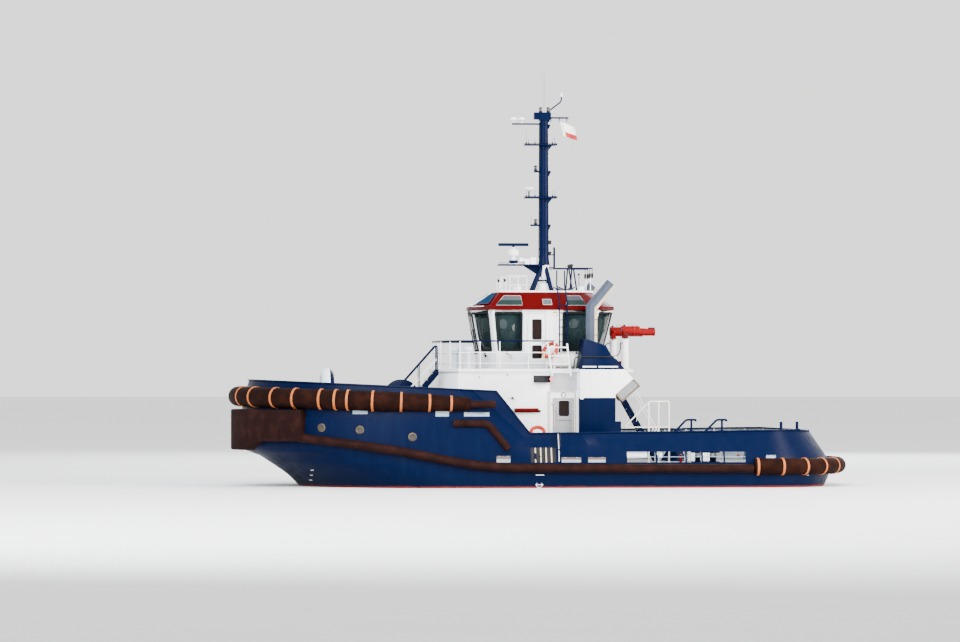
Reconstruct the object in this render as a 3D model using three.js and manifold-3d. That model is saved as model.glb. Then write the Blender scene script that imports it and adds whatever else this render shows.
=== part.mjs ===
// Harbour tug, about 24.5 m long, with two steerable thrusters aft.
// Millimetres. +X is the bow, +Y is port, +Z is up. The origin is amidships on the centreline, at the
// waterline.
import * as THREE from "three";
import { mergeVertices } from "three/addons/utils/BufferGeometryUtils.js";
import Module from "manifold-3d";

const wasm = await Module();
wasm.setup();

// Driving dimensions
const SEAT = 0.3; // gap between pieces that rest on each other
const RUN = 8; // running clearance round moving pieces
const MAIN_DECK = 940;
const FORE_DECK = 2720;
const DECK_STEP_X = 2200;
const KEEL = -3660;
const HALF_BEAM = 5300;
const PLATE = 90; // bulwark thickness
const BULWARK_FORE_TOP = 3760;
const BULWARK_BOW_TOP = 4190;
const BULWARK_AFT_TOP = 2130;
const BULWARK_STERN_TOP = 2250;

const BOAT_DECK = 4570; // top of the deckhouse
const BOAT_DECK_PLATE = 100;
const HOUSE_HALF = 3350;
const HOUSE_AFT = -2750;
const HOUSE_WALL = 80;

const SILL = 5260;
const WINDOW_TOP = 6850;
const EAVE = 6910;
const ROOF_TOP = 7610;
const CABIN_WALL = 80;
const BAY_FORE = 760; // vertical door bay in the wheelhouse side
const BAY_AFT = -760;
const BAY_HALF = 2390;

const CASING_IN = 2460;
const CASING_OUT = 3750;
const RAIL_TOP = 5680;

const MAST_X = -330;
const MAST_TOP = 14750;
const RADAR_X = 890;

const WINCH = { x: 5350, z: 3560, drum: 330, flange: 620, halfLength: 720 };
const MONITOR = { x: -3330, y: 1750, z: 6100 };
const THRUSTER = { x: -8600, y: 2600, z: -3450, nozzle: 1400, prop: 1090 };
const TRUNK_BOTTOM = -1650;

// Hull form: one row for each level, from the keel up, with its height, bow end, stern end, half-breadth,
// the x where the bow curve and the stern curve start, and how square each curve is.
const LEVELS = [
  [KEEL, 5200, -3500, 500, 0, -1500, 1.8, 2.0],
  [-3250, 6700, -4700, 2500, 0, -2500, 1.8, 2.2],
  [-2500, 7600, -6000, 4000, 800, -3600, 1.9, 2.6],
  [-1850, 8100, -6900, 4650, 1500, -4500, 1.9, 3.0],
  [-1200, 8550, -9300, 5000, 2200, -6500, 2.0, 3.0],
  [-600, 8950, -10700, 5180, 2800, -7600, 2.0, 2.8],
  [0, 9400, -11300, 5260, 3400, -8000, 2.05, 2.6],
  [450, 9850, -11560, 5290, 4000, -8200, 2.1, 2.4],
  [770, 10300, -11650, 5300, 4400, -8300, 2.15, 2.3],
  [940, 10560, -11650, HALF_BEAM, 4600, -8300, 2.2, 2.3],
  [950, 10580, -11620, HALF_BEAM, 4600, -8300, 2.2, 2.3],
  [1200, 10960, -11450, HALF_BEAM, 4600, -8300, 2.2, 2.3],
  [1400, 11500, -11312, 5290, 4600, -8300, 2.2, 2.3],
  [1600, 11680, -11168, 5280, 4600, -8300, 2.2, 2.3],
  [2260, 11680, -10690, 5240, 4600, -8300, 2.2, 2.3],
  [2900, 11680, -10620, 5180, 4600, -8300, 2.2, 2.3],
  [3300, 11630, -10620, 5100, 4600, -8300, 2.2, 2.3],
  [4400, 11300, -10620, 4790, 4600, -8300, 2.2, 2.3],
].map(([z, bow, stern, half, bowFrom, sternFrom, bowRound, sternRound]) => ({
  z, bow, stern, half, bowFrom, sternFrom, bowRound, sternRound,
}));
const BOW_STEPS = 9;
const STERN_STEPS = 6;
const TUMBLEHOME = 0.3; // inward lean of the bulwark abaft the knuckle
const GATE_FORE = -330; // upright panel in the side bulwark
const mix = (a, b, t) => a + (b - a) * t;
const along = (v, a, b) => (v - a) / (b - a);
const kneeFore = (z) => mix(880, 2300, Math.max(0, along(z, 1270, 2580)));
const kneeAft = (z) => mix(-1700, -1200, Math.max(0, along(z, 1200, 2000)));

function levelAt(z) {
  const i = Math.min(Math.max(LEVELS.findIndex((l) => l.z >= z), 1), LEVELS.length - 1);
  const t = along(z, LEVELS[i - 1].z, LEVELS[i].z);
  return Object.fromEntries(Object.keys(LEVELS[0]).map((k) => [k, mix(LEVELS[i - 1][k], LEVELS[i][k], t)]));
}

// The waterline curve of one level, as x and y from the bow along port to the stern.
function portCurve(level, grow = 0) {
  const half = level.half + grow;
  const lean = TUMBLEHOME * Math.min(Math.max(level.z - 950, 0), 1310);
  const upper = level.z >= 950;
  const points = [];
  for (let i = 0; i <= BOW_STEPS; i++) {
    const a = (i / BOW_STEPS) * (Math.PI / 2);
    const reach = level.bow + grow - level.bowFrom;
    points.push([
      level.bowFrom + reach * Math.cos(a) ** (2 / level.bowRound),
      half * Math.sin(a) ** (2 / level.bowRound),
    ]);
  }
  const knee = kneeFore(level.z);
  const gate = kneeAft(level.z);
  const side = upper
    ? [[knee, 0], [knee - 600, 1], [GATE_FORE, 1], [GATE_FORE - 20, 0], [gate, 0], [gate - 500, 1]]
    : [1, 2, 3, 4, 5, 6].map((i) => [mix(level.bowFrom, level.sternFrom, i / 7), 0]);
  side.forEach(([x, leaning]) => points.push([x, half - lean * leaning]));
  for (let i = 0; i <= STERN_STEPS; i++) {
    const a = (i / STERN_STEPS) * (Math.PI / 2);
    const reach = level.sternFrom - level.stern + grow;
    points.push([
      level.sternFrom - reach * Math.sin(a) ** (2 / level.sternRound),
      (half - lean) * Math.cos(a) ** (2 / level.sternRound),
    ]);
  }
  points[0][1] = 0;
  points[points.length - 1][1] = 0;
  return points;
}

// Half-breadth and outward direction of the hull side at x.
function sideAt(x, z) {
  const curve = portCurve(levelAt(z));
  const i = Math.max(curve.findIndex((p, n) => n > 0 && p[0] <= x), 1);
  const [a, b] = [curve[i - 1], curve[i]];
  const t = a[0] === b[0] ? 0 : along(x, a[0], b[0]);
  const length = Math.hypot(b[0] - a[0], b[1] - a[1]);
  return { y: mix(a[1], b[1], t), normal: [(b[1] - a[1]) / length, -(b[0] - a[0]) / length] };
}

// Solids
const bodyOf = (positions, index) => {
  const make = (tris) =>
    new wasm.Manifold(
      new wasm.Mesh({
        numProp: 3,
        vertProperties: new Float32Array(positions),
        triVerts: new Uint32Array(tris),
      }),
    );
  const made = make(index);
  if (made.volume() > 0) return made;
  const turned = [...index];
  for (let i = 0; i < turned.length; i += 3) {
    turned[i + 1] = index[i + 2];
    turned[i + 2] = index[i + 1];
  }
  return make(turned);
};

function solid(geometry) {
  const g = geometry.clone();
  g.deleteAttribute("normal");
  g.deleteAttribute("uv");
  const merged = mergeVertices(g, 1e-3);
  return bodyOf(merged.attributes.position.array, merged.index.array);
}

const union = (...list) => list.flat().reduce((a, b) => a.add(b));
const cut = (body, ...list) => list.flat().reduce((a, b) => a.subtract(b), body);

// A skin over rings of equal point count, closed by a fan at each end. The second half of a ring that is
// symmetrical about the centreline gets its facets mirrored.
function loft(rings, symmetrical = false) {
  const n = rings[0].length;
  const positions = rings.flat(2);
  const index = [];
  for (let r = 0; r + 1 < rings.length; r++)
    for (let i = 0; i < n; i++) {
      const j = (i + 1) % n;
      const [a, b, c, d] = [r * n + i, r * n + j, (r + 1) * n + j, (r + 1) * n + i];
      if (symmetrical && i >= n / 2) index.push(a, b, d, b, c, d);
      else index.push(a, b, c, a, c, d);
    }
  [rings[0], rings[rings.length - 1]].forEach((ring, end) => {
    const centre = positions.length / 3;
    [0, 1, 2].forEach((k) => positions.push(ring.reduce((s, p) => s + p[k], 0) / n));
    const first = end * (rings.length - 1) * n;
    for (let i = 0; i < n; i++) {
      const j = (i + 1) % n;
      if (end) index.push(centre, first + i, first + j);
      else index.push(centre, first + j, first + i);
    }
  });
  return bodyOf(positions, index);
}

const box = (x0, x1, y0, y1, z0, z1) => {
  const g = new THREE.BoxGeometry(x1 - x0, y1 - y0, z1 - z0);
  return solid(g.translate((x0 + x1) / 2, (y0 + y1) / 2, (z0 + z1) / 2));
};

// A flat outline pushed along the axis that is missing from its plane.
function prism(plane, points, from, to) {
  const shape = new THREE.Shape(points.map(([u, v]) => new THREE.Vector2(u, v)));
  const g = new THREE.ExtrudeGeometry(shape, { depth: to - from, bevelEnabled: false });
  if (plane === "xy") g.translate(0, 0, from);
  if (plane === "xz") g.rotateX(Math.PI / 2).translate(0, to, 0);
  if (plane === "yz") g.rotateZ(Math.PI / 2).rotateY(Math.PI / 2).translate(from, 0, 0);
  return solid(g);
}

function rod(a, b, radius, sides = 8, endRadius = radius) {
  const from = new THREE.Vector3(...a);
  const to = new THREE.Vector3(...b);
  const way = to.clone().sub(from);
  const g = new THREE.CylinderGeometry(endRadius, radius, way.length(), sides);
  const turn = new THREE.Quaternion().setFromUnitVectors(new THREE.Vector3(0, 1, 0), way.normalize());
  g.applyQuaternion(turn).translate(...from.add(to).multiplyScalar(0.5).toArray());
  return solid(g);
}

// A pipe of straight runs with mitred corners.
function pipe(points, radius, sides = 8) {
  const p = points.map((q) => new THREE.Vector3(...q));
  const runs = p.slice(1).map((q, i) => q.clone().sub(p[i]).normalize());
  let u = new THREE.Vector3(0, 0, 1);
  if (Math.abs(runs[0].z) > 0.9) u.set(1, 0, 0);
  return loft(
    p.map((q, i) => {
      const before = runs[Math.max(i - 1, 0)];
      const after = runs[Math.min(i, runs.length - 1)];
      const t = before.clone().add(after).normalize();
      u = u.clone().addScaledVector(t, -u.dot(t)).normalize();
      const v = t.clone().cross(u);
      const stretch = 1 / Math.max(t.dot(before), 0.5);
      const bend = after.clone().sub(before);
      bend.addScaledVector(t, -bend.dot(t));
      const out = bend.lengthSq() > 1e-6 ? bend.normalize() : u;
      return Array.from({ length: sides }, (_, k) => {
        const a = ((k + 0.5) / sides) * 2 * Math.PI;
        const d = u.clone().multiplyScalar(Math.cos(a)).addScaledVector(v, Math.sin(a));
        d.addScaledVector(out, (stretch - 1) * d.dot(out));
        return q.clone().addScaledVector(d, radius).toArray();
      });
    }),
  );
}

const lathe = (profile, sides) => {
  const g = new THREE.LatheGeometry(profile.map(([r, h]) => new THREE.Vector2(r, h)), sides);
  return g.rotateX(Math.PI / 2);
};

// Materials
const paint = (color, roughness = 0.45, metalness = 0.1) =>
  new THREE.MeshStandardMaterial({ color, roughness, metalness });
const LOOK = {
  navy: paint(0x1b3f8a),
  white: paint(0xe8ebee),
  red: paint(0xb5241d),
  rubber: paint(0x2c1d1a, 0.85, 0),
  steel: paint(0x8f959c, 0.4, 0.7),
  bronze: paint(0x9a7434, 0.35, 0.8),
  glass: paint(0x16282c, 0.1, 0.2),
  dark: paint(0x23262b, 0.6, 0),
};

const tug = new THREE.Group();
function add(name, body, look) {
  const m = body.getMesh();
  const g = new THREE.BufferGeometry();
  g.setAttribute("position", new THREE.BufferAttribute(new Float32Array(m.vertProperties), 3));
  g.setIndex(new THREE.BufferAttribute(new Uint32Array(m.triVerts), 1));
  const mesh = new THREE.Mesh(g, LOOK[look]);
  mesh.name = name;
  tug.add(mesh);
  return mesh;
}
// The same piece to port and, mirrored, to starboard.
function pair(name, body, look) {
  add(name + "_port", body, look);
  add(name + "_starboard", body, look).scale.y = -1;
}
const both = (body) => {
  const m = body.getMesh();
  const positions = Array.from(m.vertProperties, (v, i) => (i % 3 === 1 ? -v : v));
  return body.add(bodyOf(positions, Array.from(m.triVerts)));
};

// Hull
function hullForm(grow = 0, levels = LEVELS) {
  const rings = levels.map((level) => {
    const port = portCurve(level, grow);
    const starboard = port.slice(1, -1).reverse().map(([x, y]) => [x, -y]);
    const z = level.z + (level.z === KEEL ? -grow : 0);
    return [...port, ...starboard].map(([x, y]) => [x, y, z]);
  });
  return loft(rings, true);
}
// The levels that shape the bulwark
const UPPER = LEVELS.filter(({ z }) => [950, 2260, 2900, 3300, 4400].includes(z));
const WIDE = 7000;
const form = hullForm();
const grownForm = hullForm(SEAT);

function hull() {
  const belowDeck = prism(
    "xz",
    [[-13000, -6000], [13000, -6000], [13000, FORE_DECK], [DECK_STEP_X, FORE_DECK],
      [DECK_STEP_X, MAIN_DECK], [-13000, MAIN_DECK]],
    -WIDE, WIDE,
  );
  const skeg = prism("xz", [[4600, -3500], [3600, -4150], [-6100, -4150], [-7400, -1500], [-3000, -2500]],
    -230, 230);
  const trunk = rod([THRUSTER.x, THRUSTER.y, TRUNK_BOTTOM], [THRUSTER.x, THRUSTER.y, -1000], 800, 28);
  return union(form.intersect(belowDeck), skeg, both(trunk), both(bitts(-6200, 3900, MAIN_DECK - 2)),
    capstanBase());
}

const sheer = [
  [12500, BULWARK_BOW_TOP + 40], [11400, BULWARK_BOW_TOP], [8300, 4050], [2060, BULWARK_FORE_TOP],
  [790, BULWARK_AFT_TOP], [-5500, BULWARK_AFT_TOP + 60], [-9700, BULWARK_STERN_TOP],
  [-12500, BULWARK_STERN_TOP - 160],
];

// Freeing ports and slots: from x, to x, from z, to z
const PORTS = [
  [7650, 7080, 2850, 3050],
  [4480, 3960, 2760, 2960],
  [3380, 2390, 2760, 2920],
  [2140, 1590, 985, 1245],
  [-380, -1150, 985, 1190],
  [-1410, -2110, 985, 1190],
  [-8370, -8760, 1140, 1260],
];
const SLOT = { fore: -2910, aft: -7590, low: 985, high: 1385, posts: [-4080, -5240, -5870, -6730], post: 60 };
const GRILLE = { fore: 830, aft: -210, low: 985, high: 1545, bars: 5, bar: 50 };

// Fittings on the port bulwark's top edge: line guards and short posts, by x
const LINE_GUARDS = [-5500, -6700];
const SHORT_POSTS = [-9050, -9790];

function bulwark() {
  const plating = sheer.map(([x, z]) => [x, z - 12]);
  const outline = [...plating, [-12500, MAIN_DECK + SEAT], [DECK_STEP_X - SEAT, MAIN_DECK + SEAT],
    [DECK_STEP_X - SEAT, FORE_DECK + SEAT], [12500, FORE_DECK + SEAT]];
  const base = [{ ...UPPER[0], z: 900 }, ...UPPER];
  const belowSheer = prism("xz", outline, -WIDE, WIDE);
  const shell = hullForm(0, base).subtract(hullForm(-PLATE, base)).intersect(belowSheer);
  const capRun = hullForm(50, base).subtract(hullForm(-PLATE - 110, base));
  const lower = sheer.map(([x, z]) => [x, z - 45]).reverse();
  const cap = capRun.intersect(prism("xz", [...sheer, ...lower], -WIDE, WIDE));
  const holes = PORTS.map(([fore, aft, low, high]) => box(aft, fore, -WIDE, WIDE, low, high));
  const spans = [SLOT.fore, ...SLOT.posts, SLOT.aft];
  for (let i = 0; i + 1 < spans.length; i++) {
    const [x0, x1] = [spans[i + 1] + SLOT.post / 2, spans[i] - SLOT.post / 2];
    holes.push(box(x0, x1, -WIDE, WIDE, SLOT.low, SLOT.high));
  }
  const pitch = (GRILLE.fore - GRILLE.aft) / GRILLE.bars;
  for (let i = 0; i < GRILLE.bars; i++) {
    const x = GRILLE.aft + i * pitch;
    holes.push(box(x + GRILLE.bar / 2, x + pitch - GRILLE.bar / 2, -WIDE, WIDE, GRILLE.low, GRILLE.high));
  }
  const fittings = [];
  const plank = 55;
  LINE_GUARDS.forEach((x) => {
    const y = sideAt(x, 2140).y - PLATE / 2;
    const top = 2650;
    const z = 2120;
    const bars = [
      [[x + 700, z], [x + 240, top], [x + 120, top], [x + 580, z]],
      [[x + 240, top - 70], [x + 240, top], [x - 200, top], [x - 200, top - 70]],
      [[x + 40, z], [x + 40, top - 10], [x - 50, top - 10], [x - 50, z]],
    ];
    bars.forEach((bar) => fittings.push(prism("xz", bar, y - plank, y + plank)));
  });
  SHORT_POSTS.forEach((x) => {
    const y = sideAt(x, 2240).y - PLATE / 2;
    fittings.push(rod([x, y, 2150], [x, y, 2540], 60));
  });
  return union(cut(shell.add(cap), holes), fittings);
}

// Fenders. Each is a section carried along the hull side, scaled by the size at each station.
function fenderAlong(stations, section) {
  return loft(
    stations.map(({ x, y, z, size = 1, normal: [nx, ny] }) =>
      section.map(([out, up]) => [x + nx * out * size, y + ny * out * size, z + up * size])),
  );
}
const round = (radius, sides) =>
  Array.from({ length: sides }, (_, i) => {
    const a = (i / sides) * 2 * Math.PI;
    return [radius * Math.cos(a), radius * Math.sin(a)];
  });
const dShape = (proud, high, sides = 6) => [
  [-70, -high / 2],
  ...Array.from({ length: sides + 1 }, (_, i) => {
    const a = (i / sides - 0.5) * Math.PI;
    return [proud * (0.25 + 0.75 * Math.cos(a)), (high / 2) * Math.sin(a)];
  }),
  [-70, high / 2],
];
const spread = (from, to, steps) => Array.from({ length: steps + 1 }, (_, i) => mix(from, to, i / steps));

// The round fender about the bow: centreline of the tube in plan, its after ends slimmer
const BOW_TUBE = {
  from: 4600, nose: 11800, half: 5190, roundness: 2.2, radius: 390, end: 3170, tail: 2180, thin: 150,
};
const tubeSize = (x) => Math.min(1, mix(0.68, 0.96, along(x, BOW_TUBE.end, 6000)));
const STERN_TUBE = { from: -8300, nose: -11950, half: 5330, roundness: 2.3, radius: 320, end: -7900, z: 810 };
const tubeHeight = (x) => mix(3250, 3520, along(x, 3800, 11800));

function plan(tube, steps) {
  const reach = tube.nose - tube.from;
  const points = spread(0, 1, steps).map((t) => {
    const a = t * (Math.PI / 2);
    const y = t === 1 ? 0 : tube.half * Math.cos(a) ** (2 / tube.roundness);
    return [tube.from + reach * Math.sin(a) ** (2 / tube.roundness), y];
  });
  return [[tube.end, tube.half], ...points];
}
function roundFender(tube, steps, height, size = () => 1) {
  const port = plan(tube, steps);
  const line = [...port, ...port.slice(0, -1).reverse().map(([x, y]) => [x, -y])];
  return line.map(([x, y], i) => {
    const a = line[Math.max(i - 1, 0)];
    const b = line[Math.min(i + 1, line.length - 1)];
    const length = Math.hypot(b[0] - a[0], b[1] - a[1]);
    const out = Math.sign(tube.nose) / length;
    return { x, y, z: height(x), size: size(x), normal: [out * (a[1] - b[1]), out * (b[0] - a[0])] };
  });
}

function bowFender() {
  const { half, end, tail, thin, radius } = BOW_TUBE;
  const tube = fenderAlong(roundFender(BOW_TUBE, 10, tubeHeight, tubeSize), round(radius, 12));
  const z = tubeHeight(end);
  const tails = both(rod([end + 200, half + 60, z], [tail, half + 60, z - 10], thin, 10));
  return tube.add(tails).subtract(grownForm);
}

function sternFender() {
  const tube = fenderAlong(roundFender(STERN_TUBE, 8, () => STERN_TUBE.z), round(STERN_TUBE.radius, 10));
  return tube.subtract(grownForm);
}

const BLOCK = { aft: 9650, top: 3010, bottomAft: 1800, bottomBow: 1430, proud: 400 };
function bowBlock() {
  const ring = portCurve(levelAt(2900), BLOCK.proud);
  const whole = [...ring, ...ring.slice(1, -1).reverse().map(([x, y]) => [x, -y])];
  const body = loft([1300, BLOCK.top].map((z) => whole.map(([x, y]) => [x, y, z])), true);
  const side = [[BLOCK.aft, BLOCK.bottomAft], [11250, BLOCK.bottomAft - 20], [11700, BLOCK.bottomBow],
    [12600, BLOCK.bottomBow], [12600, BLOCK.top + 10], [BLOCK.aft, BLOCK.top + 10]];
  const tubeLine = roundFender(BOW_TUBE, 10, tubeHeight);
  const tubeRoom = fenderAlong(tubeLine, round(BOW_TUBE.radius + SEAT * 2, 12));
  return body.intersect(prism("xz", side, -WIDE, WIDE)).subtract(grownForm).subtract(tubeRoom);
}

// Height of the long side fender by x
const SIDE_RUN = [[BLOCK.aft + 200, 1960], [7650, 1690], [5850, 1425], [4700, 1200], [3800, 1025], [2750, 855],
  [1700, 790], [500, 765], [STERN_TUBE.end + 40, 740]];
const SIDE_FENDER = { proud: 330, high: 345 };
function sideFender() {
  const stations = [];
  SIDE_RUN.slice(1).forEach(([x1, z1], i) => {
    const [x0, z0] = SIDE_RUN[i];
    const steps = x0 > 5000 ? 3 : 1;
    spread(0, 1, steps).slice(i ? 1 : 0).forEach((t) => stations.push([mix(x0, x1, t), mix(z0, z1, t)]));
  });
  const line = stations.map(([x, z]) => ({ x, z, ...sideAt(x, Math.min(z, 949)) }));
  line.forEach((s) => {
    const real = sideAt(s.x, s.z);
    s.y = s.x > 900 ? real.y : HALF_BEAM;
    s.normal = s.x > 900 ? real.normal : [0, 1];
  });
  const tube = fenderAlong(roundFender(STERN_TUBE, 8, () => STERN_TUBE.z),
    round(STERN_TUBE.radius + SEAT * 2, 10));
  const room = box(-20000, BLOCK.aft - SEAT, 0, WIDE, -WIDE, WIDE);
  const strip = fenderAlong(line, dShape(SIDE_FENDER.proud, SIDE_FENDER.high)).intersect(room);
  return cut(strip, grownForm, hullForm(SEAT, UPPER), tube);
}

// The short cranked fender below the side ports: x and z along its middle
const CRANK_RUN = [[3800, 2490], [2480, 2490], [1690, 1510]];
function crankFender() {
  const line = CRANK_RUN.map(([x, z]) => [x, 5260, z]);
  const bar = pipe(line, 150, 10);
  return bar.subtract(grownForm);
}

// Deckhouse
// Plan corners, port side from the front: x, y at the foot and at the top
const HOUSE_PLAN = [
  { foot: [4300, 0], top: [3980, 0] },
  { foot: [4300, 1900], top: [3980, 1800] },
  { foot: [3650, HOUSE_HALF], top: [3400, HOUSE_HALF] },
  { foot: [HOUSE_AFT, HOUSE_HALF], top: [HOUSE_AFT, HOUSE_HALF] },
  { foot: [HOUSE_AFT, 0], top: [HOUSE_AFT, 0] },
];
const ringOf = (points) => [...points, ...points.slice(1, -1).reverse().map(([x, y, z]) => [x, -y, z])];
const inset = ([x, y], wall) => [x > 0 ? x - wall : x + wall, y === 0 ? 0 : y - wall * (y > 2200 ? 1 : 0.55)];
function houseForm(wall, from, to) {
  const ring = (key, z) => ringOf(HOUSE_PLAN.map((c) => [...inset(c[key], wall), z]));
  return loft([ring("foot", from), ring("top", to)], true);
}
const HOUSE_DOOR = { fore: -270, aft: -1110, low: 1350, high: 3450, thick: 60 };
function deckhouse() {
  const top = BOAT_DECK - BOAT_DECK_PLATE - SEAT;
  const walls = houseForm(0, MAIN_DECK + SEAT, top)
    .subtract(houseForm(HOUSE_WALL, MAIN_DECK - 100, top + 50));
  const step = box(DECK_STEP_X - SEAT, 6000, -WIDE, WIDE, 0, FORE_DECK + SEAT);
  const door = box(HOUSE_DOOR.aft, HOUSE_DOOR.fore, -WIDE, WIDE, HOUSE_DOOR.low, HOUSE_DOOR.high);
  const casings = both(box(-3500, -1290 + SEAT, CASING_IN - SEAT, 4000, 0, 5000));
  const [foot, head] = [MAIN_DECK + 3, top - 3];
  const recess = { fore: -1290 + 4, side: CASING_IN - 4 };
  const returns = both(box(HOUSE_AFT + 4, recess.fore + HOUSE_WALL, recess.side - HOUSE_WALL, recess.side,
    foot, head));
  const front = both(box(recess.fore, recess.fore + HOUSE_WALL, recess.side - 40, HOUSE_HALF - 4, foot,
    head));
  const lugs = both(union([HOUSE_DOOR.low + 300, HOUSE_DOOR.high - 300].map((z) =>
    box(HOUSE_DOOR.fore + RUN, HOUSE_DOOR.fore + 70, HOUSE_HALF - 20, HOUSE_HALF + 60, z - 60, z))));
  return union(cut(walls, step, door, casings), cut(returns, step), front, lugs, both(sidelight()));
}

function doorLeaf(door, half, windows) {
  const { fore, aft, low, high, thick } = door;
  const leaf = box(aft + RUN, fore - RUN, half - thick - 5, half + 5, low + RUN, high - RUN);
  const panes = windows.map(([x0, x1, z0, z1]) => box(x0, x1, 0, WIDE, z0, z1));
  const pins = [low + 300, high - 300].map((z) =>
    union(
      rod([fore + 35, half + 35, z + SEAT], [fore + 35, half + 35, z + 110], 22, 8),
      box(fore - 60, fore - RUN, half - 5, half + 50, z + 20, z + 100),
      box(fore - 60, fore + 35, half + RUN, half + 50, z + 20, z + 100),
    ),
  );
  return union(cut(leaf, panes), pins);
}

// Boat deck, between the two casings aft
function boatDeck() {
  const edge = 60;
  const aft = -3560;
  const recess = -1290 + SEAT;
  const port = [[aft, CASING_IN - SEAT], [recess, CASING_IN - SEAT], [recess, HOUSE_HALF + edge],
    [3430, HOUSE_HALF + edge], [4060, 1850]];
  const points = [...[...port].reverse().map(([x, y]) => [x, -y]), ...port];
  const well = box(aft - 10, HOUSE_AFT - 20, -450, 450, 4000, 5000);
  return prism("xy", points, BOAT_DECK - BOAT_DECK_PLATE, BOAT_DECK).subtract(well).add(both(vent()));
}

// Funnel casing, seen from the side: x and z
const CASING = [
  [-1290, MAIN_DECK + SEAT], [-1290, 4570], [-1460, 5770], [-1810, 5680], [-2320, 5500], [-2530, 5110],
  [-2740, 4960], [-3120, 4500], [-3390, 4200], [-2690, 3600], [-2690, 2550], [-2910, 2550],
  [-2910, MAIN_DECK + SEAT],
];
const EXHAUST = { y0: 2520, y1: 2960, foot: 5200 };
function casing() {
  return prism("xz", CASING, CASING_IN, CASING_OUT).subtract(
    box(-2120, -1640, EXHAUST.y0 - 10, EXHAUST.y1 + 10, EXHAUST.foot, 6000),
  );
}
function exhaust() {
  const { y0, y1, foot } = EXHAUST;
  const low = foot + SEAT;
  const side = [[-1660, low], [-1660, 7080], [-2500, 8060], [-2830, 7830], [-2090, 6950], [-2090, low]];
  const mouth = [[-2380, 7850], [-2600, 8100], [-2900, 7900], [-2640, 7640]];
  return prism("xz", side, y0, y1).subtract(prism("xz", mouth, y0 + 40, y1 - 40));
}
function grille() {
  const side = [[-2700, 3640], [-3350, 4215], [-3640, 3930], [-2960, 3340]];
  return prism("xz", side, CASING_IN + 60, CASING_OUT - 60);
}

// Wheelhouse. Plan corners, port side from the front: x, y at the sill and at the window top
const SIDE_SILL = 2150;
const SIDE_HEAD = 2350;
const CABIN = [
  { sill: [2350, 0], head: [2650, 0] },
  { sill: [2350, 550], head: [2650, 640] },
  { sill: [1820, SIDE_SILL], head: [1980, SIDE_HEAD] },
  { sill: [-1850, SIDE_SILL], head: [-2180, SIDE_HEAD] },
  { sill: [-2500, 1150], head: [-2900, 1250] },
  { sill: [-2500, 0], head: [-2900, 0] },
];
function cabinForm(wall, low, high) {
  const lean = (c, z) => {
    const t = Math.max(0, along(z, SILL, WINDOW_TOP));
    const x = mix(c.sill[0], c.head[0], t);
    const y = mix(c.sill[1], c.head[1], t);
    return [x - Math.sign(x) * wall, y === 0 ? 0 : y - wall * (y > 1800 ? 1 : 0.6), z];
  };
  const levels = low < SILL ? [low, SILL, high] : [low, high];
  return loft(levels.map((z) => ringOf(CABIN.map((c) => lean(c, z)))), true);
}
// Window cut through one slanted face between two corners, with a margin at each side
function windowCut(a, b, left, right, low = SILL + 60, high = WINDOW_TOP - 50) {
  const at = (c, z) => {
    const t = along(z, SILL, WINDOW_TOP);
    return [mix(c.sill[0], c.head[0], t), mix(c.sill[1], c.head[1], t)];
  };
  const corner = (z, t, push) => {
    const [p, q] = [at(a, z), at(b, z)];
    const length = Math.hypot(q[0] - p[0], q[1] - p[1]);
    const s = (t * (length - left - right) + left) / length;
    const out = [(p[1] - q[1]) / length, (q[0] - p[0]) / length];
    return [mix(p[0], q[0], s) + out[0] * push, mix(p[1], q[1], s) + out[1] * push, z];
  };
  const ring = (push) => [corner(low, 0, push), corner(low, 1, push), corner(high, 1, push),
    corner(high, 0, push)];
  return loft([ring(-260), ring(260)]);
}
const CABIN_DOOR = { fore: 585, aft: -100, low: 4830, high: 6760, thick: 50 };
const bayPlan = (wall) => [BAY_AFT + wall, BAY_FORE - wall];
function wheelhouse() {
  const low = BOAT_DECK + SEAT;
  const high = EAVE - SEAT;
  const [aft, fore] = bayPlan(0);
  const bays = box(aft, fore, -BAY_HALF, BAY_HALF, low, high);
  const [innerAft, innerFore] = bayPlan(CABIN_WALL);
  const ledge = SILL + 20 - SEAT;
  const inner = union(
    cabinForm(CABIN_WALL, ledge, high + 100),
    cabinForm(CABIN_WALL + 40, low - 100, ledge + 10),
    box(innerAft, innerFore, -BAY_HALF + CABIN_WALL, BAY_HALF - CABIN_WALL, low - 100, high + 100),
  );
  const [f0, f1, f2, f3, f4, f5] = CABIN;
  const bayFore = { sill: [BAY_FORE, SIDE_SILL], head: [BAY_FORE, SIDE_HEAD] };
  const bayAft = { sill: [BAY_AFT, SIDE_SILL], head: [BAY_AFT, SIDE_HEAD] };
  const faces = [
    [f0, f1, 40, 60], [f1, f2, 60, 380], [f2, bayFore, 107, 60], [bayAft, f3, 60, 130], [f3, f4, 130, 60],
    [f4, f5, 60, 40],
  ];
  const windows = union(faces.map(([a, b, left, right]) => windowCut(a, b, left, right)));
  const doors = box(CABIN_DOOR.aft, CABIN_DOOR.fore, -WIDE, WIDE, CABIN_DOOR.low, CABIN_DOOR.high);
  const lugs = both(union([CABIN_DOOR.low + 300, CABIN_DOOR.high - 300].map((z) =>
    box(CABIN_DOOR.fore + RUN, CABIN_DOOR.fore + 70, BAY_HALF - 20, BAY_HALF + 60, z - 60, z))));
  return union(cut(cabinForm(0, low, high).add(bays), inner, both(windows), doors), lugs);
}
function cabinGlass(front) {
  const ring = cabinForm(CABIN_WALL + 14, SILL + 20, WINDOW_TOP - 10)
    .subtract(cabinForm(CABIN_WALL + 28, SILL + 10, WINDOW_TOP + 60));
  const [from, to] = front ? [BAY_FORE + 10, 4000] : [-4000, BAY_AFT - 10];
  return ring.intersect(box(from, to, -WIDE, WIDE, 0, 9000));
}

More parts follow.
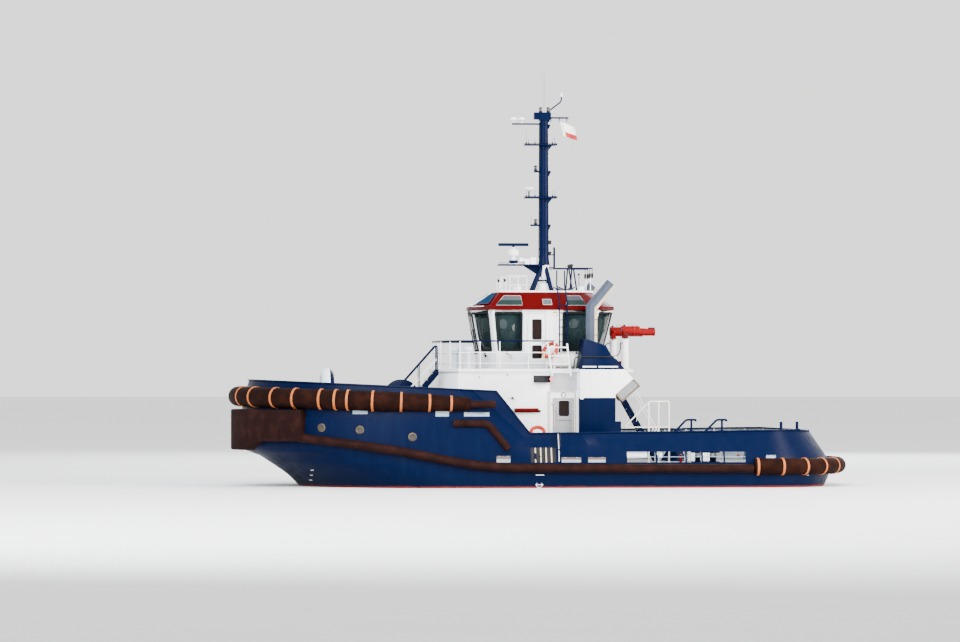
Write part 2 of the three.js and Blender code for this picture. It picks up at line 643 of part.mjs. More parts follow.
// Roof: corners at the eave and at the top
const ROOF = [
  { eave: [2700, 0], top: [1700, 0] },
  { eave: [2700, 660], top: [1700, 500] },
  { eave: [2100, 2450], top: [1600, 1700] },
  { eave: [-2280, 2450], top: [-1700, 1700] },
  { eave: [-2950, 1330], top: [-2150, 1000] },
  { eave: [-2950, 0], top: [-2150, 0] },
];
function roof() {
  const corner = ([x, y], z, shrink) => [x - Math.sign(x) * shrink, Math.max(0, y - shrink), z];
  const ring = (key, z, shrink) => ringOf(ROOF.map((c) => corner(c[key], z, shrink)));
  const rings = [["eave", EAVE, 0], ["eave", EAVE + 130, 0], ["top", ROOF_TOP, 0],
    ["top", ROOF_TOP + 40, 20]];
  return loft(rings.map(([key, z, shrink]) => ring(key, z, shrink)), true);
}

function helmConsole() {
  const z = BOAT_DECK + SEAT;
  const side = [[2050, z], [2050, 5300], [1500, 5300], [1150, 5150], [1150, 5060], [1450, 5000], [1450, z]];
  return prism("xz", side, -900, 900);
}
function chair() {
  const z = BOAT_DECK + SEAT;
  return union(
    rod([350, 0, z], [350, 0, z + 60], 260, 16), rod([350, 0, z + 50], [350, 0, z + 480], 60, 10),
    box(60, 620, -270, 270, z + 470, z + 600), box(30, 150, -260, 260, z + 590, z + 1250),
    both(box(120, 560, 280, 340, z + 750, z + 810)), both(box(250, 330, 265, 330, z + 540, z + 760)),
  );
}

// Mast with its platforms, arms and radar bracket
// Platform or arm: height, from x, to x, half-width, thickness
const MAST_ARMS = [
  [14320, -330, 950, 60, 60], [14570, -1310, -330, 50, 60], [13490, -826, 433, 330, 50],
  [11390, -826, 433, 330, 50], [12430, -600, 68, 60, 70], [10300, -600, 215, 60, 70],
];
const MAST_HEAD = { aft: -600, fore: 70, half: 150, low: 14500 };
const POLE = { x: -740, low: 8560, high: 9430, bracket: 9130 };
const LEGS = { feet: [175, -600], y: 330, radius: 85, pad: 120, head: 8900 };
function mast() {
  const floor = ROOF_TOP + 40 + SEAT;
  const column = rod([MAST_X, 0, 8800], [MAST_X, 0, MAST_TOP], 185, 12, 165);
  const { feet, y, radius, pad } = LEGS;
  const legs = both(union(feet.map((x) => rod([MAST_X, 20, LEGS.head], [x, y, floor + 20], radius))));
  const neck = rod([MAST_X, 0, 8700], [MAST_X, 0, 8950], 240, 12, 185);
  const pads = both(union(feet.map((x) => box(x - pad, x + pad, y - pad, y + pad, floor, floor + 30))));
  const arms = MAST_ARMS.map(([z, x0, x1, half, thick]) =>
    box(x0, x1, -half, half, z - thick / 2, z + thick / 2));
  const knee = [[MAST_X + 60, 8200], [500, 8690], [MAST_X + 60, 8690]];
  const radarFloor = union(box(MAST_X, 1500, -260, 260, 8690, 8750), prism("xz", knee, -40, 40));
  const cap = MAST_HEAD;
  const head = box(cap.aft, cap.fore, -cap.half, cap.half, cap.low, MAST_TOP + 30);
  const pole = union(
    rod([POLE.x, 0, POLE.low], [POLE.x, 0, POLE.high], 40),
    [POLE.low + 60, POLE.bracket].map((z) => rod([POLE.x, 0, z], [MAST_X, 0, z], 25, 6)),
  );
  const whip = rod([-280, 0, MAST_TOP - 50], [-280, 0, 16300], 14, 6);
  const crook = pipe([[-420, 0, 14600], [-470, 0, 14900], [-900, 0, 15250], [-900, 0, 15550]], 30, 6);
  const all = union(column, legs, neck, pads, arms, radarFloor, head, pole, whip, crook);
  return all.subtract(box(-3000, 3000, -WIDE, WIDE, 7000, floor));
}
const RADAR_TOP = 9420;
function radarHousing() {
  const z = 8750 + SEAT;
  return union(
    box(RADAR_X - 190, RADAR_X + 190, -170, 170, z, z + 160),
    rod([RADAR_X, 0, z + 150], [RADAR_X, 0, z + 330], 90, 14),
    solid(lathe([[0, z + 320], [190, z + 330], [215, z + 450], [190, z + 570], [60, z + 600],
      [60, RADAR_TOP], [0, RADAR_TOP]], 12).translate(RADAR_X, 0, 0)),
  );
}
function radarScanner() {
  const z = RADAR_TOP + SEAT;
  return union(rod([RADAR_X, 0, z], [RADAR_X, 0, z + 60], 50, 12),
    box(RADAR_X - 600, RADAR_X + 600, -70, 70, z + 50, z + 170));
}

// Roof rail and the frame abaft the mast
// Port side from the front: x, y of the rail's corners
const ROOF_RAIL = { corners: [[1450, 900], [1200, 1500], [530, 1500]], heights: [600, 250], radius: 15 };
function roofRail() {
  const z = ROOF_TOP + 40 + SEAT;
  const { corners, heights, radius } = ROOF_RAIL;
  const line = [...[...corners].reverse().map(([x, y]) => [x, -y]), ...corners];
  const rails = heights.map((h) => pipe(line.map(([x, y]) => [x, y, z + h]), radius, 5));
  const stands = [...corners, [870, 1500]];
  const posts = stands.map(([x, y]) => rod([x, y, z], [x, y, z + heights[0]], radius, 5));
  return union(rails, both(union(posts)));
}
const GANTRY = { z: 8580, half: 700, fore: -620, aft: -2190 };
function gantry() {
  const floor = ROOF_TOP + 40 + SEAT;
  const { z, half, fore, aft } = GANTRY;
  const leg = (foot, head) => rod([foot, half, floor - 20], [head, half, z], 32, 6);
  const bar = rod([fore, half, z], [aft, half, z], 28, 6);
  const sides = both(union(leg(-1250, -1330), leg(-1600, -1400), bar));
  const cross = rod([-1365, -half, z], [-1365, half, z], 28, 6);
  return union(sides, cross).subtract(box(-3000, 3000, -WIDE, WIDE, 7000, floor));
}

// Boat-deck rail, from the port side round the front to starboard
const RAIL_LINE = [[-350, 3330], [1800, 3330], [3350, 3330], [3960, 1780]];
function deckRail() {
  const port = RAIL_LINE;
  const line = [...port, ...[...port].reverse().map(([x, y]) => [x, -y])];
  const heights = [[RAIL_TOP, 32], [5230, 20], [4810, 20]];
  const rails = heights.map(([z, r]) => pipe(line.map(([x, y]) => [x, y, z]), r, 5));
  const stands = [...port, [680, 3330], [2570, 3330], [3660, 2540], [3960, 700]];
  const posts = stands.map(([x, y]) => rod([x, y, BOAT_DECK + SEAT], [x, y, RAIL_TOP], 24, 4));
  return union(rails, posts.map(both));
}

// Stair from the fore deck to the boat deck, on the port side
function stair() {
  const run = { x0: 5750, z0: FORE_DECK + SEAT, x1: 4110, z1: BOAT_DECK - 60 };
  const y = [1900, 2500];
  const string = [[run.x0, run.z0], [run.x0 - 230, run.z0], [run.x1, run.z1 - 130], [run.x1, run.z1 + 60],
    [run.x1 + 90, run.z1 + 60]];
  const strings = y.map((v) => prism("xz", string, v - 25, v + 25));
  const treads = spread(0.1, 0.92, 6).map((t) => {
    const x = mix(run.x0 - 60, run.x1 + 60, t);
    const z = mix(run.z0, run.z1, t) + 20;
    return box(x - 130, x + 110, y[0], y[1], z, z + 40);
  });
  const grips = y.map((v) =>
    pipe([[5560, v, 3150], [5560, v, 3980], [4160, v, 5560], [4160, v, run.z1]], 26, 6));
  return union(strings, treads, grips);
}

// Fore deck gear
function winchFrame() {
  const z = FORE_DECK + SEAT;
  const { x, halfLength } = WINCH;
  const cheek = prism("xz", [[x + 620, z], [x + 300, 3850], [x - 300, 3850], [x - 620, z]],
    halfLength + 20, halfLength + 120);
  const motor = rod([x, halfLength + 110, WINCH.z], [x, halfLength + 620, WINCH.z], 260, 18);
  const foot = box(x - 250, x + 250, halfLength + 130, halfLength + 600, z, WINCH.z - 150);
  const bed = box(x - 640, x + 640, -halfLength - 120, halfLength + 120, z, z + 120);
  const boss = rod([x, halfLength, WINCH.z], [x, halfLength + 60, WINCH.z], 120, 16);
  return union(bed, both(cheek), both(boss), motor, foot);
}
function winchDrum() {
  const { x, z, drum, flange, halfLength } = WINCH;
  const h = halfLength - SEAT;
  return union(
    rod([x, -h + 30, z], [x, h - 30, z], drum, 16), both(rod([x, h - 60, z], [x, h, z], 90, 16)),
    both(rod([x, h - 90, z], [x, h - 20, z], flange, 20)),
  );
}
function staple() {
  const z = FORE_DECK + SEAT;
  const x = 8300;
  const side = [[200, 4370], [450, 4290], [620, 4050], [620, z + 40]];
  const line = [...[...side].reverse().map(([y, h]) => [x, -y, h]), ...side.map(([y, h]) => [x, y, h])];
  return union(pipe(line, 255, 14), both(rod([x, 620, z], [x, 620, z + 60], 400, 18)));
}
function bitts(x, y, deck) {
  const z = deck + SEAT;
  const post = (px) => rod([px, y, z + 30], [px, y, z + 620], 130, 12);
  return union(box(x - 520, x + 520, y - 230, y + 230, z, z + 50), post(x - 290), post(x + 290),
    rod([x - 560, y, z + 430], [x + 560, y, z + 430], 50, 8));
}

// Aft deck gear
const CAPSTAN_X = -9600;
function capstanBase() {
  return union(rod([CAPSTAN_X, 0, MAIN_DECK - 10], [CAPSTAN_X, 0, MAIN_DECK + 90], 420, 16),
    rod([CAPSTAN_X, 0, MAIN_DECK], [CAPSTAN_X, 0, MAIN_DECK + 150], 120, 12));
}
function capstanHead() {
  const z = MAIN_DECK + 150 + SEAT;
  const profile = [[0, z], [110, z], [110, z + 20], [330, z + 30], [330, z + 110], [230, z + 190],
    [200, z + 420], [300, z + 560], [300, z + 640], [90, z + 690], [0, z + 690]];
  return solid(lathe(profile, 16).translate(CAPSTAN_X, 0, 0));
}
function towPost() {
  const z = MAIN_DECK + SEAT;
  const x = -5650;
  const post = rod([x, 430, z], [x, 430, 2250], 190, 14);
  const stay = prism("xz", [[x, z], [x + 560, z], [x, 1700]], 400, 460);
  return union(both(post), both(stay), rod([x, -700, 1900], [x, 700, 1900], 130, 12));
}
const HATCH = { x: -6600, half: 450, top: 1290 };
function hatchCoaming() {
  const { x, half, top } = HATCH;
  const z = MAIN_DECK + SEAT;
  const lug = (y) => box(x + half + 16, x + half + 84, y, y + 60, z, top + 16);
  return union(cut(box(x - half, x + half, -half, half, z, top),
    box(x - half + 60, x + half - 60, -half + 60, half - 60, z + 60, top + 10)),
    box(x + half - 20, x + half + 90, -380, 380, z, z + 60), lug(-360), lug(300));
}
function hatchLid() {
  const { x, half, top } = HATCH;
  const z = top + RUN;
  const edge = x + half;
  const pin = (y0, y1) => rod([edge + 50, y0, top], [edge + 50, y1, top], 26, 12);
  const strap = (y) => union(box(edge - 200, edge + 50, y, y + 60, z + 10, z + 45),
    box(edge + RUN, edge + 66, y, y + 60, z - RUN, z + 45));
  return union(box(x - half - 30, edge + 5, -half - 30, half + 30, z, z + 60), strap(-270), strap(210),
    pin(-300 + SEAT, -200), pin(200, 300 - SEAT));
}
function aftFrame() {
  const z = MAIN_DECK + SEAT;
  const y = 3000;
  const [fore, aft] = [-4100, -4900];
  const [top, low] = [3320, 2310];
  const posts = [fore, -4490, aft].map((x) => rod([x, y, z], [x, y, top], 30, 6));
  return union(posts, rod([fore, y, top], [aft - 10, y, top], 30), rod([-3130, y, low], [aft, y, low], 20),
    rod([fore, y, top - 30], [-3142, y, low + 10], 26));
}
function aftStair() {
  const run = { x0: -4950, z0: MAIN_DECK + SEAT, x1: -2900, z1: BOAT_DECK - 120 };
  return union(
    [-380, 380].map((y) => prism("xz",
      [[run.x0, run.z0], [run.x0 + 220, run.z0], [run.x1 + 100, run.z1], [run.x1 - 90, run.z1]],
      y - 25, y + 25)),
    spread(0.08, 0.93, 7).map((t) => {
      const x = mix(run.x0 + 110, run.x1, t);
      const z = mix(run.z0, run.z1, t);
      return box(x - 120, x + 120, -380, 380, z - 20, z + 20);
    }),
  );
}

// Fire monitors on their pedestals
const PEDESTAL_TOP = 5800;
function pedestal() {
  const { x, y } = MONITOR;
  const disc = (low, high, radius, sides = 16) => rod([x, y, low], [x, y, high], radius, sides);
  const foot = BOAT_DECK + SEAT;
  const neck = PEDESTAL_TOP - 40;
  return union(disc(foot, foot + 60, 200), disc(foot + 50, neck, 145), disc(neck - 70, neck, 170),
    disc(neck - 10, PEDESTAL_TOP, 60, 12));
}
const CHEEK = { inner: 215, outer: 265, reach: 90 };
function swivel() {
  const { x, y, z } = MONITOR;
  const { inner, outer, reach } = CHEEK;
  const low = PEDESTAL_TOP + SEAT;
  const cheek = box(x - reach, x + reach, y + inner, y + outer, low + 5, z + reach);
  return union(
    rod([x, y, low], [x, y, low + 34], 130, 14),
    box(x - reach, x + reach, y - outer, y + outer, low + 5, low + 34),
    cheek, cheek.translate(0, -inner - outer, 0),
  );
}
function barrel() {
  const { x, y, z } = MONITOR;
  const body = rod([x + 140, y, z], [x - 590, y, z], 200, 12);
  const muzzle = rod([x - 580, y, z - 40], [x - 1200, y, z - 60], 155, 12, 135);
  return union(body, muzzle, rod([x, y - CHEEK.inner + SEAT, z], [x, y + CHEEK.inner - SEAT, z], 60, 12));
}

// Other deck fittings
function vent() {
  const [x, y] = [2950, 2500];
  return union(rod([x, y, BOAT_DECK - 20], [x, y, 5300], 110, 14), rod([x, y, 5290], [x, y, 5480], 175, 16, 120));
}
function raft() {
  const z = BOAT_DECK + SEAT;
  const [y, axis] = [2960, z + 360];
  const cradle = [[y - 240, z], [y + 240, z], [y + 240, z + 120], [y, z + 60], [y - 240, z + 120]];
  return union([-350, -950].map((x) => prism("yz", cradle, x - 30, x + 30)),
    rod([-100, y, axis], [-1180, y, axis], 310, 18), box(-960, -340, y - 200, y + 200, z, z + 40));
}
function sideLadder() {
  // Fore and aft rail: x at the top and at the foot
  const rails = [[-60, -230], [-820, -960]];
  const top = { y: 3470, z: 5580 };
  const foot = { y: 3560, z: 4300 };
  const at = ([head, low], t) => [mix(head, low, t), mix(top.y, foot.y, t), mix(top.z, foot.z, t)];
  const hooks = [-190, -930].map((x) => box(x - 25, x + 25, HOUSE_HALF + 60 + SEAT, foot.y, 4500, 4540));
  return union(
    rails.map((rail) => rod(at(rail, 0), at(rail, 1), 34, 8)),
    spread(0.12, 0.88, 3).map((t) => rod(at(rails[0], t), at(rails[1], t), 26, 6)),
    hooks,
  );
}
function sidelight() {
  const y = HOUSE_HALF - 20;
  return union(box(-160, 480, y, y + 60, 4060, 4340), box(-160, 480, y, y + 240, 4060, 4090),
    box(-160, -130, y, y + 240, 4060, 4340), rod([-60, y + 105, 4080], [-60, y + 105, 4260], 60, 12));
}
function roofLadder() {
  const y = BAY_HALF + 110;
  const [fore, aft] = [-640, -950];
  return union(
    [fore, aft].map((x) => pipe([[x, y, 5000], [x, y, 7150], [x, 1650, 7850], [x, 1650, 8470]], 20, 5)),
    spread(5120, 7070, 7).map((z) => rod([fore, y, z], [aft, y, z], 14, 4)),
    [5250, 6700].map((z) => rod([fore, y, z], [fore, BAY_HALF + SEAT, z], 14, 4)),
  );
}

// Thrusters: the leg turns about z, the propeller turns about x inside the nozzle
const NOZZLE_AFT = -480; // middle of the nozzle from the leg's axis
function thruster() {
  const { x, y, z, nozzle, prop } = THRUSTER;
  const inner = prop + 30;
  const section = [[inner, -540], [inner + 60, -580], [nozzle, -380], [nozzle, 100], [nozzle - 110, 520],
    [inner + 40, 540], [inner, 250], [inner, -540]];
  const ring = solid(lathe(section, 24).rotateY(Math.PI / 2).translate(x + NOZZLE_AFT, y, z));
  const flange = rod([x, y, TRUNK_BOTTOM - SEAT], [x, y, -1780], 620, 16);
  const collar = rod([x, y, -1770], [x, y, -1950], 430, 12);
  const leg = [[x + 430, y], [x + 300, y + 150], [x - 100, y + 150], [x - 240, y], [x - 100, y - 150],
    [x + 300, y - 150]];
  const blade = prism("xy", leg, z + 100, -1900);
  const pod = [[0, -260], [250, -260], [330, -60], [330, 260], [220, 480], [0, 560]];
  const hub = solid(lathe(pod, 14).rotateY(Math.PI / 2).translate(x, y, z));
  const tip = z - inner - 60;
  const fin = [[x + 250, z - 200], [x - 150, z - 200], [x - 150, tip], [x - 20, tip]];
  const skeg = prism("xz", fin, y - 40, y + 40);
  return union(ring, flange, collar, blade, hub, skeg);
}
// Blade sections: radius, chord, pitch angle in degrees
const BLADE = [[170, 420, 58], [480, 620, 42], [800, 780, 30], [THRUSTER.prop, 800, 23]];
function propeller() {
  const { x, y, z } = THRUSTER;
  const mid = x + NOZZLE_AFT - 30;
  const nose = [[0, -520], [120, -480], [200, -300], [215, 180], [0, 180]];
  const boss = solid(lathe(nose, 12).rotateY(Math.PI / 2).translate(mid, y, z));
  const shaft = rod([mid + 170, y, z], [x - 260 - SEAT, y, z], 120, 12);
  const blades = [0, 1, 2, 3].map((k) => {
    const a = (k * Math.PI) / 2 + 0.4;
    return loft(BLADE.map(([r, chord, pitch]) => {
      const b = (pitch * Math.PI) / 180;
      return [[-0.5, 8], [0, 32], [0.5, 8], [0.5, -8], [0, -32], [-0.5, -8]].map(([c, t]) => {
        const across = c * chord * Math.cos(b) - t * Math.sin(b);
        const axial = c * chord * Math.sin(b) + t * Math.cos(b);
        const turn = a + across / r;
        return [mid + axial, y + Math.sin(turn) * r, z + Math.cos(turn) * r];
      });
    }));
  });
  return union(boss, shaft, blades);
}

// Whole tug
add("hull", hull(), "navy");
add("bulwark", bulwark(), "navy");
add("bow_fender", bowFender(), "rubber");
add("bow_block_fender", bowBlock(), "rubber");
add("stern_fender", sternFender(), "rubber");
pair("side_fender", sideFender(), "rubber");
pair("crank_fender", crankFender(), "rubber");
add("deckhouse", deckhouse(), "white");
add("boat_deck", boatDeck(), "white");
pair("deckhouse_door", doorLeaf(HOUSE_DOOR, HOUSE_HALF, [[-890, -540, 2780, 3330]]), "white");
pair("funnel_casing", casing().add(grille()), "navy");
pair("exhaust_duct", exhaust(), "steel");
add("wheelhouse", wheelhouse(), "white");
add("windows_fore", cabinGlass(true), "glass");
add("windows_aft", cabinGlass(false), "glass");
pair("wheelhouse_door", doorLeaf(CABIN_DOOR, BAY_HALF, [[60, 400, 5760, 6520], [60, 400, 5020, 5500]]),
  "white");
add("wheelhouse_roof", roof(), "red");
add("helm_console", helmConsole(), "dark");
add("helm_chair", chair(), "dark");
add("mast", mast(), "navy");
add("radar_housing", radarHousing(), "white");
add("radar_scanner", radarScanner(), "navy");
add("roof_rail", roofRail(), "white");
add("roof_gantry", gantry(), "navy");
add("boat_deck_rail", deckRail(), "white");
add("fore_stair", stair(), "navy");
add("winch_frame", winchFrame(), "white");
add("winch_drum", winchDrum(), "steel");
add("bow_staple", staple(), "white");
pair("fore_bitts", bitts(7000, 3000, FORE_DECK), "navy");
add("capstan_head", capstanHead(), "steel");
add("towing_posts", towPost(), "navy");
add("hatch_coaming", hatchCoaming(), "white");
add("hatch_lid", hatchLid(), "white");
add("aft_frame", aftFrame(), "white");
add("aft_stair", aftStair(), "dark");
pair("monitor_pedestal", pedestal(), "white");
pair("monitor_swivel", swivel(), "red");
pair("monitor_barrel", barrel(), "red");
pair("life_raft", raft(), "white");
add("side_ladder", sideLadder(), "white");
add("roof_ladder", roofLadder(), "navy");
pair("thruster", thruster(), "navy");
pair("propeller", propeller(), "bronze");

export default tug;
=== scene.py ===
import math

import bmesh
import bpy
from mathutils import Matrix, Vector


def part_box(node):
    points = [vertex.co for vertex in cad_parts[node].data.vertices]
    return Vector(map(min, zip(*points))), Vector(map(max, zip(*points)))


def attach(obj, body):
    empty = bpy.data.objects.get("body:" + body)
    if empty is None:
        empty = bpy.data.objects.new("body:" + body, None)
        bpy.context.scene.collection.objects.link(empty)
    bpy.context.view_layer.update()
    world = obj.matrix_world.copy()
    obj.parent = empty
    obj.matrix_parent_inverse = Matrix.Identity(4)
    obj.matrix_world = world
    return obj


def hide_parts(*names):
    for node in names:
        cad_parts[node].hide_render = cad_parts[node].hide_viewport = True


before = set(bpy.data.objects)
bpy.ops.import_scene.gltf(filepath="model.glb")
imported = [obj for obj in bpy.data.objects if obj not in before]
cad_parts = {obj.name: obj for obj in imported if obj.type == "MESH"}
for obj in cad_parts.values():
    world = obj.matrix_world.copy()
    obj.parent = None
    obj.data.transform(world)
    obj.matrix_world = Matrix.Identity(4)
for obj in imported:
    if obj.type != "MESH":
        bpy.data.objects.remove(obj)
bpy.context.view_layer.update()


SHIP = "ship"
# Heights of the decks and the roof, and where the fore deck steps down to the main deck
MAIN_DECK, FORE_DECK, BOAT_DECK, ROOF_TOP = 0.94, 2.72, 4.57, 7.651
DECK_STEP_X = 2.2
# Clearances that keep a dressed piece off the deck, and a moving piece off its seat
DECK_GAP, JOINT_GAP = 0.0005, 0.0003
SIDES = (("port", 1), ("starboard", -1))

# Materials


def socket(node, name):
    return next(s for s in node.inputs if s.name == name and s.enabled)


class Look:
    """A procedural material: one Principled shader with noise-driven colour, roughness and bump."""

    def __init__(self, name, rough=0.5, metal=0.0, **constants):
        self.mat = bpy.data.materials.new(name)
        self.mat.use_nodes = True
        self.tree = self.mat.node_tree
        self.shader = self.tree.nodes["Principled BSDF"]
        self.put("Roughness", rough)
        self.put("Metallic", metal)
        for key, value in constants.items():
            self.put(key.replace("_", " "), value)
        self.place = self.node("ShaderNodeTexCoord").outputs["Object"]

    def node(self, kind, **settings):
        made = self.tree.nodes.new(kind)
        for key, value in settings.items():
            setattr(made, key, value)
        return made

    def put(self, name, value):
        """Sets a shader socket to a number or links it."""
        self.link(value, self.shader.inputs[name])

    def base(self):
        """The socket that feeds the base colour."""
        return self.shader.inputs["Base Color"].links[0].from_socket

    def link(self, value, target):
        if isinstance(value, bpy.types.NodeSocket):
            self.tree.links.new(value, target)
        else:
            target.default_value = value

    def runs(self, start, streak):
        """Vertical streaks: noise drawn out along Z."""
        mapping = self.node("ShaderNodeMapping")
        mapping.inputs["Scale"].default_value = (2.2, 2.2, 0.16)
        self.tree.links.new(self.place, mapping.inputs["Vector"])
        return self.ramp(self.noise(2.2, 5.0, at=mapping.outputs["Vector"]), start, 0.78, 0.0, streak)

    def noise(self, scale, detail=4.0, rough=0.55, at=None):
        made = self.node("ShaderNodeTexNoise")
        self.tree.links.new(at or self.place, made.inputs["Vector"])
        made.inputs["Scale"].default_value = scale
        made.inputs["Detail"].default_value = detail
        made.inputs["Roughness"].default_value = rough
        return made.outputs["Fac"]

    def ramp(self, value, low, high, to_low=0.0, to_high=1.0):
        made = self.node("ShaderNodeMapRange")
        self.link(value, made.inputs["Value"])
        for key, number in (("From Min", low), ("From Max", high), ("To Min", to_low),
                            ("To Max", to_high)):
            made.inputs[key].default_value = number
        return made.outputs["Result"]

    def mix(self, share, a, b):
        made = self.node("ShaderNodeMix", data_type="RGBA")
        for name, value in (("Factor", share), ("A", a), ("B", b)):
            value = (*value, 1.0) if isinstance(value, tuple) and len(value) == 3 else value
            self.link(value, socket(made, name))
        return made.outputs[2]

    def maths(self, operation, a, b=0.0):
        made = self.node("ShaderNodeMath", operation=operation)
        self.link(a, made.inputs[0])
        self.link(b, made.inputs[1])
        return made.outputs[0]

    def axis(self, name):
        made = self.node("ShaderNodeSeparateXYZ")
        self.tree.links.new(self.place, made.inputs[0])
        return made.outputs[name]

    def bump(self, height, strength=0.3, distance=0.01, after=None):
        made = self.node("ShaderNodeBump")
        made.inputs["Strength"].default_value = strength
        made.inputs["Distance"].default_value = distance
        self.tree.links.new(height, made.inputs["Height"])
        if after is not None:
            self.tree.links.new(after, made.inputs["Normal"])
        self.tree.links.new(made.outputs["Normal"], self.shader.inputs["Normal"])
        return made.outputs["Normal"]


def painted(name, color, worn, rough, streak, coat=0.02):
    """Marine paint: blotches, faint vertical streaks, uneven plating and fine grain."""
    look = Look(name, rough, Coat_Weight=coat, Coat_Roughness=0.25, Specular_IOR_Level=0.03)
    blotch = look.ramp(look.noise(0.8, 5.0), 0.38, 0.72)
    runs = look.runs(0.5, streak)
    base = look.mix(look.maths("MULTIPLY", blotch, 0.45), color, tuple(0.82 * c for c in color))
    look.put("Base Color", look.mix(runs, base, worn))
    look.put("Roughness", look.ramp(look.noise(3.0), 0.3, 0.75, rough - 0.07, rough + 0.14))
    plating = look.bump(look.noise(1.1, 2.0), 0.35, 0.02)
    look.bump(look.noise(90.0, 3.0), 0.08, 0.002, plating)
    return look


def rubber(name, color, worn, scale=14.0):
    look = Look(name, 0.85, Specular_IOR_Level=0.04)
    scuff = look.ramp(look.noise(2.5, 6.0, 0.62), 0.44, 0.74)
    dust = look.ramp(look.noise(scale, 6.0, 0.7), 0.46, 0.72, 0.0, 0.5)
    base = look.mix(scuff, color, worn)
    look.put("Base Color", look.mix(dust, base, tuple(0.55 * c for c in color)))
    look.put("Roughness", look.ramp(look.noise(5.0), 0.3, 0.7, 0.68, 0.92))
    low = look.bump(look.noise(scale, 6.0, 0.65), 0.5, 0.012)
    look.bump(look.noise(120.0, 3.0), 0.25, 0.003, low)
    return look


def metal(name, color, dull, rough=0.35):
    look = Look(name, rough, 0.95)
    look.put("Base Color", look.mix(look.ramp(look.noise(6.0, 6.0), 0.4, 0.7), color, dull))
    look.put("Roughness", look.ramp(look.noise(9.0), 0.3, 0.7, rough - 0.08, rough + 0.2))
    look.bump(look.noise(70.0, 4.0), 0.15, 0.002)
    return look


def plain(name, color, other, rough=0.5, scale=12.0, grain=60.0, depth=0.12):
    """Two close shades mixed by noise, with a fine grain."""
    look = Look(name, rough)
    look.put("Base Color", look.mix(look.ramp(look.noise(scale, 4.0), 0.35, 0.75), color, other))
    look.bump(look.noise(grain, 3.0), depth, 0.002)
    return look


NAVY = (0.0004, 0.0032, 0.0205)
NAVY_WORN = (0.002, 0.0085, 0.030)
WHITE = (0.80, 0.82, 0.84)
WHITE_WORN = (0.58, 0.55, 0.50)
RED = (0.060, 0.0004, 0.0010)
RED_WORN = (0.045, 0.002, 0.002)
ANTIFOUL = (0.10, 0.012, 0.010)
ORANGE = (0.36, 0.085, 0.006)

# Where one colour ends and the next begins
BOOT_TOP = 0.07
BAND_LOW, BAND_HIGH = 3.47, 4.57
STAPLE_SPLIT = 8.22
ROOF_EDGE = 7.609
BLEND = 0.002


def hull_look():
    look = painted("hull_paint", NAVY, NAVY_WORN, 0.4, 0.45)
    wobble = look.ramp(look.noise(3.0), 0.3, 0.7, -0.015, 0.015)
    height = look.maths("ADD", look.axis("Z"), wobble)
    below = look.ramp(height, BOOT_TOP + 0.01, BOOT_TOP - 0.01)
    # Painted shade: the navy darkens towards the waterline, from 0.75 m down to 0.1 m.
    low_hull_shade = look.ramp(height, 0.75, 0.1, 0.0, 0.45)
    shaded_low_hull = look.mix(low_hull_shade, look.base(), (0.0006, 0.0035, 0.014))
    look.put("Base Color", look.mix(below, shaded_low_hull, ANTIFOUL))
    return look


def casing_look():
    """Navy above and below a white band."""
    look = painted("casing_paint", NAVY, NAVY_WORN, 0.38, 0.25)
    navy = look.base()
    runs = look.runs(0.52, 0.3)
    white = look.mix(runs, WHITE, WHITE_WORN)
    height = look.axis("Z")
    above = look.ramp(height, BAND_LOW - BLEND, BAND_LOW + BLEND)
    below = look.ramp(height, BAND_HIGH + BLEND, BAND_HIGH - BLEND)
    look.put("Base Color", look.mix(look.maths("MULTIPLY", above, below), navy, white))
    return look


def staple_look():
    """Pale on the fore side, navy on the aft third."""
    look = painted("staple_paint", (0.66, 0.74, 0.82), (0.50, 0.50, 0.50), 0.4, 0.3)
    aft = look.ramp(look.axis("X"), STAPLE_SPLIT + 0.005, STAPLE_SPLIT - 0.005)
    look.put("Base Color", look.mix(aft, look.base(), NAVY))
    return look


def roof_look():
    """Red slopes under a white top."""
    look = painted("roof_paint", RED, RED_WORN, 0.36, 0.25)
    white = look.ramp(look.axis("Z"), ROOF_EDGE - BLEND, ROOF_EDGE + BLEND)
    look.put("Base Color", look.mix(white, look.base(), WHITE))
    return look


def deck_look():
    look = Look("deck_paint", 0.75)
    grit = look.ramp(look.noise(55.0, 4.0, 0.7), 0.4, 0.65)
    traffic = look.ramp(look.noise(0.9, 5.0), 0.42, 0.7)
    base = look.mix(traffic, (0.060, 0.085, 0.075), (0.105, 0.125, 0.115))
    look.put("Base Color", look.mix(look.maths("MULTIPLY", grit, 0.35), base, (0.16, 0.17, 0.165)))
    look.bump(look.noise(160.0, 2.0), 0.5, 0.004)
    return look


def window_look():
    look = Look("tinted_glass", 0.03, Transmission_Weight=0.4, IOR=1.2, Specular_IOR_Level=0.25)
    look.put("Base Color", look.mix(look.ramp(look.noise(0.7), 0.3, 0.8), (0.008, 0.018, 0.020),
                                    (0.018, 0.034, 0.037)))
    look.bump(look.noise(0.9, 1.0), 0.05, 0.01)
    return look


def webbing_look():
    look = Look("fender_webbing", 0.7)
    look.put("Base Color", look.mix(look.ramp(look.noise(9.0, 5.0), 0.4, 0.75), ORANGE,
                                    (0.24, 0.06, 0.006)))
    weave = look.node("ShaderNodeTexWave", wave_type="BANDS", bands_direction="DIAGONAL")
    look.tree.links.new(look.place, weave.inputs["Vector"])
    weave.inputs["Scale"].default_value = 40.0
    look.bump(weave.outputs["Fac"], 0.4, 0.004)
    return look


def lamp_look(name, color, power):
    look = plain(name, color, tuple(0.8 * c for c in color), 0.2, scale=30.0)
    look.put("Emission Color", (*color, 1.0))
    look.put("Emission Strength", power)
    return look


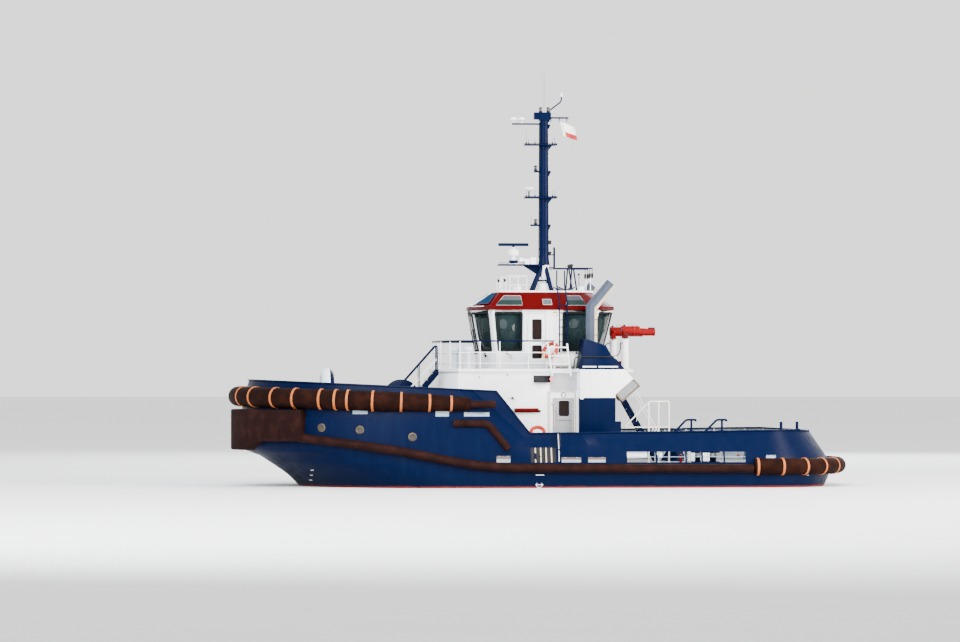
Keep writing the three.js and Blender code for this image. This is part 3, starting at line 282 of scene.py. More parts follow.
# Name, colour, worn colour, roughness, strength of the streaks[, clear coat]
PAINTS = {
    "navy": ("navy_paint", NAVY, NAVY_WORN, 0.36, 0.2),
    "white": ("white_paint", WHITE, WHITE_WORN, 0.36, 0.22),
    "inner": ("inner_bulwark_paint", (0.36, 0.40, 0.45), (0.20, 0.18, 0.16), 0.5, 0.5),
    "red": ("red_paint", RED, RED_WORN, 0.34, 0.25),
    "signal": ("signal_red_paint", (0.15, 0.002, 0.003), (0.09, 0.002, 0.003), 0.34, 0.2, 0.1),
    "grey": ("grey_paint", (0.16, 0.19, 0.23), (0.11, 0.12, 0.13), 0.45, 0.3),
    "duct": ("duct_paint", (0.055, 0.068, 0.098), (0.035, 0.036, 0.042), 0.45, 0.35),
    # Painted sunlight: a pale yellowish white, as if in the low sun, for door frames, the lower door's
    # leaf, grille bars and the exhausts' aft faces.
    "sunlit_cream": ("sunlit_cream_paint", (0.48, 0.42, 0.32), (0.26, 0.21, 0.15), 0.45, 0.3),
    "frame_grey": ("frame_paint", (0.52, 0.55, 0.58), (0.38, 0.36, 0.33), 0.4, 0.2),
    "louvre": ("louvre_paint", (0.13, 0.10, 0.08), (0.08, 0.06, 0.045), 0.55, 0.4),
    "panel": ("shaded_panel_paint", (0.36, 0.36, 0.38), (0.30, 0.30, 0.30), 0.5, 0.3),
    "flap": ("flap_paint", (0.26, 0.33, 0.40), (0.17, 0.19, 0.22), 0.5, 0.4),
    "vent": ("vent_paint", (0.62, 0.72, 0.80), (0.50, 0.54, 0.57), 0.42, 0.3),
    # Painted sunlight: white tinted yellowish, as if in the low sun.
    "sunlit_white": ("sunlit_white_paint", (0.80, 0.755, 0.665), (0.60, 0.52, 0.42), 0.38, 0.25),
    "door": ("door_paint", (0.25, 0.25, 0.27), (0.20, 0.195, 0.20), 0.42, 0.25),
}
# Name, colour, other colour[, roughness, scale of the colours, of the grain, depth of the grain]
PLAINS = {
    "skylight_blue": ("skylight_blue_glass", (0.006, 0.028, 0.066), (0.014, 0.044, 0.085), 0.45, 1.2),
    "pane_teal": ("skylight_lower_glass", (0.012, 0.024, 0.022), (0.018, 0.032, 0.030), 0.4, 1.4),
    "black": ("black_trim", (0.005, 0.005, 0.006), (0.012, 0.012, 0.014), 0.5),
    "gasket_and_shadow": ("window_gasket_and_shadow", (0.004, 0.005, 0.006), (0.009, 0.010, 0.011), 0.7),
    "soot": ("sooty_steel", (0.018, 0.012, 0.009), (0.035, 0.026, 0.020), 0.75, 5.0),
    "orange": ("lifebuoy_orange", (0.34, 0.022, 0.008), (0.27, 0.018, 0.007), 0.5),
    "yellow": ("float_yellow", (0.80, 0.45, 0.06), (0.68, 0.35, 0.05), 0.42),
    "reflect": ("reflective_tape", (0.78, 0.79, 0.80), (0.66, 0.67, 0.68), 0.3),
    "canister": ("raft_shell", (0.80, 0.80, 0.77), (0.72, 0.71, 0.67), 0.32, 5.0),
    "rope": ("towline", (0.40, 0.46, 0.50), (0.22, 0.27, 0.31), 0.85, 40.0, 220.0, 0.6),
    "seat": ("seat_leather", (0.020, 0.021, 0.024), (0.035, 0.035, 0.038), 0.5, 20.0, 300.0, 0.4),
    "lining": ("cabin_lining", (0.10, 0.098, 0.09), (0.08, 0.078, 0.07), 0.7, 2.0),
    "floor": ("cabin_floor", (0.06, 0.055, 0.05), (0.09, 0.08, 0.07), 0.6, 3.0),
    "console": ("console_laminate", (0.050, 0.055, 0.065), (0.075, 0.08, 0.09), 0.45, 8.0),
    "lens": ("clear_lens", (0.70, 0.74, 0.76), (0.60, 0.64, 0.66), 0.12),
    "green": ("green_lens", (0.02, 0.30, 0.10), (0.02, 0.22, 0.08), 0.15),
    "pane": ("door_glass", (0.010, 0.004, 0.003), (0.006, 0.003, 0.003), 0.12, 1.5),
    "skylight": ("skylight_glass", (0.050, 0.052, 0.065), (0.075, 0.070, 0.080), 0.4, 1.2),
    "deadlight": ("porthole_glass", (0.020, 0.018, 0.016), (0.035, 0.028, 0.022), 0.1, 3.0),
    "flag_white": ("flag_cloth_white", (0.80, 0.80, 0.79), (0.70, 0.70, 0.70), 0.85, 8.0, 400.0, 0.3),
    "flag_red": ("flag_cloth_red", (0.34, 0.010, 0.010), (0.27, 0.008, 0.010), 0.85, 8.0, 400.0, 0.3),
    "stage": ("studio_floor", (0.76, 0.77, 0.78), (0.74, 0.75, 0.76), 0.9, 0.2, 2.0, 0.02),
}
SPECULAR = {"skylight_blue": 0.0, "pane_teal": 0.0, "black": 0.15, "gasket_and_shadow": 0.1, "soot": 0.1,
            "orange": 0.15, "lining": 0.1, "pane": 0.15, "skylight": 0.02, "stage": 0.0}
COATED = ("lens", "green")
LOOKS = {
    "hull": hull_look(),
    "casing": casing_look(),
    "deck": deck_look(),
    "glass": window_look(),
    "webbing": webbing_look(),
    "staple": staple_look(),
    "roof": roof_look(),
    "rubber": rubber("fender_rubber", (0.0070, 0.0020, 0.0012), (0.019, 0.0055, 0.003)),
    "block": rubber("block_rubber", (0.0095, 0.0034, 0.0030), (0.022, 0.0072, 0.0058), 20.0),
    "steel": metal("worn_steel", (0.52, 0.53, 0.55), (0.28, 0.24, 0.21), 0.36),
    "brass": metal("porthole_brass", (0.10, 0.075, 0.045), (0.04, 0.035, 0.027), 0.45),
    "bronze": metal("propeller_bronze", (0.62, 0.42, 0.18), (0.30, 0.24, 0.12), 0.28),
    "screen": lamp_look("lit_screen", (0.06, 0.22, 0.30), 0.6),
    "lit_red": lamp_look("lit_red_lens", (0.95, 0.05, 0.03), 2.2),
    "lit_warm": lamp_look("lit_warm_lens", (1.0, 0.62, 0.22), 3.0),
    **{key: painted(*row) for key, row in PAINTS.items()},
    **{key: plain(*row) for key, row in PLAINS.items()},
}
for key, level in SPECULAR.items():
    LOOKS[key].put("Specular IOR Level", level)
for key in COATED:
    LOOKS[key].put("Coat Weight", 0.6)

# Forms

# Edges sharper than this angle stay sharp; vertices closer than these lengths are merged
SHARP = 35.0
MERGE, WELD = 2e-5, 1e-4


def mix(a, b, t):
    return a + (b - a) * t


def along(v, a, b):
    return (v - a) / (b - a)


def circle(count, first=0.0, turn=0.0):
    """Cosine and sine of evenly spaced angles."""
    angles = [2 * math.pi * (k + first) / count + turn for k in range(count)]
    return [(math.cos(a), math.sin(a)) for a in angles]


def oblong(w, h):
    """A rectangular section of half-width w and half-height h."""
    return [(-w, -h), (w, -h), (w, h), (-w, h)]


def turn_to(axis):
    """The rotation that brings Z to the axis."""
    return Vector((0, 0, 1)).rotation_difference(Vector(axis)).to_matrix()


def rounded(before, corner, after, radius, steps):
    """Points round one corner."""
    into, away = before - corner, after - corner
    reach = min(radius, 0.45 * into.length, 0.45 * away.length)
    a, b = corner + into.normalized() * reach, corner + away.normalized() * reach
    shares = [i / steps for i in range(steps + 1)]
    return [a * (1 - t) ** 2 + corner * 2 * t * (1 - t) + b * t ** 2 for t in shares]


def fillet(points, radius, steps=5):
    """The same polyline with each corner rounded."""
    p = [Vector(q) for q in points]
    out = [p[0]]
    for before, corner, after in zip(p, p[1:], p[2:]):
        out += rounded(before, corner, after, radius, steps)
    return out + [p[-1]]


def corner_loop(corners, radius, steps=4):
    """A closed outline through the corners, each rounded."""
    p = [Vector(c) for c in corners]
    out = []
    for before, corner, after in zip(p[-1:] + p, p, p[1:] + p[:1]):
        out += rounded(before, corner, after, radius, steps)
    return out


def add_object(name, data):
    obj = bpy.data.objects.new(name, data)
    bpy.context.scene.collection.objects.link(obj)
    return obj


class Piece:
    """Gathers closed forms, each with its own look, into one object."""

    def __init__(self, name, body=SHIP):
        self.name, self.body = name, body
        self.verts, self.faces, self.looks, self.look_of = [], [], [], []

    def add(self, verts, faces, look):
        base = len(self.verts)
        self.verts += [Vector(v) for v in verts]
        self.faces += [tuple(base + i for i in face) for face in faces]
        if look not in self.looks:
            self.looks.append(look)
        self.look_of += [self.looks.index(look)] * len(faces)

    def loft(self, rings, look, closed=False, caps=True):
        """A skin over rings of equal point count."""
        n, count = len(rings[0]), len(rings)
        verts = [p for ring in rings for p in ring]
        faces = []
        for r in range(count if closed else count - 1):
            s = (r + 1) % count
            for i in range(n):
                j = (i + 1) % n
                faces.append((r * n + i, r * n + j, s * n + j, s * n + i))
        if caps and not closed:
            faces += [tuple(range(n)), tuple(range((count - 1) * n, count * n))]
        self.add(verts, faces, look)

    def sweep(self, points, section, look, closed=False, up=(0, 0, 1)):
        """A flat section (u, v) carried along points. A function may give it by the station's number."""
        p = [Vector(q) for q in points]
        count = len(p)
        rings, side = [], Vector(up)
        for i in range(count):
            before = (p[i] - p[i - 1]).normalized() if i or closed else (p[1] - p[0]).normalized()
            after = (p[(i + 1) % count] - p[i]).normalized() if i + 1 < count or closed else before
            t = (before + after).normalized()
            v = side - t * side.dot(t)
            if v.length < 1e-3:
                v = Vector((1, 0, 0)) - t * t.x
            side = v.normalized() if not up_is_fixed(up) else Vector(up)
            v.normalize()
            u = t.cross(v)
            stretch = 1 / max(t.dot(before), 0.5)
            bend = after - before
            bend -= t * bend.dot(t)
            out = bend.normalized() if bend.length > 1e-4 else None
            ring = []
            for a, b in section(i) if callable(section) else section:
                d = u * a + v * b
                if out:
                    d += out * ((stretch - 1) * d.dot(out))
                ring.append(p[i] + d)
            rings.append(ring)
        self.loft(rings, look, closed)

    def tube(self, points, radius, look, sides=10, closed=False):
        self.sweep(points, [(radius * c, radius * s) for c, s in circle(sides, 0.5)], look, closed)

    def bar(self, a, b, wide, high, look, up=(0, 0, 1)):
        """A straight bar of rectangular section."""
        self.sweep([a, b], oblong(wide / 2, high / 2), look, up=up)

    def box(self, x0, x1, y0, y1, z0, z1, look):
        verts = [(x, y, z) for x in (x0, x1) for y in (y0, y1) for z in (z0, z1)]
        self.add(verts, [(0, 1, 3, 2), (4, 6, 7, 5), (0, 4, 5, 1), (2, 3, 7, 6), (0, 2, 6, 4),
                         (1, 5, 7, 3)], look)

    def prism(self, plane, outline, low, high, look):
        """An outline in plane xy, xz or yz, pushed along the missing axis."""
        place = {
            "xy": lambda u, v, w: (u, v, w),
            "xz": lambda u, v, w: (u, w, v),
            "yz": lambda u, v, w: (w, u, v),
        }[plane]
        self.between([place(u, v, low) for u, v in outline], [place(u, v, high) for u, v in outline],
                     look)

    def between(self, near, far, look):
        """A solid between two outlines of equal point count."""
        n = len(near)
        faces = [tuple(range(n)), tuple(range(n, 2 * n))]
        faces += [(i, (i + 1) % n, n + (i + 1) % n, n + i) for i in range(n)]
        self.add([*near, *far], faces, look)

    def lathe(self, profile, look, centre=(0, 0, 0), axis=(0, 0, 1), sides=32):
        """A profile of (radius, height) turned about an axis through centre."""
        turn, at = turn_to(axis), Vector(centre)
        rings = []
        for radius, height in profile:
            r = max(radius, 1e-4)
            rings.append([at + turn @ Vector((r * c, r * s, height)) for c, s in circle(sides)])
        self.loft(rings, look)

    def ring(self, centre, axis, radius, thick, look, sides=36, around=10):
        """A torus."""
        turn, at = turn_to(axis), Vector(centre)
        line = [at + turn @ Vector((radius * c, radius * s, 0)) for c, s in circle(sides)]
        self.tube(line, thick, look, around, closed=True)

    def ball(self, centre, radius, look, flat=1.0):
        steps = 8
        angles = [math.pi * (k / steps - 0.5) for k in range(steps + 1)]
        self.lathe([(radius * math.cos(a), radius * flat * math.sin(a)) for a in angles], look, centre,
                   sides=18)

    def slab(self, corners, thick, look):
        """A flat plate: its outer face has these corners, and it is thick towards the back."""
        p = [Vector(c) for c in corners]
        back = (p[1] - p[0]).cross(p[2] - p[1]).normalized() * -thick
        self.between(p, [q + back for q in p], look)

    def pane(self, corners, glass, rim, wide, proud, radius):
        """A rounded panel in a raised rim; corners run anticlockwise seen from outside."""
        p = [Vector(c) for c in corners]
        n = (p[1] - p[0]).cross(p[2] - p[1]).normalized()
        loop = corner_loop(p, radius)
        if glass:
            self.slab([q + n * 0.003 for q in loop], 0.012, glass)
        w = wide / 2
        self.sweep(loop, [(-w, 0), (w, 0), (w, proud), (-w, proud)], rim, closed=True, up=n)

    def mirror(self):
        """Adds the same forms on the other side."""
        n = len(self.verts)
        self.verts += [Vector((v.x, -v.y, v.z)) for v in self.verts]
        self.faces += [tuple(n + i for i in reversed(face)) for face in self.faces]
        self.look_of += self.look_of
        return self

    def bare_mesh(self):
        mesh = bpy.data.meshes.new(self.name)
        mesh.from_pydata(self.verts, [], self.faces)
        return mesh

    def done(self, replaces=(), slot=None, bevel=0.0, angle=SHARP):
        mesh = self.bare_mesh()
        for look in self.looks:
            mesh.materials.append(LOOKS[look].mat)
        mesh.polygons.foreach_set("material_index", self.look_of)
        obj = add_object(self.name, mesh)
        tidy(mesh, angle)
        if bevel:
            round_edges(obj, bevel)
        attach(obj, self.body)
        if replaces:
            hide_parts(*replaces)
        return obj


def up_is_fixed(up):
    return tuple(up) != (0, 0, 1)


def face_outwards(mesh, merge=0.0):
    """Turns the normals outwards, after merging vertices closer than merge."""
    b = bmesh.new()
    b.from_mesh(mesh)
    if merge:
        bmesh.ops.remove_doubles(b, verts=b.verts, dist=merge)
    bmesh.ops.recalc_face_normals(b, faces=b.faces)
    b.to_mesh(mesh)
    b.free()


def tidy(mesh, angle):
    """Normals outwards and smooth shading up to an angle."""
    face_outwards(mesh, MERGE)
    shade(mesh, angle)


def shade(mesh, angle):
    mesh.polygons.foreach_set("use_smooth", [True] * len(mesh.polygons))
    mesh.set_sharp_from_angle(angle=math.radians(angle))


def round_edges(obj, width):
    m = obj.modifiers.new("rounded", "BEVEL")
    m.width, m.segments, m.limit_method, m.angle_limit = width, 2, "ANGLE", math.radians(40)
    m.use_clamp_overlap = True
    m.harden_normals = True


def carve(obj, *steps):
    """Applies boolean steps (operation, tool object) and deletes the tools."""
    for operation, tool in steps:
        m = obj.modifiers.new("carve", "BOOLEAN")
        m.operation, m.object, m.solver = operation, tool, "MANIFOLD"
    evaluated = obj.evaluated_get(bpy.context.evaluated_depsgraph_get())
    mesh = bpy.data.meshes.new_from_object(evaluated)
    obj.modifiers.clear()
    obj.data = mesh
    for _, tool in steps:
        if tool.name in bpy.data.objects:
            bpy.data.objects.remove(tool)
    return obj


def tool(piece):
    """A piece's forms as a bare object for carve."""
    mesh = piece.bare_mesh()
    face_outwards(mesh)
    return add_object(piece.name, mesh)


def dress(node, look, bevel=0.006):
    """Gives a CAD node its look, with slightly rounded edges."""
    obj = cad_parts[node]
    obj.data.materials.clear()
    obj.data.materials.append(LOOKS[look].mat)
    obj.modifiers.new("weld", "WELD").merge_threshold = WELD
    if bevel:
        round_edges(obj, bevel)
    shade(obj.data, SHARP)
    return obj


def pair(node):
    return [node + "_" + side for side, _ in SIDES]


# Hull form

# Each level of the hull: height, bow end, stern end, half-breadth, bow curve from, stern curve from,
# bow roundness, stern roundness
LEVELS = [
    (-3.66, 5.2, -3.5, 0.5, 0.0, -1.5, 1.8, 2.0),
    (-3.25, 6.7, -4.7, 2.5, 0.0, -2.5, 1.8, 2.2),
    (-2.5, 7.6, -6.0, 4.0, 0.8, -3.6, 1.9, 2.6),
    (-1.85, 8.1, -6.9, 4.65, 1.5, -4.5, 1.9, 3.0),
    (-1.2, 8.55, -9.3, 5.0, 2.2, -6.5, 2.0, 3.0),
    (-0.6, 8.95, -10.7, 5.18, 2.8, -7.6, 2.0, 2.8),
    (0.0, 9.4, -11.3, 5.26, 3.4, -8.0, 2.05, 2.6),
    (0.45, 9.85, -11.56, 5.29, 4.0, -8.2, 2.1, 2.4),
    (0.77, 10.3, -11.65, 5.3, 4.4, -8.3, 2.15, 2.3),
    (0.94, 10.56, -11.65, 5.3, 4.6, -8.3, 2.2, 2.3),
    (0.95, 10.58, -11.62, 5.3, 4.6, -8.3, 2.2, 2.3),
    (1.2, 10.96, -11.45, 5.3, 4.6, -8.3, 2.2, 2.3),
    (1.4, 11.5, -11.312, 5.29, 4.6, -8.3, 2.2, 2.3),
    (1.6, 11.68, -11.168, 5.28, 4.6, -8.3, 2.2, 2.3),
    (2.26, 11.68, -10.69, 5.24, 4.6, -8.3, 2.2, 2.3),
    (2.9, 11.68, -10.62, 5.18, 4.6, -8.3, 2.2, 2.3),
    (3.3, 11.63, -10.62, 5.1, 4.6, -8.3, 2.2, 2.3),
    (4.4, 11.3, -10.62, 4.79, 4.6, -8.3, 2.2, 2.3),
]
BOW_STEPS = 40
STERN_STEPS = 26
# The bulwark's foot, and how far up its aft part leans inboard
SHELL_FOOT, LEAN_HIGH, TUMBLEHOME = 0.95, 1.31, 0.3
GATE_FORE = -0.33
HALF_BEAM = 5.3
SKEG_HALF = 0.23
# The middle of the port thruster's propeller
THR_X, THR_Y, THR_Z = -8.6, 2.6, -3.45


def knee_fore(z):
    return mix(0.88, 2.3, max(0.0, along(z, 1.27, 2.58)))


def knee_aft(z):
    return mix(-1.7, -1.2, max(0.0, along(z, 1.2, 2.0)))


def upper_row(z, levels):
    """The number of the row whose span holds the height z."""
    return max(1, next((k for k, row in enumerate(levels) if row[0] >= z), len(levels) - 1))


def level_at(z, levels=LEVELS):
    i = upper_row(z, levels)
    t = along(z, levels[i - 1][0], levels[i][0])
    return tuple(mix(a, b, t) for a, b in zip(levels[i - 1], levels[i]))


def smooth_level(z):
    """The level at z on a smooth curve through the table below the deck."""
    rows = LEVELS
    i = upper_row(z, rows)
    z0, z1 = rows[i - 1][0], rows[i][0]
    h, t = z1 - z0, along(z, z0, z1)

    def slope(k, c):
        if k <= 0 or k >= len(rows) - 1:
            return 0.0 if k >= len(rows) - 1 else (rows[1][c] - rows[0][c]) / (rows[1][0] - rows[0][0])
        a = (rows[k][c] - rows[k - 1][c]) / (rows[k][0] - rows[k - 1][0])
        b = (rows[k + 1][c] - rows[k][c]) / (rows[k + 1][0] - rows[k][0])
        return 0.0 if a * b <= 0 else 2 * a * b / (a + b)

    out = [z]
    for c in range(1, len(rows[0])):
        p0, p1 = rows[i - 1][c], rows[i][c]
        m0, m1 = slope(i - 1, c) * h, slope(i, c) * h
        out.append((2 * t**3 - 3 * t**2 + 1) * p0 + (t**3 - 2 * t**2 + t) * m0
                   + (3 * t**2 - 2 * t**3) * p1 + (t**3 - t**2) * m1)
    return tuple(out)


def port_curve(level, grow=0.0, bow_steps=BOW_STEPS):
    """The outline of one level in plan, from the bow along port to the stern."""
    z, bow, stern, half, bow_from, stern_from, bow_round, stern_round = level
    half += grow
    lean = TUMBLEHOME * min(max(z - SHELL_FOOT, 0.0), LEAN_HIGH)
    points = []
    for i in range(bow_steps + 1):
        a = i / bow_steps * math.pi / 2
        points.append((bow_from + (bow + grow - bow_from) * math.cos(a) ** (2 / bow_round),
                       half * math.sin(a) ** (2 / bow_round)))
    knee, gate = knee_fore(z), knee_aft(z)
    if z >= SHELL_FOOT:
        side = [(mix(bow_from, knee, 0.5), 0), (knee, 0), (knee - 0.6, 1), (GATE_FORE, 1),
                (GATE_FORE - 0.02, 0), (gate, 0), (gate - 0.5, 1), (mix(gate - 0.5, stern_from, 0.5), 1)]
    else:
        side = [(mix(bow_from, stern_from, i / 9), 0) for i in range(1, 9)]
    points += [(x, half - lean * leaning) for x, leaning in side]
    for i in range(STERN_STEPS + 1):
        a = i / STERN_STEPS * math.pi / 2
        points.append((stern_from - (stern_from - stern + grow) * math.sin(a) ** (2 / stern_round),
                       (half - lean) * math.cos(a) ** (2 / stern_round)))
    points[0], points[-1] = (points[0][0], 0.0), (points[-1][0], 0.0)
    return points


def side_at(x, z):
    """Half-breadth and outward direction in plan of the shell at x and z."""
    curve = port_curve(level_at(z))
    i = next((k for k in range(1, len(curve)) if curve[k][0] <= x), len(curve) - 1)
    a, b = curve[i - 1], curve[i]
    t = 0.0 if a[0] == b[0] else along(x, a[0], b[0])
    normal = Vector((b[1] - a[1], a[0] - b[0], 0.0)).normalized()
    return mix(a[1], b[1], t), normal


def hull_form(name, heights, grow=0.0, curve=level_at):
    """The hull's form between the given heights, as a closed skin."""
    rings = []
    for z in heights:
        port = port_curve(curve(z), grow)
        ring = port + [(x, -y) for x, y in reversed(port[1:-1])]
        rings.append([(x, y, z) for x, y in ring])
    piece = Piece(name)
    piece.loft(rings, "hull")
    return piece


def block(name, outline):
    """A cutter: an outline in x and z, wider than the boat."""
    piece = Piece(name)
    piece.prism("xz", outline, -WIDE, WIDE, "hull")
    return tool(piece)


# Half-breadth of the cutters, and the heights of the level lines
WIDE = 7.0
FORM_HEIGHTS = [row[0] for row in LEVELS]
SHELL_HEIGHTS = [0.9, 0.951, 1.2, 1.6, 2.0, 2.26, 2.9, 3.3, 3.8, 4.4]
SHELL_HEIGHTS_OVER = [0.85, *SHELL_HEIGHTS[1:-1], 4.5]


def shell_level(z):
    """The bulwark's levels: straight sides from the deck to 2.26 m, as in the CAD."""
    rows = [row for row in LEVELS if row[0] in (SHELL_FOOT, 2.26, 3.3, 4.4)]
    return (0.9, *rows[0][1:]) if z <= SHELL_FOOT else level_at(z, rows)


def material_by(obj, looks, choose=None):
    """Sets each face's material by its centre and normal."""
    obj.data.materials.clear()
    for look in looks:
        obj.data.materials.append(LOOKS[look].mat)
    for face in obj.data.polygons:
        face.material_index = choose(face.center, face.normal) if choose else 0


def finish_skin(obj, looks, choose, angle, node=None):
    material_by(obj, looks, choose)
    tidy(obj.data, angle)
    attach(obj, SHIP)
    if node:
        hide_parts(node)


# Spacing of the hull's level lines and the height where they end, above the fore deck
HULL_STEP, HULL_TOP = 0.13, 2.95


def make_hull():
    heights = []
    for low, high in zip(LEVELS, LEVELS[1:]):
        steps = max(1, round((high[0] - low[0]) / HULL_STEP))
        heights += [mix(low[0], high[0], i / steps) for i in range(steps)]
    heights = [z for z in heights if z < HULL_TOP]
    hull = tool(hull_form("hull_skin", heights, curve=smooth_level))
    below = [(-13, -6), (13, -6), (13, FORE_DECK), (DECK_STEP_X, FORE_DECK), (DECK_STEP_X, MAIN_DECK),
             (-13, MAIN_DECK)]
    carve(hull, ("INTERSECT", block("below", below)))
    extra = Piece("skeg")
    skeg = [(4.6, -3.5), (3.6, -4.15), (-6.1, -4.15), (-7.4, -1.5), (-3.0, -2.5)]
    rings = [[(x, y, z) for x, z in skeg] for y in (-SKEG_HALF, SKEG_HALF)]
    extra.loft(rings, "hull")
    for _, s in SIDES:
        extra.lathe([(0.8, -0.6), (0.8, 0.6)], "hull", (THR_X, s * THR_Y, -1.05), sides=48)
    mesh = extra.bare_mesh()
    face_outwards(mesh)
    b = bmesh.new()
    b.from_mesh(hull.data)
    b.from_mesh(mesh)
    b.to_mesh(hull.data)
    b.free()
    finish_skin(hull, ["hull", "deck", "inner"], hull_face_look, 28.0, "hull")


def hull_face_look(centre, normal):
    """Deck paint on the two decks, the bulwark's inner paint on the step between them."""
    if abs(normal.z) > 0.99 and min(abs(centre.z - MAIN_DECK), abs(centre.z - FORE_DECK)) < 0.01:
        return 1
    if abs(centre.x - DECK_STEP_X) < 0.01 and abs(normal.x) > 0.99 and centre.z > MAIN_DECK:
        return 2
    return 0


SHEER = [(12.5, 4.23), (11.4, 4.19), (8.3, 4.05), (2.06, 3.76), (0.79, 2.13), (-5.5, 2.19), (-9.7, 2.25),
         (-12.5, 2.09)]


def sheer(x):
    for (x0, z0), (x1, z1) in zip(SHEER, SHEER[1:]):
        if x >= x1:
            return mix(z0, z1, along(min(x, x0), x0, x1))
    return SHEER[-1][1]


# Freeing ports: from x, to x, from z, to z
PORTS = [(7.08, 7.65, 2.85, 3.05), (3.96, 4.48, 2.76, 2.96), (2.39, 3.38, 2.76, 2.92),
         (1.59, 2.14, 0.985, 1.245), (-1.15, -0.38, 0.985, 1.19), (-2.11, -1.41, 0.985, 1.19),
         (-8.76, -8.37, 1.14, 1.26)]
SLOT_ENDS = [-2.91, -4.08, -5.24, -5.87, -6.73, -7.59]
SLOT_POST = 0.03
SLOT_SPANS = [(b + SLOT_POST, a - SLOT_POST) for a, b in zip(SLOT_ENDS, SLOT_ENDS[1:])]
SLOT_LOW, SLOT_HIGH = 0.985, 1.385
GRILLE_AFT, GRILLE_PITCH, GRILLE_BARS = -0.21, 1.04 / 5, 5
GRILLE_LOW, GRILLE_HIGH = 0.985, 1.545


def shell_holes():
    holes = Piece("holes")
    spans = PORTS + [(aft, fore, SLOT_LOW, SLOT_HIGH) for aft, fore in SLOT_SPANS]
    for i in range(GRILLE_BARS):
        x = GRILLE_AFT + i * GRILLE_PITCH
        spans.append((x + 0.025, x + GRILLE_PITCH - 0.025, GRILLE_LOW, GRILLE_HIGH))
    for x0, x1, z0, z1 in spans:
        for s in (1, -1):
            y0, y1 = sorted((s * 4.2, s * 5.8))
            holes.box(x0, x1, y0, y1, z0, z1, "navy")
    return tool(holes)


def make_bulwark():
    outline = [(x, z - 0.012) for x, z in SHEER] + [(-12.5, MAIN_DECK), (DECK_STEP_X, MAIN_DECK),
                                                     (DECK_STEP_X, FORE_DECK), (12.5, FORE_DECK)]
    shell = tool(hull_form("bulwark_skin", SHELL_HEIGHTS, curve=shell_level))
    inner = tool(hull_form("inner", SHELL_HEIGHTS_OVER, -0.035, shell_level))
    carve(shell, ("DIFFERENCE", inner), ("INTERSECT", block("sheer", outline)),
          ("DIFFERENCE", shell_holes()))
    finish_skin(shell, ["navy", "inner"], bulwark_face_look, 24.0, "bulwark")


def bulwark_face_look(centre, normal):
    """The inside face looks inboard."""
    _, out = side_at(max(min(centre.x, 11.2), -10.4), min(max(centre.z, 0.96), 4.3))
    side = Vector((normal.x, abs(normal.y) if centre.y * normal.y >= 0 else -abs(normal.y), 0))
    return 1 if side.dot(out) < -0.3 else 0


def make_cap():
    """The rounded rail on the bulwark's top edge."""
    lower = [(x, z - 0.05) for x, z in reversed(SHEER)]
    cap = tool(hull_form("bulwark_cap", SHELL_HEIGHTS, 0.05, shell_level))
    inner = tool(hull_form("inner", SHELL_HEIGHTS_OVER, -0.2, shell_level))
    carve(cap, ("DIFFERENCE", inner), ("INTERSECT", block("band", SHEER + lower)))
    finish_skin(cap, ["navy"], None, 30.0)


def make_stays():
    """Plate stays inside the bulwark."""
    stays = Piece("bulwark_stays")
    thick, foot_wide, head_wide, sunk, toe = 0.014, 0.34, 0.12, 0.04, Vector((0, 0, 0.1))
    fore = [(x, FORE_DECK) for x in (11.0, 10.4, 9.7, 8.9, 8.1, 7.3, 6.5, 5.7, 4.9, 4.1, 3.3)]
    aft = [(x, MAIN_DECK) for x in (-0.29, -1.28, -2.5, -4.08, -5.24, -5.87, -6.73, -7.9, -9.2, -9.9,
                                    -10.3)]
    for x, deck in fore + aft:
        top = sheer(x) - 0.05
        foot_y, out = side_at(x, deck + 0.03)
        head_y, _ = side_at(x, top)
        tangent = Vector((-out.y, out.x, 0)) * thick / 2
        foot = Vector((x, foot_y, deck)) - out * sunk
        head = Vector((x, head_y, top)) - out * sunk
        inboard = foot - out * foot_wide
        flange = [inboard + toe, head - out * head_wide]
        ring = [foot, inboard, *flange, head]
        stays.loft([[p + tangent for p in ring], [p - tangent for p in ring]], "inner")
        stays.sweep(flange, oblong(0.03, 0.006), "inner", up=out)
    stays.mirror().done(slot="white_paint")


# Fenders

BOW_TUBE = dict(start=4.6, nose=11.8, half=5.19, roundness=2.2, end=3.17)
STERN_TUBE = dict(start=-8.3, nose=-11.95, half=5.33, roundness=2.3, end=-7.9)
BOW_RADIUS, STERN_RADIUS = 0.39, 0.32
STATION = 0.12
BOW_BANDS = [11.97, 11.53, 10.80, 9.98, 9.0, 8.38, 7.94, 6.96, 5.83, 4.77, 3.84]
STERN_BANDS = [-7.95, -9.03, -10.02, -10.83, -11.55]


def tube_height(x):
    return mix(3.25, 3.52, along(x, 3.8, 11.8))


def tube_size(x):
    """The bow fender's after ends are slimmer."""
    return min(1.0, mix(0.68, 0.96, along(x, BOW_TUBE["end"], 6.0)))


def tube_plan(start, nose, half, roundness, end, steps=44):
    """The fender's centreline in plan on the port side, from its end to the nose."""
    points = [(mix(end, start, i / 6), half) for i in range(6)]
    for i in range(steps + 1):
        a = i / steps * math.pi / 2
        y = 0.0 if i == steps else half * math.cos(a) ** (2 / roundness)
        points.append((start + (nose - start) * math.sin(a) ** (2 / roundness), y))
    return points


def evenly(points, spacing):
    """The polyline resampled at an even spacing."""
    p = [Vector(q) for q in points]
    lengths = [0.0]
    for a, b in zip(p, p[1:]):
        lengths.append(lengths[-1] + (b - a).length)
    count = max(2, round(lengths[-1] / spacing))
    out, k = [], 0
    for i in range(count + 1):
        d = lengths[-1] * i / count
        while k < len(p) - 2 and lengths[k + 1] < d:
            k += 1
        span = max(lengths[k + 1] - lengths[k], 1e-9)
        out.append(p[k].lerp(p[k + 1], min(1.0, (d - lengths[k]) / span)))
    return out


def whole_line(plan, height):
    port = [(x, y, height(x)) for x, y in plan]
    return evenly(port + [(x, -y, z) for x, y, z in reversed(port[:-1])], STATION)


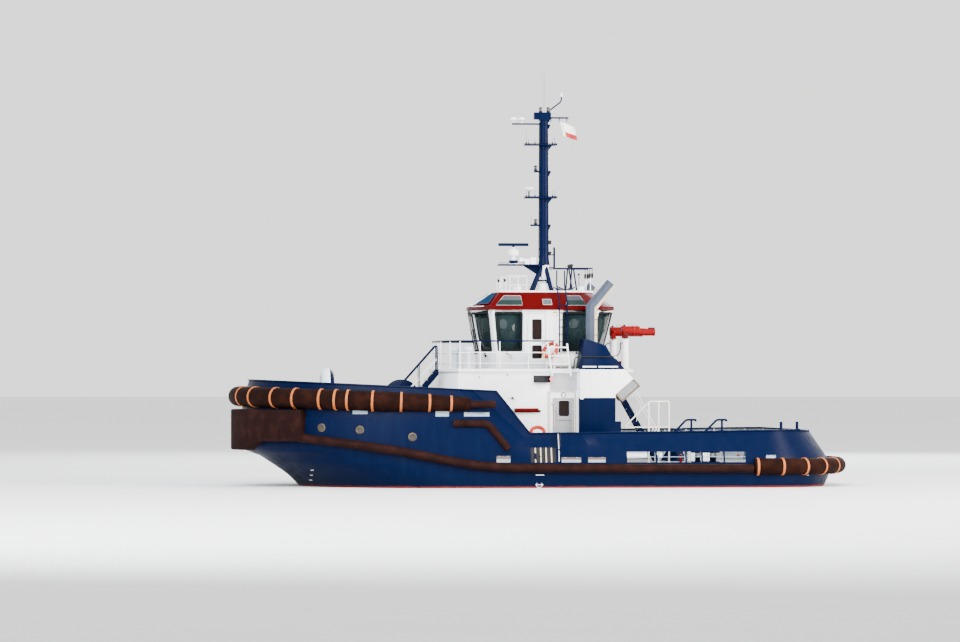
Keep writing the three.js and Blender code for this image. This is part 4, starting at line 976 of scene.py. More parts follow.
def outward(line, i):
    """At one station, the direction of the line and the one outwards in plan."""
    t = (line[i + 1] - line[i - 1]).normalized()
    out = Vector((t.y, -t.x, 0))
    inboard = out.dot(Vector((line[i].x, line[i].y, 0))) < 0
    return t, -out if inboard else out


def band_stations(line, xs, radius):
    """Numbers of the stations whose outer side lies at these x, on both sides."""
    found = []
    nose = max(range(len(line)), key=lambda i: abs(line[i].x))
    for side in (range(1, nose), range(len(line) - 2, nose, -1)):
        side = list(side)
        for x in xs:
            def gap(i):
                return abs(line[i].x + outward(line, i)[1].x * radius - x)
            found.append(min(side, key=gap))
    return sorted(set(found))


def fender_tube(name, tube, full, height, xs, node, low, high, size=lambda x: 1.0):
    """A round fender carved to fit the hull, pinched under its webbing bands."""
    line = whole_line(tube_plan(**tube), height)
    bands = band_stations(line, xs, full)

    def section(i):
        near = min(abs(i - b) for b in bands)
        radius = full * size(line[i].x) - 0.016 * math.exp(-(near / 0.9) ** 2) - 0.004
        return [(radius * c, radius * s) for c, s in circle(28)]

    body = Piece(name)
    body.sweep(line, section, "rubber")
    form = hull_form("form", [z for z in FORM_HEIGHTS if low < z < high], 0.002)
    obj = carve(tool(body), ("DIFFERENCE", tool(form)))
    finish_skin(obj, ["rubber"], None, 40.0, node)
    straps = Piece(name + "_bands")
    for b in bands:
        centre = line[b]
        t, out = outward(line, b)
        up = t.cross(out)
        up = up if up.z > 0 else -up
        reach = full * size(centre.x) + 0.008
        arc = [math.radians(a) for a in range(-118, 131, 8)]
        points = [centre + out * reach * math.cos(a) + up * reach * math.sin(a) for a in arc]
        straps.sweep(points, oblong(0.012, 0.045), "webbing", up=t)
    straps.done(slot="fender_rubber", bevel=0.004)


def make_tail():
    """The thin tails behind the bow fender."""
    tails = Piece("bow_fender_tails")
    y, z = BOW_TUBE["half"] + 0.06, tube_height(BOW_TUBE["end"]) - 0.01
    x = 2.18
    tails.lathe([(0.09, -0.012), (0.135, 0.0), (0.142, 0.03), (0.142, 1.1), (0.148, 1.18)], "block",
                (x, y, z), (1, 0, 0.01), 28)
    tails.lathe([(0.06, 0.0), (0.075, -0.01), (0.075, -0.014), (0.0, -0.014)], "black", (x, y, z),
                (1, 0, 0), 20)
    tails.mirror().done(slot="fender_rubber")


BLOCK_AFT, BLOCK_TOP, BLOCK_PROUD = 9.65, 3.01, 0.4
RIB_PITCH, RIB_DEEP = 0.14, 0.016
BLOCK_BOTTOM = [(9.0, 1.80), (9.65, 1.80), (11.25, 1.78), (11.7, 1.43), (12.6, 1.43)]


def block_bottom(x):
    for (x0, z0), (x1, z1) in zip(BLOCK_BOTTOM, BLOCK_BOTTOM[1:]):
        if x <= x1:
            return mix(z0, z1, along(x, x0, x1))
    return BLOCK_BOTTOM[-1][1]


def make_block():
    """The ribbed block fender wrapped round the bow."""
    level = level_at(2.9)
    outer = [p for p in port_curve(level, BLOCK_PROUD, 600) if p[0] > BLOCK_AFT]
    walked = [0.0]
    for a, b in zip(outer, outer[1:]):
        walked.append(walked[-1] + math.hypot(b[0] - a[0], b[1] - a[1]))
    step, picked, nearest = 0.02, [], 0.0
    for p, d in zip(outer, walked):
        if d >= nearest:
            picked.append((p, d))
            nearest += step
    picked.append(((BLOCK_AFT, picked[-1][0][1] + 0.01), walked[-1]))
    rings = []
    for (x, y), d in picked:
        rib = 0.5 + 0.5 * math.cos(2 * math.pi * d / RIB_PITCH)
        dent = RIB_DEEP * (1 - min(1.0, rib * 1.8))
        normal = Vector((x - 4.6, y * 1.6, 0)).normalized()
        low = block_bottom(x)
        face, inside, deep = (Vector((x, y, 0)) - normal * back for back in (dent, 0.42, 1.35))
        bevelled = face - normal * 0.03
        corners = [
            (face, low + 0.03), (face, BLOCK_TOP - 0.03), (bevelled, BLOCK_TOP), (inside, BLOCK_TOP),
            (inside, 2.5), (deep, low + 0.25), (deep, low), (bevelled, low),
        ]
        rings.append([at + Vector((0, 0, z)) for at, z in corners])
    both = rings[::-1] + [[Vector((p.x, -p.y, p.z)) for p in ring] for ring in rings[1:]]
    piece = Piece("bow_block_skin")
    piece.loft(both, "block")
    piece.done(replaces=("bow_block_fender",), slot="fender_rubber", angle=50.0)


SIDE_RUN = [(9.64, 1.934), (7.65, 1.69), (5.85, 1.425), (4.7, 1.2), (3.8, 1.025), (2.75, 0.855),
            (1.7, 0.79), (0.5, 0.765), (-7.84, 0.74)]
SIDE_PROUD, SIDE_HIGH = 0.33, 0.345
# Abaft this the hull's side is straight
PARALLEL_FROM = 0.9


def make_side_fender(side, s):
    stations = []
    for (x0, z0), (x1, z1) in zip(SIDE_RUN, SIDE_RUN[1:]):
        steps = max(2, round((x0 - x1) / 0.25))
        stations += [(mix(x0, x1, i / steps), mix(z0, z1, i / steps)) for i in range(steps)]
    stations.append(SIDE_RUN[-1])
    for _ in range(3):
        threes = zip(stations, stations[1:], stations[2:])
        middle = [(x1, (z0 + 2 * z1 + z2) / 4) for (_, z0), (x1, z1), (_, z2) in threes]
        stations = [stations[0], *middle, stations[-1]]
    rings = []
    for x, z in stations:
        y, out = side_at(x, z) if x > PARALLEL_FROM else (HALF_BEAM, Vector((0, 1, 0)))
        centre, half = Vector((x, y, z)), SIDE_HIGH / 2
        ring = [centre + out * -0.02 + Vector((0, 0, -half))]
        for i in range(13):
            a = math.pi * (i / 12 - 0.5)
            proud = SIDE_PROUD * (0.25 + 0.75 * math.cos(a))
            ring.append(centre + out * proud + Vector((0, 0, half * math.sin(a))))
        ring.append(centre + out * -0.02 + Vector((0, 0, half)))
        rings.append([Vector((p.x, s * p.y, p.z)) for p in ring])
    piece = Piece("side_fender_skin_" + side)
    piece.loft(rings, "block")
    piece.done(replaces=("side_fender_" + side,), slot="fender_rubber", angle=50.0)


def make_crank_fender(side, s):
    y, z = s * 5.26, 2.49
    line = fillet([(3.80, y, z), (2.48, y, z), (1.69, y, 1.51)], 0.22, 6)
    piece = Piece("crank_fender_skin_" + side)
    piece.tube(line, 0.145, "block", 24)
    for end, way in ((line[0], (1, 0, 0)), (line[-1], line[-1] - line[-2])):
        piece.lathe([(0.04, 0.0), (0.15, 0.0), (0.15, 0.012), (0.04, 0.012)], "block", end, way, 24)
    for x in (3.35, 2.72):
        piece.lathe([(0.152, -0.03), (0.152, 0.03)], "rubber", (x, y, z), (1, 0, 0), 24)
    piece.done(replaces=("crank_fender_" + side,), slot="fender_rubber", angle=40.0)


# House

# Wheelhouse corners, port side from the front: at the sill and at the window top
CABIN = [((2.35, 0.0), (2.65, 0.0)), ((2.35, 0.55), (2.65, 0.64)), ((1.82, 2.15), (1.98, 2.35)),
         ((-1.85, 2.15), (-2.18, 2.35)), ((-2.5, 1.15), (-2.9, 1.25)), ((-2.5, 0.0), (-2.9, 0.0))]
BAY_FORE, BAY_AFT, BAY_HALF = 0.76, -0.76, 2.39
SILL, WINDOW_TOP = 5.26, 6.85
# Each window: its fore corner, its aft corner, and the margins at either side
BAY_CORNERS = [((x, 2.15), (x, 2.35)) for x in (BAY_FORE, BAY_AFT)]
WINDOWS = [(CABIN[0], CABIN[1], 0.04, 0.06), (CABIN[1], CABIN[2], 0.06, 0.38),
           (CABIN[2], BAY_CORNERS[0], 0.107, 0.06), (BAY_CORNERS[1], CABIN[3], 0.06, 0.13),
           (CABIN[3], CABIN[4], 0.13, 0.06), (CABIN[4], CABIN[5], 0.06, 0.04)]


def cabin_patch(window, low, high, push=0.0, spare=0.0):
    """Four corners on the slanted wall, anticlockwise seen from outside."""
    a, b, left, right = window

    def corner(z, t):
        k = along(z, SILL, WINDOW_TOP)
        p = Vector((mix(a[0][0], a[1][0], k), mix(a[0][1], a[1][1], k), z))
        q = Vector((mix(b[0][0], b[1][0], k), mix(b[0][1], b[1][1], k), z))
        length = (q - p).length
        s = (left - spare + t * (length - left - right + 2 * spare)) / length
        out = Vector((q.y - p.y, p.x - q.x, 0)) / length
        return p.lerp(q, s) + out * push
    return [corner(low, 0), corner(low, 1), corner(high, 1), corner(high, 0)]


def make_cabin_windows():
    gaskets_and_shadow = Piece("window_gaskets_and_shadow")
    for window in WINDOWS:
        gaskets_and_shadow.pane(cabin_patch(window, 5.32, 6.80, 0.002), None, "gasket_and_shadow", 0.075, 0.018, 0.05)
        # Painted shadow from the eave: a black band behind the glass along its top, and one on the wall
        # between the window and the eave.
        gaskets_and_shadow.slab(cabin_patch(window, 6.64, 6.84, -0.13, 0.03), 0.02, "gasket_and_shadow")
        gaskets_and_shadow.slab(cabin_patch(window, 6.80, 6.96, 0.0, 0.008), 0.012, "gasket_and_shadow")
        gaskets_and_shadow.slab(cabin_patch(window, 6.585, 6.612, -0.13, 0.02), 0.012, "lens")
    gaskets_and_shadow.mirror().done(slot="dark_trim", bevel=0.004)
    wipers = Piece("window_wipers")
    for window, share in zip(WINDOWS[:4], (0.75, 0.5, 0.35, 0.6)):
        low_a, low_b, high_b, high_a = cabin_patch(window, 5.22, 6.60, 0.035)
        foot = low_a.lerp(low_b, share)
        tip = (low_a + (high_a - low_a) * 0.62).lerp(low_b + (high_b - low_b) * 0.62, share + 0.12)
        wipers.tube([foot, tip], 0.011, "black", 6)
        middle = foot.lerp(tip, 0.78)
        blade = (tip - foot).normalized() * 0.3
        wipers.tube([middle - blade, middle + blade], 0.014, "black", 6)
        wipers.ball(foot, 0.045, "black")
    wipers.mirror().done(slot="dark_trim")


def make_cabin_inside():
    inner = [(x, y) for (x, y), _ in CABIN]
    plan = [(x * 0.955, y * 0.94) for x, y in inner] + [(x * 0.955, -y * 0.94) for x, y in inner[-2:0:-1]]
    lining = Piece("cabin_lining")
    lining.prism("xy", [(x * 1.05, y * 1.03) for x, y in plan], 6.862, 6.895, "lining")
    lining.prism("xy", plan, BOAT_DECK + 0.002, BOAT_DECK + 0.02, "floor")
    lining.bar((-1.75, 0, 5.2), (-1.75, 0, 4.6), 0.5, 1.7, "console", up=(0, 1, 0))
    lining.done(slot="dark_trim", bevel=0.004)


def make_console():
    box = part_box("helm_console")
    top = box[1].z
    gear = Piece("helm_instruments")
    for y in (-0.66, -0.22, 0.22, 0.66):
        tilt = Vector((-0.3, 0, 1)).normalized()
        centre = Vector((1.58, y, top + 0.19))
        side = Vector((0, 0.19, 0))
        up = tilt * 0.15
        corners = [centre - side + up, centre + side + up, centre + side - up, centre - side - up]
        gear.pane(corners, "screen", "black", 0.05, 0.025, 0.02)
        gear.bar(centre + Vector((0.05, 0, -0.16)), centre + Vector((0.05, 0, 0.0)), 0.08, 0.06, "black")
    for y in (-0.42, 0.42):
        gear.lathe([(0.07, 0.0), (0.07, 0.05), (0.05, 0.07), (0.0, 0.075)], "black", (1.28, y, 5.19),
                   (-0.4, 0, 1), 20)
        gear.tube([(1.27, y, 5.22), (1.22, y, 5.36)], 0.014, "steel", 8)
        gear.ball((1.215, y, 5.38), 0.03, "black")
    for k in range(10):
        gear.lathe([(0.018, 0.0), (0.018, 0.016), (0.0, 0.02)], "lens" if k % 3 else "lit_red",
                   (1.36, -0.36 + k * 0.08, 5.215), (-0.35, 0, 1), 10)
    gear.done(slot="dark_trim", bevel=0.002)


def cushion(name, centre, half):
    """A crowned pad with rounded edges."""
    rows, cols, crown = 20, 32, 4.0
    verts, faces = [], []

    def power(v):
        return math.copysign(abs(v) ** (2 / crown), v)

    for i in range(rows + 1):
        a = math.pi * (i / rows - 0.5)
        for k in range(cols):
            b = 2 * math.pi * k / cols
            ring = power(math.cos(a)) if abs(math.cos(a)) > 1e-9 else 0.0
            fullness = 0.9 + 0.1 * ring
            shape = ring * power(math.cos(b)), ring * power(math.sin(b)), power(math.sin(a)) * fullness
            verts.append([c + h * v for c, h, v in zip(centre, half, shape)])
    for i in range(rows):
        for k in range(cols):
            n = (k + 1) % cols
            faces.append((i * cols + k, i * cols + n, (i + 1) * cols + n, (i + 1) * cols + k))
    pad = Piece(name)
    pad.add(verts, faces, "seat")
    obj = pad.done(slot="dark_trim", angle=60)


def make_chair():
    base = Piece("chair_frame")
    z = BOAT_DECK + 0.001
    base.lathe([(0.0, 0), (0.26, 0), (0.26, 0.03), (0.10, 0.07), (0.062, 0.1), (0.062, 0.3), (0.045, 0.3),
                (0.045, 0.46), (0.12, 0.47), (0.12, 0.485), (0.0, 0.485)], "steel", (0.35, 0, z),
               sides=28)
    base.box(0.09, 0.6, -0.24, 0.24, z + 0.475, z + 0.5, "black")
    for s in (1, -1):
        base.tube(fillet([(0.29, s * 0.25, z + 0.49), (0.29, s * 0.31, z + 0.52),
                          (0.29, s * 0.31, z + 0.76)], 0.05), 0.02, "steel", 8)
        base.box(0.13, 0.55, s * 0.31 - 0.03, s * 0.31 + 0.03, z + 0.76, z + 0.8, "seat")
    base.tube([(0.1, 0, z + 0.5), (0.075, 0, z + 1.1)], 0.03, "steel", 8)
    base.ring((0.5, 0, z + 0.2), (0, 0, 1), 0.2, 0.014, "steel")
    base.done(replaces=("helm_chair",), slot="dark_trim", bevel=0.006)
    cushion("chair_seat", (0.345, 0, z + 0.555), (0.27, 0.265, 0.055))
    cushion("chair_back", (0.1, 0, z + 0.93), (0.055, 0.25, 0.32))


DOOR_PANES = [(0.06, 0.40, 5.76, 6.52), (0.06, 0.40, 5.02, 5.50)]
HOUSE_PANE = (-0.89, -0.54, 2.78, 3.33)
CABIN_DOOR = (-0.10, 0.585, 4.83, 6.76)
HOUSE_DOOR = (-1.11, -0.27, 1.35, 3.45)
HOUSE_HALF = 3.35


def side_patch(s, x0, x1, z0, z1, y):
    """Four corners on the wall of side s, anticlockwise seen from outside."""
    corners = [Vector((x, s * y, z)) for x, z in ((x1, z0), (x0, z0), (x0, z1), (x1, z1))]
    return corners if s > 0 else corners[::-1]


def make_doors(side, s):
    make_cabin_door(side, s)
    make_house_door(side, s)
    make_door_frames(side, s)


def make_cabin_door(side, s):
    door = Piece("wheelhouse_door_trim_" + side, "wheelhouse_door_" + side)
    face = BAY_HALF + 0.006
    rail_y, rail_z = s * (face + 0.05), 5.62
    for x0, x1, z0, z1 in DOOR_PANES:
        door.pane(side_patch(s, x0, x1, z0, z1, face - 0.012), "pane", "gasket_and_shadow", 0.05, 0.024, 0.05)
    x0, x1, z0, z1 = CABIN_DOOR
    door.pane(side_patch(s, x0 + 0.07, x1 - 0.07, z0 + 0.08, z1 - 0.08, face), None, "white", 0.03, 0.006,
              0.1)
    door.tube([(x0 + 0.05, rail_y, rail_z), (x0 + 0.2, rail_y, rail_z)], 0.012, "steel", 8)
    door.lathe([(0.028, 0.0), (0.028, 0.04), (0.016, 0.055)], "steel", (x0 + 0.05, s * face, rail_z),
               (0, s, 0), 14)
    for z in (z0 + 0.36, z1 - 0.24):
        door.tube([(x1 - 0.02, s * (face + 0.045), z), (x1 + 0.036, s * (face + 0.045), z)], 0.016,
                  "white", 8)
    door.done(slot="white_paint", bevel=0.003)


def make_house_door(side, s):
    leaf = Piece("deckhouse_door_trim_" + side, "deckhouse_door_" + side)
    face = HOUSE_HALF + 0.006
    x0, x1, z0, z1 = HOUSE_PANE
    leaf.pane(side_patch(s, x0, x1, z0, z1, face - 0.012), "pane", "gasket_and_shadow", 0.055, 0.024, 0.05)
    x0, x1, z0, z1 = HOUSE_DOOR
    # Painted sunlight: the leaf's raised panel is pale yellowish, as if in the low sun.
    leaf.pane(side_patch(s, x0 + 0.06, x1 - 0.06, z0 + 0.08, z1 - 0.08, face), None, "sunlit_cream", 0.03, 0.008,
              0.12)
    for z in (1.75, 2.35, 3.0):
        for x in (x0 + 0.09, x1 - 0.1):
            leaf.lathe([(0.026, 0.0), (0.026, 0.03), (0.0, 0.036)], "steel", (x, s * face, z), (0, s, 0),
                       12)
            leaf.tube([(x, s * (face + 0.032), z), (x, s * (face + 0.032), z - 0.13)], 0.012, "steel", 6)
    ends, rail_y, rail_z = (-0.95, -0.48), s * (face + 0.06), 2.62
    leaf.tube([(x, rail_y, rail_z) for x in ends], 0.013, "steel", 8)
    for x in ends:
        leaf.tube([(x, s * face, rail_z), (x, rail_y, rail_z)], 0.011, "steel", 6)
    leaf.done(slot="white_paint", bevel=0.003)


def make_door_frames(side, s):
    """Frames round both doorways, a round sign over the lower and a drip rail over the upper."""
    frames = Piece("door_frames_" + side)
    x0, x1, z0, z1 = HOUSE_DOOR
    # Painted sunlight: the lower doorway's frame is pale yellowish, as if in the low sun.
    frames.pane(side_patch(s, x0 - 0.045, x1 + 0.16, 0.98, 3.71, HOUSE_HALF + 0.001), None, "sunlit_cream", 0.05,
                0.03, 0.08)
    frames.ring((-0.70, s * (HOUSE_HALF + 0.012), 3.575), (0, s, 0), 0.085, 0.016, "red", 28, 8)
    frames.lathe([(0.0, 0.0), (0.075, 0.0), (0.075, 0.012), (0.0, 0.012)], "white",
                 (-0.70, s * HOUSE_HALF, 3.575), (0, s, 0), 24)
    x0, x1, z0, z1 = CABIN_DOOR
    frames.pane(side_patch(s, x0 - 0.03, x1 + 0.1, z0 - 0.03, z1 + 0.03, BAY_HALF + 0.001), None, "white",
                0.04, 0.03, 0.05)
    frames.bar((0.68, s * (BAY_HALF + 0.05), 6.86), (-0.2, s * (BAY_HALF + 0.05), 6.86), 0.1, 0.02,
               "white")
    frames.done(slot="white_paint", bevel=0.003)


# Roof

# Roof corners, port side from the front: at the eave and at the top
ROOF = [((2.70, 0.0), (1.70, 0.0)), ((2.70, 0.66), (1.70, 0.50)), ((2.10, 2.45), (1.60, 1.70)),
        ((-2.28, 2.45), (-1.7, 1.7)), ((-2.95, 1.33), (-2.15, 1.0)), ((-2.95, 0.0), (-2.15, 0.0))]
SLOPE_FOOT, SLOPE_HEAD = 7.04, 7.61
# From a skylight's glass to the darker pane on its lower half
LIFT = Vector((0.0, 0.012, 0.016))


def roof_patch(face, foot, head, v0, v1, push=0.004):
    """Four corners on one roof slope, by share along its foot, along its head and up it."""
    (a, d), (b, c) = ROOF[face], ROOF[face + 1]

    def at(u, v):
        low = Vector((mix(a[0], b[0], u), mix(a[1], b[1], u), SLOPE_FOOT))
        high = Vector((mix(d[0], c[0], u), mix(d[1], c[1], u), SLOPE_HEAD))
        return low.lerp(high, v)
    corners = [at(foot[0], v0), at(foot[1], v0), at(head[1], v1), at(head[0], v1)]
    n = (corners[1] - corners[0]).cross(corners[2] - corners[1]).normalized()
    return [p + n * push for p in corners]


def on_side_slope(x, z, push=0.004):
    k = along(z, SLOPE_FOOT, SLOPE_HEAD)
    return Vector((x, mix(2.45, 1.7, k) + push, z + push))


def roof_line(k, z):
    """The roof's outline at height z: its eave (k = 0) or its top edge (k = 1)."""
    port = [corner[k] for corner in ROOF]
    return [(x, y, z) for x, y in port] + [(x, -y, z) for x, y in port[-2:0:-1]]


def make_skylights():
    glass = Piece("skylights")
    glass.pane(roof_patch(0, (0.08, 0.86), (0.08, 0.86), 0.12, 0.88), "skylight", "white", 0.03, 0.016,
               0.05)
    glass.pane(roof_patch(1, (0.20, 0.90), (0.10, 0.75), 0.12, 0.88, 0.05), "skylight_blue", "roof", 0.02,
               0.012, 0.04)
    for foot_fore, foot_aft, head_aft, head_fore in ((1.85, 0.80, 0.82, 1.48),
                                                     (-0.92, -1.72, -1.52, -1.0)):
        places = ((foot_fore, 7.08), (foot_aft, 7.08), (head_aft, 7.46), (head_fore, 7.46))
        corners = [on_side_slope(x, z) for x, z in places]
        glass.pane(corners, "skylight", "panel", 0.016, 0.012, 0.04)
        lower = [*corners[:2], corners[1].lerp(corners[2], 0.5), corners[0].lerp(corners[3], 0.5)]
        glass.slab([corner + LIFT for corner in lower], 0.004, "pane_teal")
    for k in range(4):
        z = 7.13 + k * 0.045
        glass.bar(on_side_slope(-0.05, z, 0.01), on_side_slope(-0.33, z, 0.01), 0.03, 0.02, "grey")
    grille = [on_side_slope(x, z) for x, z in ((-0.02, 7.1), (-0.36, 7.1), (-0.36, 7.31), (-0.02, 7.31))]
    glass.pane(grille, "black", "panel", 0.02, 0.02, 0.02)
    glass.mirror().done(slot="window_glass", bevel=0.002)
    trim = Piece("roof_trim")
    eave, top = roof_line(0, 7.035), roof_line(1, 7.64)
    trim.tube(corner_loop(eave, 0.08), 0.018, "red", 8, closed=True)
    trim.sweep(corner_loop(top, 0.1), [(-0.025, -0.03), (0.03, -0.03), (0.03, 0.035), (-0.025, 0.035)],
               "white", closed=True)
    for s in (1, -1):
        trim.tube([(2.70, s * 0.66, 7.045), (1.70, s * 0.50, 7.615)], 0.022, "white", 8)
        edge = [Vector((2.70, s * 0.66, 7.05)), Vector((2.10, s * 2.45, 7.05))]
        trim.tube([edge[0].lerp(edge[1], 0.1), edge[0].lerp(edge[1], 0.7)], 0.02, "white", 8)
    trim.done(slot="white_paint", bevel=0.004)


def make_roof_rail():
    rail = Piece("roof_rail_skin")
    z = ROOF_TOP
    side = [(1.45, 0.9), (1.2, 1.5), (0.53, 1.5)]
    line = [(x, -y) for x, y in reversed(side)] + side
    for h, r in ((0.6, 0.016), (0.25, 0.012)):
        rail.tube(fillet([(x, y, z + h) for x, y in line], 0.12), r, "white", 10)
    for x, y in [*side, (0.87, 1.5)]:
        for s in (1, -1):
            rail.tube([(x, s * y, z), (x, s * y, z + 0.6)], 0.015, "white", 10)
            rail.lathe([(0.04, 0.0), (0.04, 0.012), (0.018, 0.02)], "white", (x, s * y, z), sides=14)
    rail.done(replaces=("roof_rail",), slot="white_paint")
    stand = Piece("roof_lamp_stand")
    stand.box(1.05, 1.33, -1.2, -0.92, z, z + 0.5, "white")
    stand.box(1.04, 1.34, -1.21, -0.91, z + 0.5, z + 0.53, "white")
    stand.box(1.08, 1.30, -0.925, -0.915, z + 0.06, z + 0.44, "frame_grey")
    for x, y in ((1.50, 0.0), (1.34, 0.78)):
        stand.tube([(x - 0.05, y, z), (x - 0.05, y, z + 0.42)], 0.014, "white", 8)
        flood(stand, (x, y, z + 0.44), (1, 0.1, -0.2), 0.07)
    stand.done(slot="white_paint", bevel=0.004)


def lamp_on_post(piece, foot):
    """A round floodlight on a short post, looking aft and down."""
    top = Vector(foot) + Vector((0, 0, 0.1))
    piece.tube([foot, top], 0.018, "white", 8)
    axis = Vector((-1, 0, -0.35)).normalized()
    piece.lathe([(0.0, -0.09), (0.045, -0.085), (0.08, -0.03), (0.085, 0.04), (0.078, 0.05)], "black",
                top, axis, 18)
    piece.lathe([(0.0, 0.046), (0.074, 0.046), (0.07, 0.054), (0.0, 0.058)], "lens", top, axis, 18)


def make_gantry():
    """The frame abaft the mast, with its lamps."""
    frame_ = Piece("roof_gantry_skin")
    floor, z, half = 7.65, 8.58, 0.7
    for s in (1, -1):
        y = s * half
        for foot, head in ((-1.28, -1.36), (-1.56, -1.42)):
            frame_.tube([(foot, y, floor), (head, y, z)], 0.03, "navy", 12)
            frame_.lathe([(0.06, 0.0), (0.06, 0.014), (0.034, 0.022)], "navy", (foot, y, floor), sides=16)
        frame_.tube([(-0.62, y, z), (-1.39, y, z)], 0.018, "navy", 12)
        frame_.tube([(-1.37, y, z), (-2.19, y, z)], 0.028, "navy", 12)
        sag = [(-0.79 - 0.695 * t / 10, y, 7.86 - 0.03 * t / 10 - 0.11 * math.sin(math.pi * t / 10))
               for t in range(11)]
        frame_.tube(sag, 0.02, "navy", 10)
        frame_.tube([(-0.79, y, floor), (-0.79, y, 7.87)], 0.014, "navy", 8)
        for x in (-2.07, -2.17):
            frame_.tube([(x, y, z), (x, y, 8.38)], 0.012, "navy", 8)
            pot = [(0.0, 0.0), (0.04, 0.005), (0.045, 0.11), (0.045, 0.17), (0.02, 0.2), (0.0, 0.2)]
            frame_.lathe(pot, "black", (x, y, 8.19), sides=16)
        frame_.tube([(-2.1, y, floor), (-2.1, y, 8.22)], 0.018, "white", 10)
    frame_.tube([(-1.64, 0.7, floor), (-1.64, 0.7, 8.30)], 0.014, "navy", 8)
    flood(frame_, (-1.64, 0.7, 8.33), (-1, 0, -0.2), 0.05)
    frame_.tube([(-1.39, -half, z), (-1.39, half, z)], 0.027, "navy", 12)
    for y in (-0.35, 0.0, 0.35):
        lamp_on_post(frame_, (-1.39, y, z))
    frame_.done(replaces=("roof_gantry",), slot="navy_paint")


def make_roof_gear():
    """Vents, boxes and the mast's foot on the roof."""
    gear = Piece("roof_gear")
    gear.box(-0.65, 0.14, -0.34, 0.34, ROOF_TOP, 7.70, "black")
    gear.lathe([(0.0, 0.0), (0.29, 0.0), (0.29, 0.03), (0.25, 0.08), (0.24, 0.22), (0.21, 0.28),
                (0.12, 0.30), (0.0, 0.30)], "white", (-0.31, 0.0, 7.70), sides=40)
    gear.lathe([(0.0, 0.0), (0.08, 0.0), (0.13, 0.32), (0.205, 0.72), (0.218, 0.79), (0.20, 0.81),
                (0.0, 0.81)], "white", (-0.335, 0.0, 8.03), sides=32)
    for y in (0.62, -0.62):
        gear.lathe([(0.0, 0.0), (0.1, 0.0), (0.11, 0.04), (0.11, 0.16), (0.06, 0.24), (0.0, 0.25)],
                   "white", (0.75, y, ROOF_TOP), sides=24)
    gear.box(-1.95, -1.68, -0.45, 0.05, ROOF_TOP, 7.88, "white")
    gear.box(-1.2, -0.95, -1.35, -0.95, ROOF_TOP, 7.84, "grey")
    gear.done(slot="white_paint", bevel=0.012)


# Mast

MAST_X = -0.33
# Platforms: height, from x, to x, half-width, thickness
MAST_ARMS = [(14.32, -0.33, 0.95, 0.06, 0.06), (14.57, -1.31, -0.33, 0.05, 0.06),
             (13.49, -0.826, 0.433, 0.33, 0.05), (11.39, -0.826, 0.433, 0.33, 0.05),
             (12.43, -0.60, 0.068, 0.06, 0.07), (10.30, -0.60, 0.215, 0.06, 0.07)]


def make_mast():
    m = Piece("mast_skin")
    profile = [(0.24, 8.72), (0.212, 8.86), (0.19, 9.1), (0.188, 10.2), (0.183, 11.5), (0.176, 13.0),
               (0.168, 14.5)]
    m.lathe(profile, "navy", (MAST_X, 0, 0), sides=36)
    for z in (9.35, 10.27, 11.36, 12.40, 13.46, 14.3):
        r = mix(0.192, 0.172, along(z, 9.0, 14.5)) + 0.012
        m.lathe([(r - 0.02, z - 0.05), (r, z - 0.04), (r, z + 0.03), (r - 0.02, z + 0.04)], "navy",
                (MAST_X, 0, 0), sides=36)
    m.box(-0.60, 0.07, -0.15, 0.15, 14.5, 14.78, "navy")
    m.box(-0.52, -0.14, -0.19, 0.19, 14.45, 14.74, "navy")
    for s in (1, -1):
        for x in (0.175, -0.6):
            m.tube([(MAST_X, s * 0.03, 8.9), (x, s * 0.33, 7.655)], 0.082, "navy", 16)
            m.box(x - 0.12, x + 0.12, s * 0.33 - 0.12, s * 0.33 + 0.12, ROOF_TOP, 7.68, "navy")
        m.tube([(0.0, s * 0.22, 8.1), (-0.505, s * 0.22, 8.1)], 0.03, "navy", 10)
    for z, x0, x1, half, thick in MAST_ARMS:
        m.box(x0, x1, -half, half, z - thick / 2, z + thick / 2, "navy")
        if half > 0.3:
            corners = ((x0, -half), (x1, -half), (x1, half), (x0, half))
            m.tube(corner_loop([(x, y, z + 0.05) for x, y in corners], 0.05), 0.012, "navy", 6,
                   closed=True)
            bracket = [(-0.47, z - 0.02), (-0.64, z - 0.02), (-0.5, z - 0.2), (-0.47, z - 0.26)]
            for y in (-half + 0.04, half - 0.04):
                m.prism("xz", bracket, y - 0.006, y + 0.006, "navy")
        else:
            bracket = [(-0.47, z - 0.02), (-0.6, z - 0.02), (-0.54, z - 0.17), (-0.47, z - 0.22)]
            m.prism("xz", bracket, -0.02, 0.02, "navy")
    m.box(MAST_X, 1.5, -0.26, 0.26, 8.69, 8.75, "navy")
    m.prism("xz", [(-0.27, 8.2), (0.5, 8.69), (-0.27, 8.69)], -0.04, 0.04, "navy")
    m.tube([(0.9, 0.22, 8.75), (0.9, 0.22, 8.8), (1.49, 0.22, 8.8)], 0.012, "navy", 6)
    m.tube([(-0.74, 0, 8.56), (-0.74, 0, 9.43)], 0.04, "navy", 14)
    for z in (8.62, 9.13):
        m.tube([(-0.74, 0, z), (MAST_X, 0, z)], 0.025, "navy", 8)
    m.tube([(-0.34, 0, 14.7), (-0.34, 0, 16.3)], 0.012, "grey", 8)
    m.tube(fillet([(-0.42, 0, 14.6), (-0.5, 0, 14.82), (-1.02, 0, 15.22), (-1.03, 0, 15.42)], 0.12),
           0.028, "navy", 10)
    m.tube([(MAST_X + 0.2, -0.09, 9.0), (MAST_X + 0.175, -0.085, 14.4)], 0.016, "black", 6)
    step = ((-0.2, -0.2), (-0.2, -0.30), (-0.45, -0.30), (-0.45, -0.2))
    for k in range(17):
        m.tube([(x, y, 9.2 + k * 0.3) for x, y in step], 0.010, "navy", 6)
    m.done(replaces=("mast",), slot="navy_paint", bevel=0.006)


